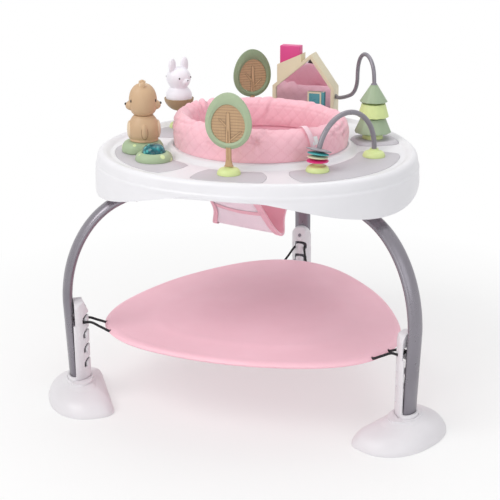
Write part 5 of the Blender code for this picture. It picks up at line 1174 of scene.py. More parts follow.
def make_house():
    """A five-sided house with a mirror inside, a chimney that slides down and a small window that swings."""
    beige = material("house_beige")
    mark = empty("station_house", house_place(), radians(HOUSE_FACING + 90.0))
    shell = prism("house_frame", house_outline(0.0), 0.0, HOUSE_DEEP, "XZY")
    house = add_object("house_frame", shell, beige, mark)

    def change(name, mesh, operation="DIFFERENCE", place=(0, 0, 0)):
        combine(house, cutter(name, mesh, mark, place), operation)

    x0, x1 = CHIMNEY_X[0] - HOUSING_SPARE, CHIMNEY_X[1] + HOUSING_SPARE
    sunk = -HOUSE_WALL / 2
    housing = [(x0, roof_height(x0, sunk)), (x1, roof_height(x1, sunk)),
               (x1, roof_height(x1, HOUSING_RISE)),
               (x0, roof_height(x0, HOUSING_RISE + HOUSING_LEFT_RISE))]
    change("join_housing", prism("join_housing", housing, CHIMNEY_Y[0] - HOUSING_SPARE,
                                 CHIMNEY_Y[1] + HOUSING_SPARE, "XZY"), "UNION")
    change("cut_house", prism("cut_house", house_outline(HOUSE_WALL),
                              -CUT_OVER, HOUSE_DEEP - BACK_WALL, "XZY", smooth=None))
    spare = BORE_SPARE
    change("cut_chimney", box("cut_chimney",
                              (CHIMNEY_X[0] - spare, CHIMNEY_Y[0] - spare, HOUSE_EAVE - 0.02),
                              (CHIMNEY_X[1] + spare, CHIMNEY_Y[1] + spare, CHIMNEY_TOP + CUT_OVER)))
    profile = [(0, BASE_Z - SPIGOT_LONG), (SPIGOT_R, BASE_Z - SPIGOT_LONG), (SPIGOT_R, BASE_Z + 0.003),
               (0, BASE_Z + 0.003)]
    change("join_house_spigot", turned("join_house_spigot", profile, SPIGOT_SIDES), "UNION",
           (*HOUSE_SPIGOT, 0))

    pin_x = DOOR_X[1] + DOOR_PIN_R + DOOR_SLEEVE_WALL + GAP
    sill = BASE_Z + HOUSE_WALL
    pin_top = DOOR_Z[1] + 0.001
    profile = [(0, sill - 0.002), (DOOR_PIN_R, sill - 0.002), (DOOR_PIN_R, pin_top), (0, pin_top)]
    change("join_door_pin", turned("join_door_pin", profile, 10), "UNION", (pin_x, DOOR_PIN_Y, 0))
    combine(house, cutter("cut_wire_hole", wire_socket_mesh()))

    plate = prism("house_mirror", house_outline(HOUSE_WALL + GAP), MIRROR_FRONT,
                  MIRROR_FRONT + MIRROR_THICK, "XZY")
    add_object("house_mirror", plate, material("mirror"), mark)

    stack = box("house_chimney", (CHIMNEY_X[0], CHIMNEY_Y[0], 0),
                (CHIMNEY_X[1], CHIMNEY_Y[1], CHIMNEY_LONG))
    chimney = add_object("house_chimney", stack, material("magenta"), mark,
                         (0, 0, CHIMNEY_TOP - CHIMNEY_LONG))
    edge = chimney.modifiers.new("soft_edges", "BEVEL")
    edge.width = 0.0012
    edge.segments = 1
    make_door(mark, pin_x)


def make_door(mark, pin_x):
    """The small window door on its upright pin, in front of the mirror."""
    low, high = DOOR_Z
    place = (pin_x, DOOR_PIN_Y, 0)
    left = DOOR_X[0] - pin_x
    sleeve_r = DOOR_PIN_R + DOOR_SLEEVE_WALL
    bore_r = DOOR_PIN_R + BORE_SPARE
    panel = box("house_window", (left, -DOOR_THICK / 2, low), (-DOOR_PIN_R, DOOR_THICK / 2, high))
    door = add_object("house_window", panel, material("teal_panel"), mark, place)
    sleeve = turned("join_door_sleeve", [(0, low), (sleeve_r, low), (sleeve_r, high), (0, high)], 12)
    combine(door, cutter("join_door_sleeve", sleeve, mark, place), "UNION")
    bore = turned("cut_door_bore",
                  [(0, low - CUT_OVER), (bore_r, low - CUT_OVER), (bore_r, high + CUT_OVER),
                                    (0, high + CUT_OVER)], 10, smooth=None)
    combine(door, cutter("cut_door_bore", bore, mark, place))


def wire_ends():
    """Where the wire leaves the house, and the pine's axis."""
    return house_place(HOUSE_RIGHT - WIRE_IN_WALL, HOUSE_DEEP / 2), polar(*PINE_AT)


def wire_across():
    """A level direction square to the wire's own upright plane."""
    start, stop = wire_ends()
    return (stop - start).normalized().cross(Vector((0, 0, 1)))


def make_wire():
    """The bent wire from the house over to the pine, which turns on its upright end."""
    start, stop = wire_ends()
    points = [start + (stop - start) * s + Vector((0, 0, z)) for s, z in WIRE_ROUTE]
    points.append(Vector((stop.x, stop.y, PEDESTAL_TOP + GAP + PINE_BASE_FLOOR + GAP)))
    wire = tube_mesh("bead_wire", points, WIRE_R, WIRE_SIDES, wire_across())
    add_object("bead_wire", wire, material("wire_grey"))


def wire_socket_mesh():
    """The wire's socket in the house's side wall."""
    start, stop = wire_ends()
    along = (stop - start).normalized()
    height = Vector((0, 0, WIRE_ROUTE[0][1]))
    ends = [start - along * GAP + height, start + along * CUT_OVER + height]
    return tube_mesh("cut_wire_hole", ends, WIRE_R + BORE_SPARE, 12, wire_across(), smooth=None)


def make_pine():
    """Three cone tiers that turn on the wire's upright end, over a lime base."""
    sage = material("pine_sage")
    lime = material("lime")
    mark = bpy.data.objects["station_pine"]
    low = PEDESTAL_TOP + GAP
    well = WIRE_R + BORE_SPARE
    tall = PINE_TIERS[2][1] - GAP - low
    root = DECK_UNDER + 0.0008 - low
    profile = [(0, PINE_BASE_FLOOR), (well, PINE_BASE_FLOOR), (well, tall), (0.0100, tall),
               (0.0195, tall * 0.62),
               (0.0208, 0), (SPIGOT_R, 0), (SPIGOT_R, root), (0, root)]
    add_object("pine_base", turned("pine_base", profile, 64), lime, mark, (0, 0, low))
    ceiling = None
    for name, bottom, top, wide, narrow in PINE_TIERS:
        tall = top - bottom
        profile = [(well, 0), (PINE_HUB_R, 0), (PINE_HUB_R, PINE_SKIN), (wide - PINE_SKIN, PINE_SKIN),
                   (wide - PINE_SKIN / 2, 0), (wide, PINE_SKIN / 3), (narrow, tall)]
        if ceiling:
            reach = ceiling - GAP - bottom
            profile += [(PINE_HUB_R, tall), (PINE_HUB_R, reach), (well, reach)]
        else:
            profile += [(well, tall)]
        add_object(name, turned(name, profile, 80, ring=True), lime if name == "pine_tier_middle" else sage,
                   mark, (0, 0, bottom))
        ceiling = bottom


def make_arch():
    """A half-round grey tube between two lime domes, with four disks threaded on it."""
    grey = material("arch_grey")
    lime = material("lime")
    left, right = polar(*ARCH_LEFT_AT), polar(*ARCH_RIGHT_AT)
    span = right - left
    radius = span.length / 2
    mark = empty("station_arch", (left + right) / 2 + Vector((0, 0, ARCH_CENTRE_Z)),
                 acos(span.x / span.length))

    dome_tall = ARCH_DOME_TOP - BASE_Z
    bore = ARCH_TUBE_R + BORE_SPARE
    profile = dome_profile(dome_tall) + [(ARCH_COLLAR_R, dome_tall),
                                         (ARCH_COLLAR_R, dome_tall + ARCH_COLLAR),
                                         (bore, dome_tall + ARCH_COLLAR), (bore, dome_tall - ARCH_SINK),
                                         (0, dome_tall - ARCH_SINK)]
    for name, x in (("arch_dome_left", -radius), ("arch_dome_right", radius)):
        add_object(name, turned(name, profile, DOME_SIDES), lime, mark, (x, 0, BASE_Z - ARCH_CENTRE_Z))

    foot = ARCH_DOME_TOP - ARCH_SINK + GAP - ARCH_CENTRE_Z
    points = [Vector((-radius, 0, foot))]
    points += [Vector((-radius * cos(pi * i / ARCH_STEPS), 0, radius * sin(pi * i / ARCH_STEPS)))
               for i in range(ARCH_STEPS + 1)]
    points.append(Vector((radius, 0, foot)))
    tube = tube_mesh("arch_tube", points, ARCH_TUBE_R, ARCH_SIDES, Vector((0, 1, 0)))
    add_object("arch_tube", tube, grey, mark)

    hub = DISK_HUB / 2
    bore = ARCH_TUBE_R + DISK_BORE_SPARE
    for i, (name, disk_r) in enumerate(DISKS):
        angle = (ARCH_DOME_TOP + DISK_FIRST + DISK_PITCH * i - ARCH_CENTRE_Z) / radius
        profile = [(bore, -hub), (bore + 0.0032, -hub), (disk_r, -hub * 0.30), (disk_r, hub * 0.30),
                   (bore + 0.0032, hub), (bore, hub)]
        flat = turned(name, profile, DISK_SIDES, ring=True)
        for v in flat.vertices:
            x, z = v.co.x - radius, v.co.z
            v.co.x = x * cos(angle) + z * sin(angle)
            v.co.z = z * cos(angle) - x * sin(angle)
        add_object(name, flat, material(name), mark)


# Materials

def srgb(red, green, blue):
    """A linear colour from the red, green and blue that it shows as, 0 to 255."""
    return tuple((v / 255 / 12.92 if v <= 10 else ((v / 255 + 0.055) / 1.055) ** 2.4)
                 for v in (red, green, blue))


# name: colour, roughness, metallic, grain height, grain size, colour variation, edge wear
FINISHES = {
    "tray_white": (srgb(233, 232, 236), 0.34, 0.0, 0.10, 900, 0.015, 0.05),
    "ring_white": (srgb(238, 236, 240), 0.40, 0.0, 0.10, 900, 0.015, 0.05),
    "underside_white": (srgb(228, 226, 230), 0.50, 0.0, 0.14, 700, 0.02, 0.05),
    "foot_white": (srgb(231, 228, 232), 0.40, 0.0, 0.12, 800, 0.02, 0.06),
    "pad_grey": (srgb(198, 194, 200), 0.52, 0.0, 0.22, 1300, 0.02, 0.05),
    "silver_paint": (srgb(138, 134, 142), 0.30, 0.65, 0.16, 1600, 0.05, 0.10),
    "button_grey": (srgb(150, 147, 154), 0.45, 0.0, 0.10, 900, 0.03, 0.06),
    "platform_pink": (srgb(255, 203, 216), 0.55, 0.0, 0.20, 1200, 0.02, 0.03),
    "elastic_black": (srgb(34, 33, 36), 0.85, 0.0, 0.60, 2200, 0.15, 0.0),
    "sage": (srgb(166, 182, 150), 0.50, 0.0, 0.14, 1100, 0.03, 0.06),
    # A darker copy of sage: painted shade on the back tree's ring
    "sage_back": (srgb(137, 153, 121), 0.50, 0.0, 0.14, 1100, 0.03, 0.06),
    "pine_sage": (srgb(161, 180, 149), 0.42, 0.0, 0.12, 1100, 0.03, 0.06),
    "wood": (srgb(198, 163, 126), 0.55, 0.0, 0.0, 900, 0.04, 0.05),
    "lime": (srgb(217, 231, 160), 0.42, 0.0, 0.10, 900, 0.02, 0.05),
    "house_beige": (srgb(224, 213, 184), 0.45, 0.0, 0.12, 900, 0.03, 0.06),
    "magenta": (srgb(218, 74, 140), 0.38, 0.0, 0.08, 900, 0.03, 0.05),
    "teal_panel": (srgb(80, 149, 160), 0.30, 0.0, 0.06, 900, 0.03, 0.05),
    "bear_tan": (srgb(205, 172, 137), 0.48, 0.0, 0.12, 1000, 0.03, 0.05),
    # Painted shade: the dark rim round each of the bear's raised arms
    "bear_line": (srgb(160, 128, 98), 0.55, 0.0, 0.12, 1000, 0.03, 0.0),
    "bear_cream": (srgb(228, 205, 176), 0.50, 0.0, 0.12, 1000, 0.03, 0.05),
    "bunny_white": (srgb(242, 239, 246), 0.42, 0.0, 0.10, 1000, 0.015, 0.04),
    "cup_brown": (srgb(168, 141, 108), 0.50, 0.0, 0.14, 1000, 0.04, 0.06),
    "wire_grey": (srgb(134, 130, 139), 0.32, 0.25, 0.08, 1200, 0.03, 0.06),
    "arch_grey": (srgb(138, 134, 142), 0.30, 0.10, 0.08, 1200, 0.03, 0.06),
    "arch_disk_magenta": (srgb(226, 50, 130), 0.36, 0.0, 0.08, 1000, 0.03, 0.05),
    "arch_disk_cream": (srgb(230, 218, 188), 0.42, 0.0, 0.08, 1000, 0.03, 0.05),
    "arch_disk_teal": (srgb(80, 180, 182), 0.36, 0.0, 0.08, 1000, 0.03, 0.05),
    "arch_disk_grey": (srgb(154, 149, 156), 0.40, 0.0, 0.08, 1000, 0.03, 0.05),
    "dark": (srgb(44, 36, 34), 0.30, 0.0, 0.04, 900, 0.05, 0.0),
    "dark_steel": (srgb(140, 136, 144), 0.32, 0.8, 0.10, 1600, 0.05, 0.1),
    "tag_white": (srgb(244, 243, 244), 0.75, 0.0, 0.40, 2600, 0.02, 0.0),
    "ribbon": (srgb(249, 214, 224), 0.65, 0.0, 0.50, 2600, 0.03, 0.0),
}


PAINTS = {}                # every finish made so far


class Nodes:
    """Short calls for a material's nodes."""

    def __init__(self, name):
        self.made = bpy.data.materials.new(name)
        self.made.use_nodes = True
        self.tree = self.made.node_tree
        self.shader = self.tree.nodes["Principled BSDF"]
        self.coords = self.add("ShaderNodeTexCoord").outputs["Object"]

    def add(self, kind, inputs=(), **settings):
        node = self.tree.nodes.new(kind)
        for key, value in settings.items():
            setattr(node, key, value)
        for key, value in dict(inputs).items():
            self.put(node.inputs[key], value)
        return node

    def put(self, socket, value):
        if hasattr(value, "is_output"):
            self.tree.links.new(value, socket)
        else:
            socket.default_value = value

    def noise(self, scale, detail=3.0, coords=None, rough=0.55):
        return self.add("ShaderNodeTexNoise",
                        {"Vector": coords or self.coords, "Scale": scale, "Detail": detail,
                                               "Roughness": rough}).outputs["Fac"]

    def math(self, operation, a, b=0.0, clamp=False):
        return self.add("ShaderNodeMath", {0: a, 1: b}, operation=operation, use_clamp=clamp).outputs[0]

    def remap(self, value, low, high, new_low=0.0, new_high=1.0):
        return self.add("ShaderNodeMapRange",
                        {"Value": value, "From Min": low, "From Max": high, "To Min": new_low,
                                               "To Max": new_high}).outputs["Result"]

    def mix(self, share, a, b, blend="MIX"):
        node = self.add("ShaderNodeMix", data_type="RGBA", blend_type=blend)
        self.put(node.inputs["Factor"], share)
        for index, value in ((6, a), (7, b)):
            self.put(node.inputs[index],
                     (*value, 1.0) if isinstance(value, tuple) and len(value) == 3 else value)
        return node.outputs[2]

    def bump(self, height, strength, distance, normal=None):
        inputs = {"Height": height, "Strength": strength, "Distance": distance}
        if normal:
            inputs["Normal"] = normal
        return self.add("ShaderNodeBump", inputs).outputs["Normal"]


def shade(colour, factor):
    """The colour, darker or lighter."""
    return tuple(min(c * factor, 1.0) for c in colour)


def material(name):
    """Moulded plastic, paint or cord: slow colour drift, worn edges, fine grain, uneven gloss."""
    if name in PAINTS:
        return PAINTS[name]
    colour, rough, metal, grain, size, vary, wear = FINISHES[name]
    n = Nodes(name)
    drift = n.noise(11.0, 4.0)
    base = n.mix(n.remap(drift, 0.3, 0.7), shade(colour, 1 - vary * 1.6), shade(colour, 1 + vary))
    if wear:
        edge = n.add("ShaderNodeNewGeometry").outputs["Pointiness"]
        worn = n.math("MULTIPLY", n.remap(edge, 0.52, 0.60), n.remap(n.noise(160.0, 2.0), 0.4, 0.7), True)
        base = n.mix(n.math("MULTIPLY", worn, wear * 5), base, shade(colour, 1.25))
    n.put(n.shader.inputs["Base Color"], base)
    gloss = n.add("ShaderNodeMapRange", {"Value": n.noise(38.0, 5.0), "From Min": 0.3, "From Max": 0.7,
                                         "To Min": max(rough - 0.05, 0.02),
                                         "To Max": min(rough + 0.06, 1.0)})
    n.put(n.shader.inputs["Roughness"], gloss.outputs["Result"])
    n.shader.inputs["Metallic"].default_value = metal
    if grain:
        n.put(n.shader.inputs["Normal"], n.bump(n.noise(size, 2.0), grain, 0.0004))
    PAINTS[name] = n.made
    return n.made


def flow_coords(n):
    """A soft piece's own coordinates: metres along it and across it."""
    return n.add("ShaderNodeAttribute", attribute_name="flow").outputs["Vector"]


def weave(n, coords, pitch):
    """Height of a plain weave: threads over and under, pitch metres apart."""
    part = n.add("ShaderNodeSeparateXYZ", {0: coords})
    scale = pi / pitch
    warp = n.math("SINE", n.math("MULTIPLY", part.outputs[0], scale))
    weft = n.math("SINE", n.math("MULTIPLY", part.outputs[1], scale))
    both = n.math("MULTIPLY", warp, weft)
    return n.math("ADD", n.math("MULTIPLY", both, 0.5), 0.5)


def fabric(name, colour, pitch=0.0011, height=0.35, vary=0.05, rough=0.9, stitch=None, sheen=0.35):
    """Woven cloth: crossing threads, slubs, slow colour drift and a soft sheen. stitch adds sewn diamonds and painted
    shade in the folds.
    """
    n = Nodes(name)
    coords = flow_coords(n)
    threads = weave(n, coords, pitch)
    slub = n.noise(420.0, 3.0)
    drift = n.noise(16.0, 4.0)
    base = n.mix(n.remap(drift, 0.3, 0.7), shade(colour, 1 - vary), shade(colour, 1 + vary * 0.6))
    base = n.mix(n.math("MULTIPLY", n.remap(slub, 0.35, 0.75), 0.15), base, shade(colour, 0.88))
    base = n.mix(n.math("MULTIPLY", n.math("SUBTRACT", 1.0, threads), 0.08), base, shade(colour, 0.78))
    if stitch:
        seam = n.add("ShaderNodeAttribute", attribute_name="seam").outputs["Fac"]
        along = n.add("ShaderNodeSeparateXYZ", {0: coords}).outputs[0]
        dash = n.math("SINE", n.math("MULTIPLY", along, 2100.0))
        thread = n.math("MULTIPLY", n.remap(seam, 0.80, 0.97), n.remap(dash, -0.5, 0.3, 0.25, 1.0), True)
        base = n.mix(n.math("MULTIPLY", thread, 0.40), base, stitch)
        # Painted shade: darkens the cushion's folds, dents, puckers and sewn line
        crease = n.add("ShaderNodeAttribute", attribute_name="crease").outputs["Fac"]
        base = n.mix(n.math("MULTIPLY", crease, 0.30), base, shade(colour, 0.70))
    n.put(n.shader.inputs["Base Color"], base)
    n.put(n.shader.inputs["Roughness"], n.remap(slub, 0.2, 0.8, rough - 0.06, min(rough + 0.06, 1.0)))
    n.shader.inputs["Sheen Weight"].default_value = sheen
    n.shader.inputs["Sheen Roughness"].default_value = 0.5
    rough_weave = n.bump(threads, height, 0.0004)
    n.put(n.shader.inputs["Normal"], n.bump(n.noise(95.0, 4.0), 0.35, 0.0012, rough_weave))
    return n.made


def mesh_cloth(name, colour):
    """Knitted spacer mesh: rows of small holes, with painted shade inside them."""
    n = Nodes(name)
    coords = flow_coords(n)
    part = n.add("ShaderNodeSeparateXYZ", {0: coords})
    x = n.math("MULTIPLY", part.outputs[0], 2 * pi / 0.0021)
    y = n.math("MULTIPLY", part.outputs[1], 2 * pi / 0.0024)
    holes = n.math("MULTIPLY", n.math("ADD", n.math("COSINE", x), 1.0),
                   n.math("ADD", n.math("COSINE", y), 1.0))
    hole = n.remap(holes, 1.2, 3.2)
    base = n.mix(n.remap(n.noise(14.0), 0.3, 0.7), shade(colour, 0.97), shade(colour, 1.03))
    # Painted shade inside the holes
    base = n.mix(n.math("MULTIPLY", hole, 0.30), base, shade(colour, 0.62))
    n.put(n.shader.inputs["Base Color"], base)
    n.put(n.shader.inputs["Roughness"], n.remap(n.noise(600.0), 0.3, 0.7, 0.80, 0.95))
    n.shader.inputs["Sheen Weight"].default_value = 0.25
    n.put(n.shader.inputs["Normal"], n.bump(n.math("SUBTRACT", 1.0, hole), 0.5, 0.0005))
    return n.made


def grooved_wood(name, colour, shade_grooves=False):
    """Moulded plastic with a wood look: long grain, small pores. The flag at the end adds painted shade in the panel's
    hollows.
    """
    n = Nodes(name)
    long_grain = n.add("ShaderNodeMapping", {"Vector": n.coords, "Scale": (1.0, 1.0, 0.09)}).outputs[0]
    streak = n.noise(420.0, 4.0, long_grain)
    base = n.mix(n.remap(streak, 0.3, 0.7), shade(colour, 0.90), shade(colour, 1.05))
    base = n.mix(n.math("MULTIPLY", n.remap(n.noise(30.0), 0.35, 0.7), 0.3), base, shade(colour, 0.92))
    if shade_grooves:
        # Painted shade in the panel's hollows and beside the post and the branches
        groove = n.add("ShaderNodeAttribute", attribute_name="groove").outputs["Fac"]
        base = n.mix(n.math("MULTIPLY", groove, 0.75), base, shade(colour, 0.50))
    n.put(n.shader.inputs["Base Color"], base)
    n.put(n.shader.inputs["Roughness"], n.remap(streak, 0.3, 0.7, 0.50, 0.64))
    n.put(n.shader.inputs["Normal"], n.bump(streak, 0.25, 0.0003))
    return n.made


def spotted(name, colour, spot, scale, size, rough=0.5, gloss=0.0):
    """Plastic with round pale spots set apart at uneven places."""
    n = Nodes(name)
    cells = n.add("ShaderNodeTexVoronoi", {"Vector": n.coords, "Scale": scale, "Randomness": 0.75})
    disc = n.remap(cells.outputs["Distance"], size, size - 0.05)
    base = n.mix(n.remap(n.noise(13.0), 0.3, 0.7), shade(colour, 0.95), shade(colour, 1.03))
    base = n.mix(disc, base, spot)
    n.put(n.shader.inputs["Base Color"], base)
    n.put(n.shader.inputs["Roughness"], n.remap(n.noise(40.0), 0.3, 0.7, rough - 0.05, rough + 0.05))
    n.shader.inputs["Coat Weight"].default_value = gloss
    n.shader.inputs["Coat Roughness"].default_value = 0.08
    n.put(n.shader.inputs["Normal"], n.bump(n.noise(900.0, 2.0), 0.12, 0.0004))
    return n.made


def lens_paint():
    """The clear teal lens: two teals in soft clouds, with pale patches painted in as glints of the lamp's reflector
    below.
    """
    n = Nodes("lens_teal")
    cells = n.add("ShaderNodeTexVoronoi", {"Vector": n.coords, "Scale": 95.0, "Randomness": 0.9})
    # Painted highlights: pale patches standing for light off the reflector
    reflector_glints = n.remap(cells.outputs["Distance"], 0.42, 0.20)
    cloud = n.remap(n.noise(70.0, 3.0), 0.40, 0.62)
    base = n.mix(cloud, srgb(6, 78, 88), srgb(30, 128, 136))
    base = n.mix(n.math("MULTIPLY", reflector_glints, 0.80), base, srgb(96, 200, 196))
    n.put(n.shader.inputs["Base Color"], base)
    n.put(n.shader.inputs["Roughness"], n.remap(n.noise(60.0), 0.3, 0.7, 0.08, 0.16))
    n.shader.inputs["Coat Weight"].default_value = 0.2
    n.shader.inputs["Coat Roughness"].default_value = 0.05
    n.shader.inputs["Specular IOR Level"].default_value = 0.3
    return n.made


def mirror_paint():
    """Acrylic mirror: nearly smooth, a faint waviness and haze."""
    n = Nodes("mirror")
    n.put(n.shader.inputs["Base Color"], n.mix(n.noise(20.0), srgb(224, 222, 228), srgb(236, 234, 240)))
    n.shader.inputs["Metallic"].default_value = 1.0
    n.put(n.shader.inputs["Roughness"], n.remap(n.noise(30.0), 0.3, 0.7, 0.03, 0.08))
    n.put(n.shader.inputs["Normal"], n.bump(n.noise(24.0, 1.0), 0.15, 0.004))
    return n.made


# Legs, platform and tray

def foot_ring(scale, height, collar=0.0, spare=0.0):
    """One ring of the foot; scale 1 is its outline on the floor, collar 1 the oval of its raised collar."""
    half = list(FOOT_HALF)
    ring = []
    for x, y in smooth_outline(half + [(x, -y) for x, y in half[-2:0:-1]], 80.0, 6):
        u = x * scale
        v = y * scale
        run = hypot(u / (COLLAR_RADIAL / 2 + spare), v / (COLLAR_WIDE / 2 + spare))
        u += (u / run - u) * collar
        v += (v / run - v) * collar
        ring.append(Vector((FOOT_POLE_R + u, v, height)))
    return ring


def make_foot(name, turn, paint):
    """A hollow white dome with a raised collar, standing on a flat rim, open round the leg."""
    under = FOOT_TOP - FOOT_WALL
    outer = [foot_ring(1.0, 0.0), foot_ring(1.0, 0.0035), foot_ring(0.955, 0.0125), foot_ring(0.84, 0.0240),
             foot_ring(0.66, 0.0345, 0.3), foot_ring(0.5, COLLAR_LOW, 1.0),
             foot_ring(0.5, FOOT_TOP, 1.0, -0.0012)]
    inner = [foot_ring(0.5, under, 1.0, -BOSS_WALL), foot_ring(0.78, 0.0235),
             foot_ring(1.0 - FOOT_RIM, 0.0)]
    outside = smoothed(outer, corner=50.0)
    rings = [[Vector((FOOT_POLE_R, 0, FOOT_TOP))]] + outside[::-1] + inner[::-1]
    rings.append([Vector((FOOT_POLE_R, 0, under))])
    place = (0, AXIS_Y, 0)
    foot = add_object(name, closed_mesh(name, *skin(rings)), paint, None, place, turn)
    plan = casing_plan(CASING_SLEEVE_R, -BORE_SPARE, True)
    hole = prism("cut_socket", plan, -CUT_OVER, FOOT_TOP + CUT_OVER, smooth=None)
    combine(foot, cutter("cut_socket_" + name, hole, None, place, turn))


def make_legs():
    """Three legs, each a tube with its casing, its foot and the casing's screw."""
    silver = material("silver_paint")
    white = material("foot_white")
    for side, angle in LEG_ANGLES.items():
        turn = radians(angle)
        add_object("leg_tube_" + side, leg_tube_mesh(), silver, None, (0, AXIS_Y, 0), turn)
        make_casing("leg_casing_" + side, turn, white)
        make_foot("foot_" + side, turn, white)
        share = (SCREW_Z - CASING_ROOF_Z) / (CASING_TOP + GAP - CASING_ROOF_Z)
        face = CASING_FACE_R + (CASING_SLOPE_R - CASING_FACE_R) * share
        lean = (CASING_SLOPE_R - CASING_FACE_R) / (CASING_TOP + GAP - CASING_ROOF_Z)
        head = screw_mesh(SCREW_SEAT_R * SCREW_FILL, SCREW_TALL)
        spot = polar(face + SCREW_SEAT_DEEP + SCREW_SUNK, angle, SCREW_Z)
        screw = add_object("screw_leg_" + side, head, material("dark_steel"), None, spot)
        screw.rotation_euler = (0, atan2(lean, 1.0) - pi / 2, turn)
        screw["rides"] = "frame"


def screw_mesh(radius, tall):
    """A pan head with a cross recess; its top looks along +Z."""
    head = [(0, 0), (radius, 0), (radius, tall * 0.35),
            (radius * 0.9, tall * 0.75), (radius * 0.55, tall), (0, tall)]
    mesh = turned("screw", head, 36)
    work = bmesh.new()
    work.from_mesh(mesh)
    for vertex in work.verts:
        x, y = abs(vertex.co.x), abs(vertex.co.y)
        if vertex.co.z > tall * 0.5 and min(x, y) < radius * 0.17 and max(x, y) < radius * 0.62:
            vertex.co.z -= tall * 0.45
    work.to_mesh(mesh)
    work.free()
    return mesh


RIVET = [(0, 0), (0.0030, 0), (0.0030, 0.0003), (0.0024, 0.0009), (0, 0.0012)]
RIVET_IN = 0.030           # from the platform's corner
RIVET_ACROSS = 0.026
RIVET_SUNK = 0.0014


def make_platform():
    """A dished rounded triangle with a rolled edge, hung from the legs by three loops."""
    half = PLATFORM_EDGE / 2
    top = PLATFORM_Z + half
    low = PLATFORM_Z - half
    dish = top - PLATFORM_DISH
    line = [[Vector((0, 0, dish))], platform_ring(0.22, dish), platform_ring(0.45, dish + 0.0006),
            platform_ring(0.60, dish + 0.0014), platform_ring(0.66, dish + 0.0027),
            platform_ring(0.74, top - 0.0030), platform_ring(0.84, top - 0.0020),
            platform_ring(0.93, top - 0.0008), platform_ring(0.967, top),
            platform_ring(0.990, top - half * 0.4), platform_ring(1.0, PLATFORM_Z),
            platform_ring(0.988, low + half * 0.36), platform_ring(0.967, low), platform_ring(0.885, low),
            platform_ring(0.86, dish - PLATFORM_CORE * 0.8), [Vector((0, 0, dish - PLATFORM_CORE))]]
    rings = [line[0]] + smoothed(line[1:-1], corner=60.0, steps=6) + [line[-1]]
    plate = closed_mesh("platform", *skin(rings))
    platform = add_object("platform", plate, material("platform_pink"), None, (0, AXIS_Y, 0))
    for side, angle in LEG_ANGLES.items():
        turn = radians(angle)
        route = [row[0] for row in smoothed([[p] for p in loop_route()], True, 95.0, 6)]
        loop = tube_mesh("elastic", route, CORD_R, CORD_SIDES, Vector((0, 0, 1)), closed=True)
        black = material("elastic_black")
        cord = add_object("elastic_loop_" + side, loop, black, None, (0, AXIS_Y, 0), turn)
        cord["between"] = side
        inner = [p for p in loop_route() if p.x < PLATFORM_TIP + TUNNEL_OUT]
        bore = tube_mesh("cut_tunnel", inner, CORD_R + TUNNEL_SPARE, 14, Vector((0, 0, 1)), smooth=None)
        combine(platform, cutter("cut_tunnel_" + side, bore, None, (0, AXIS_Y, 0), turn))
        for k, across in enumerate((-RIVET_ACROSS, RIVET_ACROSS)):
            rivet = turned("rivet", RIVET, 32)
            place = Vector((PLATFORM_TIP - RIVET_IN, across, 0))
            spun = Vector((place.x * cos(turn) - place.y * sin(turn), AXIS_Y + place.x * sin(turn)
                           + place.y * cos(turn), top - RIVET_SUNK))
            piece = add_object("rivet_%s_%d" % (side, k), rivet, material("platform_pink"), None, spun)
            piece["rides"] = "platform"


STEP_Z = 0.4736            # the fine step between the tray's rim band and its skirt
STEP_R = 0.3093
STEP_OUT = 0.0005


def make_tray():
    """The moulded tray top: collar, deck, rim and wavy skirt in one shell."""
    wall = TRAY_WALL
    flat = RIM_R - DECK_FLAT
    rings = [
        tray_ring(TRAY_HOLE_R, 0, SEAT_TOP), tray_ring(TRAY_HOLE_R + 0.005, 0, SEAT_TOP - 0.0008),
        tray_ring(TRAY_HOLE_R + COLLAR_SLOPE, 0, DECK_Z),
        tray_ring(TRAY_HOLE_R + COLLAR_SLOPE + 0.003, 0, DECK_Z),
        tray_ring(flat - 0.003, RIM_LOBE, DECK_Z), tray_ring(flat, RIM_LOBE, DECK_Z),
        tray_ring(RIM_R - 0.006, RIM_LOBE, RIM_Z - 0.0012), tray_ring(RIM_R + 0.001, RIM_LOBE, RIM_Z),
        tray_ring(RIM_R + RIM_OUT, RIM_LOBE + 0.0005, RIM_Z - 0.0040),
        tray_ring(RIM_R + 0.0105, RIM_LOBE + 0.001, RIM_Z - RIM_DROP),
        tray_ring(STEP_R - STEP_OUT, (RIM_LOBE + TRAY_LOBE) / 2, STEP_Z + 0.0007),
        tray_ring(STEP_R + STEP_OUT, (RIM_LOBE + TRAY_LOBE) / 2, STEP_Z - 0.0006),
        tray_ring(TRAY_R - 0.0012, TRAY_LOBE, SKIRT_BEND_Z),
        tray_ring(TRAY_R, TRAY_LOBE, SKIRT_LOW, SKIRT_WAVE),
        tray_ring(TRAY_R - wall, TRAY_LOBE, SKIRT_LOW, SKIRT_WAVE),
        tray_ring(RIM_R + RIM_OUT - wall, RIM_LOBE + 0.001, RIM_Z - RIM_DROP),
        tray_ring(flat + DECK_THICK, RIM_LOBE, DECK_UNDER),
        tray_ring(TRAY_HOLE_R + COLLAR_SLOPE - DECK_THICK, 0, DECK_UNDER),
        tray_ring(TRAY_HOLE_R, 0, SEAT_TOP - wall),
    ]
    rings = smoothed(rings, True, 50.0, 6)
    place = (0, AXIS_Y, 0)
    shell = closed_mesh("tray_top", *skin(rings, closed=True))
    tray = add_object("tray_top", shell, material("tray_white"), None, place)
    floor_z = PAD_LOW - GAP
    for name, span in PADS.items():
        plan = smooth_outline(pad_outline(*span, grow=PAD_SPARE))
        recess = prism("recess", plan, floor_z, DECK_Z + CUT_OVER, smooth=None)
        combine(tray, cutter("cut_recess_" + name, recess, None, place))
    seat = prism("cut_pedestal", pedestal_outline(PAD_SPARE), floor_z, DECK_Z + CUT_OVER, smooth=None)
    combine(tray, cutter("cut_pedestal", seat, bpy.data.objects["station_pine"]))


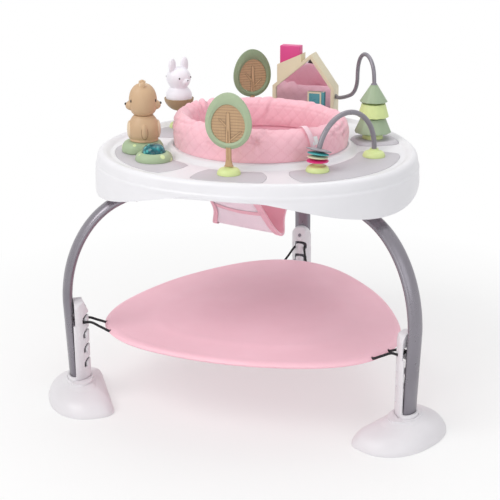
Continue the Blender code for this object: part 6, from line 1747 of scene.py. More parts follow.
def make_pads():
    """Light grey plates let into the deck under the toys."""
    for name, span in PADS.items():
        mesh = prism(name, smooth_outline(pad_outline(*span)), PAD_LOW, PAD_TOP)
        add_object(name, mesh, material("pad_grey"), None, (0, AXIS_Y, 0))
    rings = []
    for scale, height in ((1.0, PAD_LOW), (1.0, DECK_Z + 0.0008), (0.95, DECK_Z + 0.0035),
                          (0.88, PEDESTAL_TOP - 0.0008), (0.82, PEDESTAL_TOP)):
        rings.append([Vector((u * scale, PEDESTAL_OUT + (v - PEDESTAL_OUT) * scale, height))
                      for u, v in pedestal_outline()])
    rings = smoothed(rings, corner=75.0)
    add_object("pad_pine", closed_mesh("pad_pine", *skin(rings)), material("pad_grey"),
               bpy.data.objects["station_pine"])


# Seat

QUILT = 0.0245             # side of a sewn diamond
CUSHION_AROUND = 420
CUSHION_SECTION = 72


def give(mesh, name, kind, values):
    """Stores one value or vector per vertex."""
    layer = mesh.attributes.new(name, kind, "POINT")
    layer.data.foreach_set("value" if kind == "FLOAT" else "vector", values)


def cushion_section(angle):
    """The cushion's cross section at an angle: (radius, height) points."""
    low = SEAT_TOP + GAP
    channel = abs(sin(CUSHION_TUFTS * angle / 2)) ** 0.5
    puff = CUSHION_PUFF * channel
    top = CUSHION_TOP + CUSHION_LEAN * cos(angle - radians(CUSHION_LEAN_AT)) + puff * 0.5
    tall = top - low
    outer, inner = CUSHION_MID_R + CUSHION_HALF, CUSHION_MID_R - CUSHION_HALF
    foot = TRAY_HOLE_R - RING_PLAY
    return [
        (foot - 0.0006, low), (outer - 0.0020 + puff * 0.4, low + tall * 0.18),
        (outer - 0.0016 + puff * 0.7, low + tall * 0.46),
        (CUSHION_MID_R + CUSHION_HALF * 0.62, low + tall * 0.84),
        (CUSHION_MID_R - 0.0010, top), (CUSHION_MID_R - CUSHION_HALF * 0.72, low + tall * 0.86),
        (inner + 0.0010 - puff * 0.7, low + tall * 0.46), (inner + 0.0030, low + tall * 0.14),
        (inner + 0.0070, low),
    ]


# Gathers of the cushion: degrees, share of the way over the section, reach along, reach across, depth
GATHERS = (
    (150.0, 0.47, 0.026, 0.20, 0.0062), (160.0, 0.54, 0.020, 0.18, 0.0056),
    (139.0, 0.58, 0.026, 0.20, 0.0054), (126.0, 0.50, 0.020, 0.18, 0.0042),
    (169.0, 0.60, 0.018, 0.16, 0.0044), (96.0, 0.60, 0.020, 0.20, 0.0030),
    (104.0, 0.52, 0.010, 0.12, 0.0020), (352.0, 0.50, 0.012, 0.13, 0.0034),
    (2.0, 0.46, 0.012, 0.12, 0.0030), (12.0, 0.55, 0.016, 0.14, 0.0026),
    (280.0, 0.28, 0.030, 0.05, 0.0030), (262.0, 0.34, 0.040, 0.06, 0.0022),
    (210.0, 0.30, 0.020, 0.10, 0.0026), (232.0, 0.42, 0.016, 0.12, 0.0022),
    (318.0, 0.36, 0.030, 0.05, 0.0022), (60.0, 0.58, 0.018, 0.14, 0.0026),
    (30.0, 0.50, 0.012, 0.10, 0.0022), (178.0, 0.38, 0.016, 0.12, 0.0026),
    (196.0, 0.55, 0.014, 0.10, 0.0024),
)


# Where the cushion is stitched down: degrees, share of the way over the section, size
STITCHED_DOWN = ((281.0, 0.30, 1.3), (287.0, 0.43, 0.9), (251.0, 0.22, 0.7), (338.0, 0.30, 0.9),
                 (352.0, 0.26, 0.8))


# Creases that run along the cushion: degrees, share of the way over the section, reach along, depth
DRAGS = (
    (351.0, 0.36, 0.026, 0.0028), (357.0, 0.26, 0.034, 0.0024), (344.0, 0.45, 0.024, 0.0024),
    (4.0, 0.18, 0.024, 0.0020), (196.0, 0.30, 0.036, 0.0022), (207.0, 0.20, 0.044, 0.0018),
    (222.0, 0.40, 0.034, 0.0018), (301.0, 0.52, 0.040, 0.0012),
)


# Sewn diamonds; what is measured in diamonds says so, and the rest is in metres or shares of the section
FADE_ROWS = 5              # every lift fades over this many rows at the section's two ends
SEAM_WANDER = 0.10         # in diamonds
SEAM_FADE = 0.5            # the seam's paint reaches this far, in diamonds
PUFF_EDGE = 0.22           # a diamond is at its full height this far from its seams, in diamonds
PUFF_POWER = 0.55
PUFF_LEVEL = 0.62          # the puff, from 0 to 1, at which the skin lies on the section itself
PUFF_LEAST = 0.0003
PUFF_MORE = 0.0009         # added where the filling is thick
PUCKER_REACH = 0.10        # in diamonds, round the crossing of two seams
PUCKER_DEEP = 0.0011
# Painted shade in the pucker where two seams cross
PUCKER_SHADE = 0.35

# Gathers: a valley with a shoulder beside it, both as shares of the gather's reach along the cushion
GATHER_SLANT = 0.05
VALLEY_WIDE = 0.22
SHOULDER_AT = 0.5
SHOULDER_WIDE = 0.42
SHOULDER_TALL = 0.6
# A gather of the next depth is fully in painted shade
FULL_SHADE_DEPTH = 0.0034        # a gather of this depth is fully dark

# Where it is stitched down: a dent, with rays of folds round it
STITCH_REACH = 0.05
STITCH_RAYS = 7
RAY_REACH = 0.015
RAY_START = 0.004
RAY_TALL = 0.0015
DENT_REACH = 0.0045
DENT_DEEP = 0.0032

# Creases along it: a valley and the shoulder above it
DRAG_SLANT = 0.12
DRAG_WIDE = 0.0026
DRAG_SHOULDER_AT = 0.0075
DRAG_SHOULDER_WIDE = 0.0055

# A sewn line round the inner wall: its place and width are shares of the way over the section
INNER_SEAM_AT = 0.66
INNER_SEAM_WIDE = 0.010
INNER_SEAM_DEEP = 0.0008
# Painted shade in the dent of the sewn line
INNER_SEAM_SHADE = 0.25

# Slow unevenness: height, and how fine the noise is round the cushion and over the section
UNEVEN = ((0.0022, 4, 3), (0.0009, 11, 6))


def bell(x):
    """A bell curve of height 1."""
    return exp(-x ** 2)


def turned_from(angle, degrees_at):
    """The signed turn from a place on the cushion, in radians."""
    return (angle - radians(degrees_at) + pi) % (2 * pi) - pi


def noise_round(angle, waves, height):
    """Noise that closes on itself round the cushion."""
    return noise.noise(Vector((cos(angle) * waves, sin(angle) * waves, height)))


def gathers(angle, share, ends):
    """Lift and painted shade of each gather at a point of the cushion's skin."""
    for at_angle, at, reach_along, reach_across, deep in GATHERS:
        sway = turned_from(angle, at_angle) * CUSHION_MID_R
        sway += GATHER_SLANT * (share - at) * (1 if int(at_angle) % 2 else -1)
        reach = bell((share - at) / reach_across)
        valley = bell(sway / (reach_along * VALLEY_WIDE))
        shoulder = bell((sway - reach_along * SHOULDER_AT) / (reach_along * SHOULDER_WIDE))
        lift = reach * (shoulder * SHOULDER_TALL - valley) * deep * ends
        yield lift, reach * valley * min(1.0, deep / FULL_SHADE_DEPTH)


def stitched(angle, share, ends, whole):
    """Lift and painted shade of each stitched point; whole is the section's length."""
    for at_angle, at, size in STITCHED_DOWN:
        off = turned_from(angle, at_angle) * CUSHION_MID_R
        rise = (share - at) * whole
        away = hypot(off, rise) / size
        if away < STITCH_REACH:
            rays = cos(STITCH_RAYS * atan2(rise, off) + at_angle) * bell(away / RAY_REACH)
            rays *= min(1.0, away / RAY_START)
            dent = bell(away / DENT_REACH)
            yield (RAY_TALL * rays - DENT_DEEP * dent) * size * ends, max(0.7 * dent, -0.35 * rays)


def drags(angle, share, ends, whole):
    """Lift and painted shade of each fold that runs along the cushion."""
    for at_angle, at, reach_along, deep in DRAGS:
        off = turned_from(angle, at_angle) * CUSHION_MID_R
        reach = bell(off / reach_along)
        rise = (share - at) * whole - DRAG_SLANT * off
        valley = bell(rise / DRAG_WIDE)
        shoulder = bell((rise - DRAG_SHOULDER_AT) / DRAG_SHOULDER_WIDE)
        yield reach * (0.5 * shoulder - valley) * deep * ends, 0.8 * reach * valley


def skin_lift(angle, row, whole):
    """Of a point of the cushion's skin: lift off the section, painted shade, place in diamonds, way to a seam."""
    share = row / CUSHION_SECTION
    ends = min(1.0, row / FADE_ROWS, (CUSHION_SECTION - row) / FADE_ROWS)
    u = angle / (2 * pi) * round(2 * pi * CUSHION_MID_R / QUILT)
    v = share * whole / QUILT
    warp = SEAM_WANDER * noise_round(angle, 3, v * 0.7)
    a, b = u + v + warp, u - v + warp
    da, db = abs(a - round(a)), abs(b - round(b))
    near = min(da, db)
    puff = min(1.0, near / PUFF_EDGE) ** PUFF_POWER
    even = 0.5 + 0.5 * noise_round(angle, 2.2, share * 2.5 + 4)
    lift = (puff - PUFF_LEVEL) * (PUFF_LEAST + PUFF_MORE * even) * ends
    pucker = exp(-((da / PUCKER_REACH) ** 2 + (db / PUCKER_REACH) ** 2))
    lift -= pucker * PUCKER_DEEP * even * ends
    # dark holds painted shade: in puckers, gathers, stitched dents, folds and the sewn line
    dark = pucker * PUCKER_SHADE * even
    for folds in (gathers(angle, share, ends), stitched(angle, share, ends, whole),
                  drags(angle, share, ends, whole)):
        for more, darker in folds:
            lift += more
            dark = max(dark, darker)
    sewn = bell((share - INNER_SEAM_AT) / INNER_SEAM_WIDE)
    lift -= sewn * INNER_SEAM_DEEP * ends
    dark = max(dark, sewn * INNER_SEAM_SHADE)
    for tall, around, over in UNEVEN:
        lift += tall * noise_round(angle, around, share * over) * ends
    return lift, dark, (u, v), near


def even_points(line, count):
    """Points at even steps along a line, count of them after the first, and the line's length."""
    lengths = [0.0]
    for a, b in zip(line, line[1:]):
        lengths.append(lengths[-1] + (b - a).length)
    whole = lengths[-1]
    points, at = [], 0
    for k in range(count + 1):
        want = whole * k / count
        while at < len(line) - 2 and lengths[at + 1] < want:
            at += 1
        share = (want - lengths[at]) / (lengths[at + 1] - lengths[at])
        points.append(line[at].lerp(line[at + 1], min(share, 1.0)))
    return points, whole


def cushion_mesh():
    """The padded collar: diamonds sewn over it, puffed between the seams, with folds where it is drawn in."""
    rings, flows, seams, crease_shades = [], [], [], []
    for i in range(CUSHION_AROUND):
        angle = 2 * pi * i / CUSHION_AROUND
        line = smoothed([[Vector((r, 0, z))] for r, z in cushion_section(angle)], corner=70.0, steps=9)
        points, whole = even_points([row[0] for row in line], CUSHION_SECTION)
        ring = []
        for k, point in enumerate(points):
            before, after = points[max(k - 1, 0)], points[min(k + 1, CUSHION_SECTION)]
            along = (after - before).normalized()
            lift, dark, (u, v), near = skin_lift(angle, k, whole)
            place = point + Vector((along.z, 0, -along.x)) * lift
            ring.append(Vector((place.x * cos(angle), place.x * sin(angle), place.z)))
            flows += [u * QUILT, v * QUILT, 0.0]
            seams.append(1.0 - min(1.0, near / SEAM_FADE))
            # Painted shade of the folds, stored for the quilt's colour
            crease_shades.append(min(dark, 1.0))
        rings.append(ring)
    points, faces = skin(rings, closed=True)
    mesh = closed_mesh("seat_cushion", points, faces, smooth=80.0)
    give(mesh, "flow", "FLOAT_VECTOR", flows)
    give(mesh, "seam", "FLOAT", seams)
    give(mesh, "crease", "FLOAT", crease_shades)
    return mesh


STRIP_COLUMNS = 64
STRIP_ROWS = 72            # from the hem to the lowest line, and as many up the other side
STRIP_EVEN = 0.12          # this share of the squared depth shrinks evenly downwards, the rest with a power
STRIP_POWER = 3.5


def strip_grid():
    """The hanging strip's points: down its front side and up its back, row by row."""
    middle, half = strip_span(0.0)

    def strip_point(share, drop, side):
        mid, span = strip_span(drop)
        hem_x = middle + half * share
        up = 1 - drop
        depth = sqrt(max(STRIP_EVEN * up + (1 - STRIP_EVEN) * up ** STRIP_POWER, 0))
        out = sqrt(max(SLING_R ** 2 - hem_x ** 2, 0)) * depth
        fold = 0.0025 * sin(3.1 * share + 0.8) * sin(pi * drop)
        fold += 0.0011 * noise.noise(Vector((share * 3, drop * 5, side))) * sin(pi * drop)
        return Vector((mid + span * share, side * (out + fold) + SLING_ASIDE * drop,
                       SLING_HEM - (SLING_HEM - SLING_LOW) * drop ** 0.8))

    grid = []
    for i in range(2 * STRIP_ROWS + 1):
        side = -1 if i <= STRIP_ROWS else 1
        drop = (i if i <= STRIP_ROWS else 2 * STRIP_ROWS - i) / STRIP_ROWS
        drop = 1 - (1 - drop) ** 1.6
        grid.append([strip_point(2 * j / STRIP_COLUMNS - 1, drop, side) for j in range(STRIP_COLUMNS + 1)])
    return grid


def grid_mesh(name, grid, closed=False, turned_over=False):
    """A sheet through a grid of points, with its own lengths along and across stored as flow."""
    points = [p for row in grid for p in row]
    wide = len(grid[0])
    faces = []
    for i in range(len(grid) - 1):
        for j in range(wide - (0 if closed else 1)):
            k = (j + 1) % wide
            face = (i * wide + j, i * wide + k, (i + 1) * wide + k, (i + 1) * wide + j)
            faces.append(face[::-1] if turned_over else face)
    mesh = bpy.data.meshes.new(name)
    mesh.from_pydata([tuple(p) for p in points], [], faces)
    mesh.shade_smooth()
    flows = []
    down = [0.0] * wide
    for i, row in enumerate(grid):
        along = 0.0
        for j, p in enumerate(row):
            if j:
                along += (p - row[j - 1]).length
            if i:
                down[j] += (p - grid[i - 1][j]).length
            flows += [along, down[j], 0.0]
    give(mesh, "flow", "FLOAT_VECTOR", flows)
    return mesh


BAND_COLUMNS = 180
BAND_ROWS = 10
# The binding's cross section, wrapped round the strip's edge: inwards from the edge, off the strip's face
BINDING_SECTION = ((0.0118, 0.0007), (0.0108, 0.0013), (0.0050, 0.0016), (0.0006, 0.0014),
                   (-0.0009, 0.0002), (-0.0009, -0.0012), (0.0006, -0.0027),
                   (0.0050, -0.0030), (0.0108, -0.0027), (0.0118, -0.0020))
# This many columns in from the strip's edge, the seam ends; a binding's inward direction is taken to there
BINDING_COLUMNS = 6
SEAM_ROW = 25.4            # the seam's upper edge, in rows of the strip, at its left end
SEAM_RISE = 0.6            # it climbs this many rows to the right
SEAM_STEPS = 7
SEAM_STEP = 0.85           # in rows of the strip
SEAM_PROUD = 0.0009
SEAM_CROWN = 0.0006


def thicken(piece, thickness, offset, slots_on=0):
    """Gives a sheet its thickness; slots_on moves the new side to a later material slot."""
    thick = piece.modifiers.new("thickness", "SOLIDIFY")
    thick.thickness = thickness
    thick.offset = offset
    thick.material_offset = slots_on


def edging_grid(grid, column, step):
    """The binding round one long edge of the strip; step points from the edge into the strip."""
    edge = [row[column] for row in grid]
    inside = [row[column + step * BINDING_COLUMNS] for row in grid]
    edging = []
    for i, (p, q) in enumerate(zip(edge, inside)):
        along = edge[min(i + 1, len(grid) - 1)] - edge[max(i - 1, 0)]
        inwards = (q - p).normalized()
        face = along.cross(inwards).normalized() * (-1 if step > 0 else 1)
        edging.append([p + inwards * w + face * d for w, d in BINDING_SECTION])
    return edging


def seam_grid(grid):
    """The sewn line across the strip's front side, between the two bindings."""
    last = len(grid[0]) - 1
    seam = []
    for j in range(BINDING_COLUMNS, last - BINDING_COLUMNS + 2):
        share = (j - BINDING_COLUMNS) / (last + 1 - 2 * BINDING_COLUMNS)
        points = []
        for w in range(SEAM_STEPS):
            at = SEAM_ROW - SEAM_RISE * share + w * SEAM_STEP
            i = int(at)
            down = grid[i + 2][j] - grid[i][j]
            along = grid[i][min(j + 1, last)] - grid[i][j - 1]
            face = down.cross(along).normalized()
            if face.y > 0:
                face = -face
            proud = SEAM_PROUD + SEAM_CROWN * sin(pi * w / (SEAM_STEPS - 1))
            points.append(grid[i][j].lerp(grid[i + 1][j], at - i) + face * proud)
        seam.append(points)
    return seam


def make_seat():
    """The turning ring with its quilted cushion, the sling and the tag."""
    flange_low = LEDGE_TOP + GAP
    top_low = SEAT_TOP - TOP_FLANGE_THICK
    top_r = TRAY_HOLE_R - RING_PLAY
    place = (0, AXIS_Y, 0)
    profile = [(SLEEVE_IN_R, SEAT_TOP), (SLEEVE_IN_R, SLEEVE_LOW), (SLEEVE_OUT_R, SLEEVE_LOW),
               (SLEEVE_OUT_R, flange_low), (FLANGE_R, flange_low), (FLANGE_R, flange_low + FLANGE_THICK),
               (SLEEVE_IN_R + SLEEVE_NECK, top_low), (top_r, top_low), (top_r, SEAT_TOP)]
    ring = turned("seat_ring", profile, SEAT_SEGMENTS, ring=True)
    add_object("seat_ring", ring, material("ring_white"), None, place)
    quilt = fabric("quilt", srgb(255, 198, 210), stitch=srgb(236, 163, 180), vary=0.03)
    add_object("seat_cushion", cushion_mesh(), quilt, None, place)
    make_sling(place, radians(SLING_TURN))
    make_tag()


def make_sling(place, turn):
    """The band below the ring and the knitted strip that hangs from it, with two bindings and a seam."""
    knit = mesh_cloth("sling_mesh", srgb(252, 238, 247))
    inner = fabric("sling_pink", srgb(228, 164, 180), pitch=0.0013)
    bind = fabric("binding_pink", srgb(246, 190, 204), pitch=0.0009)
    grid = strip_grid()
    body = grid_mesh("sling_strip", grid, turned_over=True)
    strip = add_object("sling_strip", body, knit, None, place, turn)
    body.materials.append(inner)
    thicken(strip, SLING_THICK, -1.0, 1)
    strip["rides"] = "seat"

    top = SEAT_TOP - GAP
    band = []
    for i in range(BAND_ROWS + 1):
        height = top - (top - SLING_HEM) * i / BAND_ROWS
        angles = [2 * pi * j / BAND_COLUMNS for j in range(BAND_COLUMNS)]
        band.append([Vector((SLING_R * cos(angle), SLING_R * sin(angle), height)) for angle in angles])
    collar = add_object("seat_sling", grid_mesh("sling_band", band, closed=True), bind, None, place, turn)
    thicken(collar, SLING_THICK, -1.0)

    last = len(grid[0]) - 1
    edgings = [("sling_binding_left", "binding", edging_grid(grid, 0, 1)),
               ("sling_binding_right", "binding", edging_grid(grid, last, -1)),
               ("sling_seam", "seam", seam_grid(grid))]
    for name, mesh_name, points in edgings:
        piece = add_object(name, grid_mesh(mesh_name, points), bind, None, place, turn)
        piece["rides"] = "seat"


TAG_THICK = 0.0006
TAG_COLUMNS = 8


def make_tag():
    """The pale ribbon loop and the blank white tag on the cushion's inner front."""
    bits = (("seat_ribbon", "ribbon", 0.0106, ((314.6, 0.1480, 0.5600), (315.0, 0.1560, 0.5610),
                                               (315.4, 0.1640, 0.5560), (316.0, 0.1712, 0.5470),
                                               (316.9, 0.1748, 0.5340), (317.8, 0.1750, 0.5240))),
            ("seat_tag", "tag_white", 0.0120, ((319.1, 0.1716, 0.5440), (319.2, 0.1742, 0.5370),
                                               (319.3, 0.1754, 0.5290))))
    for name, paint, wide, route in bits:
        rows = smoothed([[polar(r, a, z) - Vector((0, AXIS_Y, 0))] for a, r, z in route], steps=6)
        grid = []
        for (p,) in rows:
            across = Vector((-p.y, p.x, 0)).normalized()
            grid.append([p + across * wide * (k / TAG_COLUMNS - 0.5) for k in range(TAG_COLUMNS + 1)])
        mesh = grid_mesh(name, grid)
        piece = add_object(name, mesh, material(paint), None, (0, AXIS_Y, 0))
        thicken(piece, TAG_THICK, 0.0)
        piece["rides"] = "seat"


# Finishing

def world_mesh(thing):
    """The piece's finished mesh in world space."""
    graph = bpy.context.evaluated_depsgraph_get()
    made = bpy.data.meshes.new_from_object(thing.evaluated_get(graph), depsgraph=graph)
    made.transform(thing.matrix_world)
    return made


def settle():
    """Applies every modifier and place, then removes the cutters and stations."""
    bpy.context.view_layer.update()
    finished = [(thing, world_mesh(thing)) for thing in MADE]
    for thing, mesh in finished:
        thing.modifiers.clear()
        thing.parent = None
        thing.location = (0, 0, 0)
        thing.rotation_euler = (0, 0, 0)
        thing.data = mesh
    for tool in CUTTERS:
        bpy.data.objects.remove(tool, do_unlink=True)
    for mark in [o for o in bpy.data.objects if o.type == "EMPTY" and not o.name.startswith("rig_")
                 and o.name.split(".")[0] not in BODY_NAMES]:
        if mark.name.startswith(("station_", "stem_", "light_bite")):
            bpy.data.objects.remove(mark, do_unlink=True)


def remelt(thing, voxel, rounds, factor=0.5):
    """Blends a piece's joined forms into one smooth skin."""
    step = thing.modifiers.new("melt", "REMESH")
    step.mode = "VOXEL"
    step.voxel_size = voxel
    step.use_smooth_shade = True
    ease = thing.modifiers.new("ease", "SMOOTH")
    ease.factor = factor
    ease.iterations = rounds
    mesh = world_mesh(thing)
    paint = thing.data.materials[0]
    thing.modifiers.clear()
    mesh.materials.clear()
    mesh.materials.append(paint)
    thing.data = mesh


def soften(thing, width, segments=3, angle=38.0):
    """Rounds a moulded piece's edges."""
    step = thing.modifiers.new("round", "BEVEL")
    step.width = width
    step.segments = segments
    step.limit_method = "ANGLE"
    step.angle_limit = radians(angle)
    step.use_clamp_overlap = True
    step.harden_normals = False
    mesh = world_mesh(thing)
    thing.modifiers.clear()
    thing.data = mesh
    mesh.shade_smooth()
    mesh.set_sharp_from_angle(angle=radians(50.0))


BODY_NAMES = set(frame["bodies"])
# Width of the rounding of edges, and the pieces that have it
ROUNDED = {
    0.0005: ("foot_left", "foot_right", "foot_back", "seat_ring", "house_window", "light_base", "pine_base",
             "arch_dome_left", "arch_dome_right"),
    0.0006: ("pad_bear", "pad_tree_front", "pad_arch", "pad_bunny", "pad_back", "tree_front_trunk",
             "tree_back_trunk", "bunny_cup"),
    0.0007: ("tray_top", "pine_tier_top", "pine_tier_middle", "pine_tier_bottom"),
    0.0008: ("arch_disk_magenta", "arch_disk_cream", "arch_disk_teal", "arch_disk_grey"),
    0.0009: ("house_frame",),
    0.0012: ("leg_casing_left", "leg_casing_right", "leg_casing_back", "house_chimney", "tree_front_leaf",
             "tree_back_leaf"),
}


# Details of the toys

def detail(name, mesh, paint, mark, place, body):
    """A small piece that moves with the named body."""
    piece = add_object(name, mesh, material(paint), mark, place)
    piece["rides"] = body
    return piece


def face_details():
    """Eyes and noses of both animals, and the bear's ears, arms and bellies, each on both faces."""
    mark = bpy.data.objects["station_bear"]
    tall = BEAR_HEAD_TOP - BEAR_NECK_Z
    wide = BEAR_HEAD_R
    head = (0, 0, BEAR_NECK_Z)
    body = (0, 0, BEAR_RING_Z)
    for tag, side in (("in", -1), ("out", 1)):
        nose = ball("nose", (0.0036, 0.0024, 0.0026), (0, side * (wide + 0.0062), tall * 0.355))
        detail("bear_nose_" + tag, nose, "dark", mark, head, "bear_head")
        for k, x in enumerate((-BEAR_EYE_X, BEAR_EYE_X)):
            eye = ball("eye", (0.0021, 0.0015, 0.0030), (x, side * BEAR_EYE_OUT, tall * 0.475))
            detail("bear_eye_%s_%d" % (tag, k), eye, "dark", mark, head, "bear_head")
            ear_place = (wide * BEAR_EAR_AT * (1 if k else -1), side * 0.0052, tall * 0.975)
            inner = ball("inner_ear", (0.0026, 0.0016, 0.0042), ear_place)
            detail("bear_inner_ear_%s_%d" % (tag, k), inner, "bear_cream", mark, head, "bear_head")
        arm = ball("arm", (0.0044, 0.0060, 0.0125), (side * (BEAR_BODY_R - 0.0014), 0.0, BEAR_ARM_Z))
        detail("bear_arm_" + tag, arm, "bear_tan", mark, body, "bear_body")
        # A darker shell just behind each arm shows as a dark rim round it: painted shade at the arm's edge
        line = ball("arm_line", (0.0034, 0.0072, 0.0138), (side * (BEAR_BODY_R - 0.0018), 0.0, BEAR_ARM_Z))
        detail("bear_arm_line_" + tag, line, "bear_line", mark, body, "bear_body")
        ear = ball("ear", (0.0044, 0.0060, 0.0068), (side * wide * BEAR_EAR_AT, 0, tall * BEAR_EAR_RISE))
        detail("bear_ear_" + tag, ear, "bear_tan", mark, head, "bear_head")
        belly = ball("belly", (0.0150, 0.0050, 0.0175), (0, side * (BEAR_BODY_R - 0.0034), 0.0215))
        detail("bear_belly_" + tag, belly, "bear_cream", mark, body, "bear_body")

    mark = bpy.data.objects["station_bunny"]
    base = BUNNY_CUP_TOP - BUNNY_SEAT_DEEP + GAP
    middle = (BUNNY_NECK_Z + BUNNY_HEAD_TOP) / 2 - base - BUNNY_HEAD_SUNK
    for tag, side in (("in", -1), ("out", 1)):
        nose = ball("nose", (0.0017, 0.0012, 0.0013), (0, side * (BUNNY_HEAD_R + 0.0038), middle - 0.0030))
        detail("bunny_nose_" + tag, nose, "dark", mark, (0, 0, base), "bunny_figure")
        for k, x in enumerate((-BUNNY_EYE_X, BUNNY_EYE_X)):
            eye = ball("eye", (0.0017, 0.0013, 0.0020), (x, side * BUNNY_EYE_OUT, middle + 0.0015))
            detail("bunny_eye_%s_%d" % (tag, k), eye, "dark", mark, (0, 0, base), "bunny_figure")


PANEL_ROWS = 150
PANEL_COLUMNS = 60
RIDGES = 13
RIDGE_TALL = 0.0006
RIDGE_BASE = 0.0001
BRANCH_HALF = 0.0014
# Painted shade beside the post and the branches fades over the next distance
CREVICE_SHADE_REACH = 0.0011     # the dark beside the post and the branches fades over this
SLIT_DEEP = 0.0013
CUT_BEYOND = 0.002         # a cutter starts this far outside the trunk


def panel_shade(point, middle, tall, wide, groove, branches):
    """Painted shade of the panel at a point: in its hollows between the ridges, and close beside the post and the
    branches.
    """
    x, z = point.x, point.z
    gap = abs(x) - POST_HALF * (1.0 if z < middle else max(0.0, 0.9 - 0.6 * (z - middle) / tall))
    lines = [(gap if z < middle + tall * 0.6 else 1.0)]
    for side, low, high in branches:
        a, b = Vector((0, middle + tall * low)), Vector((wide * side, middle + tall * high))
        along = b - a
        share = min(max((Vector((x, z)) - a).dot(along) / along.length_squared, 0.0), 1.0)
        lines.append((Vector((x, z)) - a - along * share).length - BRANCH_HALF)
    near = max(0.0, min(lines))
    return min(1.0, 0.75 * groove ** 3 + 0.9 * bell(near / CREVICE_SHADE_REACH))


def tree_details(name, lift):
    """The panel's level ridges on both faces, with painted shade between them, and the slit down the lower trunk."""
    trunk = bpy.data.objects["show_" + name + "_trunk"]
    mark = trunk.parent
    crown = TREE_MIDDLE_Z + lift - mark.location.z
    panel_w = TREE_WIDE / 2 - TREE_BORDER_SIDE
    low = crown - TREE_TALL / 2 + TREE_BORDER_LOW
    top = crown + TREE_TALL / 2 - TREE_BORDER_TOP
    tall = (top - low) / 2
    middle = low + tall
    rows, groove_shades = [], []
    for i in range(1, PANEL_ROWS):
        s = 2 * i / PANEL_ROWS - 1
        width = panel_w * sqrt(1 - s * s) * (1 - 0.10 * s)
        phase = (s * 0.5 + 0.5) * RIDGES % 1.0
        height = RIDGE_TALL * (1 - abs(2 * phase - 1) ** 3) + RIDGE_BASE
        z = middle + tall * s
        edge = min(1.0, (1 - abs(s)) * 12)
        depth = PANEL_THICK / 2 + height * edge
        steps = [width * (2 * j / PANEL_COLUMNS - 1) for j in range(PANEL_COLUMNS + 1)]
        front = [Vector((x, -depth, z)) for x in steps]
        rear = [Vector((-x, depth, z)) for x in steps]
        rows.append(front + rear)
        groove_shades += [panel_shade(p, middle, tall, panel_w, abs(2 * phase - 1), BRANCHES[name])
                    for p in front + rear]
    ridged = closed_mesh(name + "_ridges", *skin(rows))
    give(ridged, "groove", "FLOAT", groove_shades)
    piece = add_object(name + "_ridges", ridged, PAINTS["wood_panel"], mark)
    piece["rides"] = name
    depth = PANEL_THICK / 2 + POST_PROUD
    slit = [(-0.0012, 0.012), (0.0012, 0.012), (0.0009, middle - tall * 0.42), (0.0, middle - tall * 0.30),
            (-0.0009, middle - tall * 0.42)]
    for tag, lo, hi in (("front", -depth - CUT_BEYOND, -depth + SLIT_DEEP),
                        ("rear", depth - SLIT_DEEP, depth + CUT_BEYOND)):
        slot = prism("slit", slit, lo, hi, "XZY", smooth=None)
        combine(trunk, cutter("slit_%s_%s" % (name, tag), slot, mark))


def house_details():
    """The window's border, a dark triangle at the roof's peak as painted shade, the wire's collar and the pine's stop.
    """
    mark = bpy.data.objects["station_house"]
    low, high = DOOR_Z
    half = DOOR_THICK / 2 + 0.0007
    wide = 0.0036
    x0, x1 = DOOR_X[0] - 0.0002, DOOR_X[1] - 0.0006
    rings = []
    for x, z, dx, dz in ((x0, low, 1, 1), (x1, low, -1, 1), (x1, high, -1, -1), (x0, high, 1, -1)):
        rings.append([Vector((x + dx * w, DOOR_PIN_Y + d, z + dz * w)) for w, d in
                      ((0, -half * 0.8), (0.0005, -half), (wide - 0.0008, -half), (wide, -half * 0.6),
                       (wide, half * 0.6), (wide - 0.0008, half), (0.0005, half), (0, half * 0.8))])
    border = add_object("window_border", closed_mesh("window_border", *skin(rings, closed=True)),
                        material("house_beige"), mark)
    border["rides"] = "window"
    # Painted shade: a dark triangle on the mirror's face stands for the shaded gap under the roof's peak
    peak = HOUSE_PEAK - HOUSE_WALL * 1.32
    shape = [(HOUSE_PEAK_X - 0.0080, peak - 0.0096), (HOUSE_PEAK_X + 0.0066, peak - 0.0096),
             (HOUSE_PEAK_X, peak - 0.0010)]
    dark = add_object("house_peak_gap", prism("peak", smooth_outline(shape, 130.0), MIRROR_FRONT - 0.0006,
                                              MIRROR_FRONT + 0.0002, "XZY"), material("dark"), mark)
    dark["rides"] = "frame"
    start, stop = wire_ends()
    along = (stop - start).normalized()
    up = Vector((0, 0, WIRE_ROUTE[0][1]))
    points = [start + up + along * s for s in (0.0031, 0.0036, 0.0052, 0.0060)]
    collar = tube_mesh("wire_collar", points, WIRE_R + 0.0011, 32, wire_across())
    piece = add_object("wire_collar", collar, material("dark_steel"))
    piece["rides"] = "frame"
    mark = bpy.data.objects["station_pine"]
    z = PINE_TIERS[0][2] + 0.0004
    profile = [(WIRE_R + 0.0002, 0), (WIRE_R + 0.0022, 0), (WIRE_R + 0.0022, 0.0010),
               (WIRE_R + 0.0014, 0.0022), (WIRE_R + 0.0002, 0.0022)]
    piece = add_object("pine_stop", turned("pine_stop", profile, 40, ring=True), material("dark_steel"),
                       mark, (0, 0, z))
    piece["rides"] = "frame"


def scallop(thing, centre, waves, share):
    """Gives a tier's lower edge a slight wave."""
    low, high = min(v.co.z for v in thing.data.vertices), max(v.co.z for v in thing.data.vertices)
    for vertex in thing.data.vertices:
        x, y = vertex.co.x - centre.x, vertex.co.y - centre.y
        radius = hypot(x, y)
        if radius > PINE_HUB_R * 1.4:
            wave = 0.5 - 0.5 * cos(waves * atan2(y, x))
            amount = 1 - share * wave * (1 - (vertex.co.z - low) / (high - low))
            vertex.co.x = centre.x + x * amount
            vertex.co.y = centre.y + y * amount


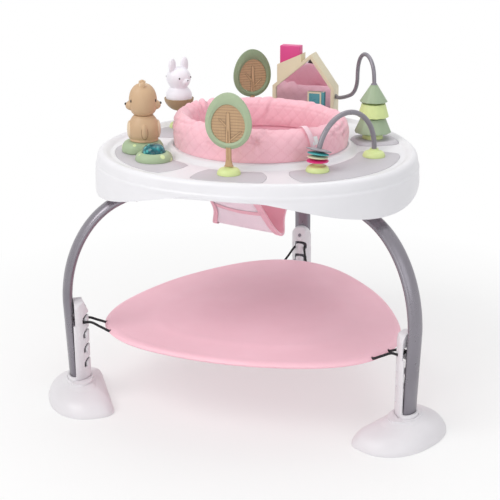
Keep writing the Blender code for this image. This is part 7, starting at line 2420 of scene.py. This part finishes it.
def make_toys():
    """The toys on the tray, then what is set on them."""
    make_bear()
    make_light()
    make_bunny()
    make_tree("tree_front", TREE_FRONT_AT)
    make_tree("tree_back", TREE_BACK_AT, TREE_BACK_LIFT, TREE_BACK_TURN)
    make_house()
    make_wire()
    make_pine()
    make_arch()
    face_details()
    tree_details("tree_front", 0.0)
    tree_details("tree_back", TREE_BACK_LIFT)
    house_details()


def special_paints():
    """The materials that need more than a finish from the table."""
    PAINTS["wood"] = grooved_wood("wood", FINISHES["wood"][0])
    # The panel: a darker copy of the wood as painted shade where it sits back in its ring, with painted shade in its
    # hollows
    PAINTS["wood_panel"] = grooved_wood("wood_panel", shade(FINISHES["wood"][0], 0.92), True)
    PAINTS["bush_green"] = spotted("bush_green", srgb(168, 188, 152), srgb(212, 226, 168), 44.0, 0.24)
    PAINTS["lens_teal"] = lens_paint()
    PAINTS["mirror"] = mirror_paint()


def refine():
    """Rounds edges, blends the animals' forms and waves the pine."""
    for name in ("bear_body", "bear_head", "bunny_figure"):
        remelt(bpy.data.objects["show_" + name], 0.0009, 10)
    remelt(bpy.data.objects["show_bush_base"], 0.0012, 6)
    centre = polar(*PINE_AT)
    for name, waves in (("pine_tier_top", 10), ("pine_tier_middle", 11), ("pine_tier_bottom", 12)):
        scallop(bpy.data.objects["show_" + name], centre, waves, 0.036)
    for width, names in ROUNDED.items():
        for name in names:
            soften(bpy.data.objects["show_" + name], width)
    # The back tree's ring takes the darker copy of sage, as painted shade
    back = bpy.data.objects["show_tree_back_leaf"].data
    back.materials.clear()
    back.materials.append(material("sage_back"))


def ride_all():
    """Every piece moves with its CAD node's body, or with the body it names."""
    for thing in MADE:
        name = thing.name[5:] if thing.name.startswith("show_") else None
        side = thing.get("between")
        if side:
            angle = LEG_ANGLES[side]
            start = polar(CASING_FACE_R, angle, HOOK_TOP_Z - HOOK_TALL)
            stop = polar(PLATFORM_TIP + TUNNEL_OUT * 0.7, angle, PLATFORM_Z + 0.004)
            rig.blend(thing, "frame", "platform", start=tuple(start), end=tuple(stop))
        else:
            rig.ride(thing, thing.get("rides") or NODES[name]["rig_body"])
        if name:
            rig.replaces(thing, name)
    paints = {"ring_retainer": "ring_white", "tray_underside": "underside_white",
              "battery_box": "underside_white", "battery_door": "underside_white"}
    for node, thing in NODES.items():
        paint = paints.get(node) or ("button_grey" if node.startswith("leg_button") else None)
        if paint and not thing.hide_render:
            for slot in thing.material_slots:
                slot.material = material(paint)


def declare_soft(areas):
    """Says which pieces are sheets, with their cut sizes, and that the cushion is padded."""
    strip = bpy.data.objects["sling_strip"]
    band = bpy.data.objects["show_seat_sling"]
    extra = [bpy.data.objects[n] for n in ("sling_binding_left", "sling_binding_right", "sling_seam")]
    wide, long, area = areas["strip"]
    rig.sheet(strip, flat=(wide, long), held="hung", rests_on=["seat_ring"], area=area, with_pieces=extra)
    wide, long, area = areas["band"]
    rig.sheet(band, flat=(wide, long), held="hung", rests_on=["seat_ring"], area=area)
    for name in ("seat_ribbon", "seat_tag"):
        wide, long, area = areas[name]
        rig.sheet(bpy.data.objects[name], flat=(wide, long), held="laid", rests_on=["show_seat_cushion"],
                 area=area)
    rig.padded(bpy.data.objects["show_seat_cushion"], fill=0.7)


def flat_sizes():
    """The cut size and area of every sheet, from its own grid before it is thickened."""
    sizes = {}
    for tag, name in (("strip", "sling_strip"), ("band", "show_seat_sling"), ("seat_ribbon", "seat_ribbon"),
                      ("seat_tag", "seat_tag")):
        mesh = bpy.data.objects[name].data
        flow = mesh.attributes["flow"].data
        wide = max(d.vector.x for d in flow)
        long = max(d.vector.y for d in flow)
        if tag == "band":
            wide += wide / (BAND_COLUMNS - 1)
        area = sum(f.area for f in mesh.polygons)
        sizes[tag] = (max(wide, area / long), long, min(area, max(wide, area / long) * long))
    return sizes


# The room

FLOOR_HALF = 14.0
FLOOR_LOW = 0.0004         # the floor lies this far below the feet
WHITE_FROM = 0.42          # distance from the floor's middle where it starts to turn white
WHITE_TO = 1.0
WHITE_NEAR = 0.46          # share of white up to there


def make_floor():
    """A pale floor that takes the shadow and turns white away from the part, where it is seen or mirrored."""
    mesh = bpy.data.meshes.new("floor")
    work = bmesh.new()
    bmesh.ops.create_grid(work, x_segments=8, y_segments=8, size=FLOOR_HALF)
    work.to_mesh(mesh)
    work.free()
    thing = bpy.data.objects.new("floor", mesh)
    bpy.context.scene.collection.objects.link(thing)
    thing.location.z = -FLOOR_LOW
    n = Nodes("floor_white")
    n.put(n.shader.inputs["Base Color"], n.mix(n.noise(3.0), (0.91, 0.91, 0.91), (0.93, 0.93, 0.93)))
    n.shader.inputs["Roughness"].default_value = 0.7
    path = n.add("ShaderNodeLightPath").outputs
    seen = n.math("MAXIMUM", path["Is Camera Ray"], n.math("MAXIMUM", path["Is Glossy Ray"],
                                                           path["Is Transmission Ray"]))
    away = n.add("ShaderNodeVectorMath", {0: n.coords}, operation="LENGTH").outputs["Value"]
    share = n.math("MULTIPLY", seen, n.remap(away, WHITE_FROM, WHITE_TO, WHITE_NEAR, 1.0))
    white = n.add("ShaderNodeEmission", {"Color": (1.0, 1.0, 1.0, 1.0), "Strength": 1.0}).outputs[0]
    both = n.add("ShaderNodeMixShader", {0: share, 1: n.shader.outputs[0], 2: white}).outputs[0]
    n.tree.links.new(both, n.tree.nodes["Material Output"].inputs["Surface"])
    mesh.materials.append(n.made)
    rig.stage(thing)


def lamp(name, place, target, size, power, tint):
    """A round lamp that looks at the target."""
    data = bpy.data.lights.new(name, "AREA")
    data.shape = "DISK"
    data.size = size
    data.energy = power
    data.color = tint
    thing = bpy.data.objects.new(name, data)
    bpy.context.scene.collection.objects.link(thing)
    thing.location = place
    thing.rotation_euler = (Vector(place) - Vector(target)).to_track_quat("Z", "Y").to_euler()


# Lamps: name, place, what it looks at, size across, watts, tint
LAMPS = (
    ("key", (-1.5, -1.7, 2.6), (0, 0, 0.35), 2.0, 39.0, (1.0, 0.99, 0.97)),
    ("fill", (2.3, -1.6, 1.5), (0, 0, 0.35), 2.2, 11.0, (0.96, 0.98, 1.0)),
    ("front", (0.3, -2.8, 0.9), (0, 0, 0.35), 1.8, 9.0, (1.0, 1.0, 1.0)),
    ("top", (0.3, 0.8, 3.0), (0, 0, 0.4), 2.4, 23.0, (1.0, 1.0, 1.0)),
)
WORLD_LIGHT = 0.49         # the white world's strength as a light
WORLD_SEEN = 1.0           # and where it is seen, reflected or seen through a piece
CAMERA_PLACE = (0.55134524, -2.19422609, 1.02716242)
CAMERA_TURN = 14.5413      # degrees from the front
CAMERA_RISE = 17.7765      # degrees above the level
CAMERA_LENS = 83.003
CAMERA_SHIFT = (-0.022, -0.0438)


def make_world():
    """A white world that is dimmer as a light than where it is seen."""
    world = bpy.data.worlds.new("room")
    bpy.context.scene.world = world
    world.use_nodes = True
    tree = world.node_tree
    back = tree.nodes["Background"]
    rays = tree.nodes.new("ShaderNodeLightPath").outputs
    seen = rays["Is Camera Ray"]
    for kind in ("Is Transmission Ray", "Is Glossy Ray"):
        either = tree.nodes.new("ShaderNodeMath")
        either.operation = "MAXIMUM"
        tree.links.new(seen, either.inputs[0])
        tree.links.new(rays[kind], either.inputs[1])
        seen = either.outputs[0]
    level = tree.nodes.new("ShaderNodeMapRange")
    level.inputs["To Min"].default_value = WORLD_LIGHT
    level.inputs["To Max"].default_value = WORLD_SEEN
    tree.links.new(seen, level.inputs["Value"])
    tree.links.new(level.outputs["Result"], back.inputs["Strength"])
    back.inputs["Color"].default_value = (1.0, 1.0, 1.0, 1.0)


def make_camera():
    """The photo's view: its place and direction, its lens and its shift."""
    data = bpy.data.cameras.new("camera")
    camera = bpy.data.objects.new("camera", data)
    bpy.context.scene.collection.objects.link(camera)
    turn, rise = radians(CAMERA_TURN), radians(CAMERA_RISE)
    back = Vector((sin(turn) * cos(rise), -cos(turn) * cos(rise), sin(rise)))
    camera.location = CAMERA_PLACE
    camera.rotation_euler = back.to_track_quat("Z", "Y").to_euler()
    data.sensor_width = 36.0
    data.lens = CAMERA_LENS
    data.shift_x, data.shift_y = CAMERA_SHIFT
    bpy.context.scene.camera = camera


def make_room():
    """Floor, lamps, world and camera."""
    make_floor()
    for row in LAMPS:
        lamp(*row)
    make_world()
    make_camera()
    bpy.context.scene.view_settings.view_transform = "Standard"


def main():
    """Builds every piece, finishes them, says how they move, and sets up the room."""
    special_paints()
    station("station_pine", *PINE_AT)
    make_legs()
    make_platform()
    make_tray()
    make_pads()
    make_seat()
    make_toys()
    bpy.context.view_layer.update()
    areas = flat_sizes()
    settle()
    refine()
    ride_all()
    declare_soft(areas)
    make_room()
    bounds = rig.bounds()
    with open("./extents.json", "w") as file:
        json.dump({"cad": [[float(v) for v in corner] for corner in CAD_BOX],
                   "visual": [[float(v) for v in corner] for corner in bounds]}, file)


main()
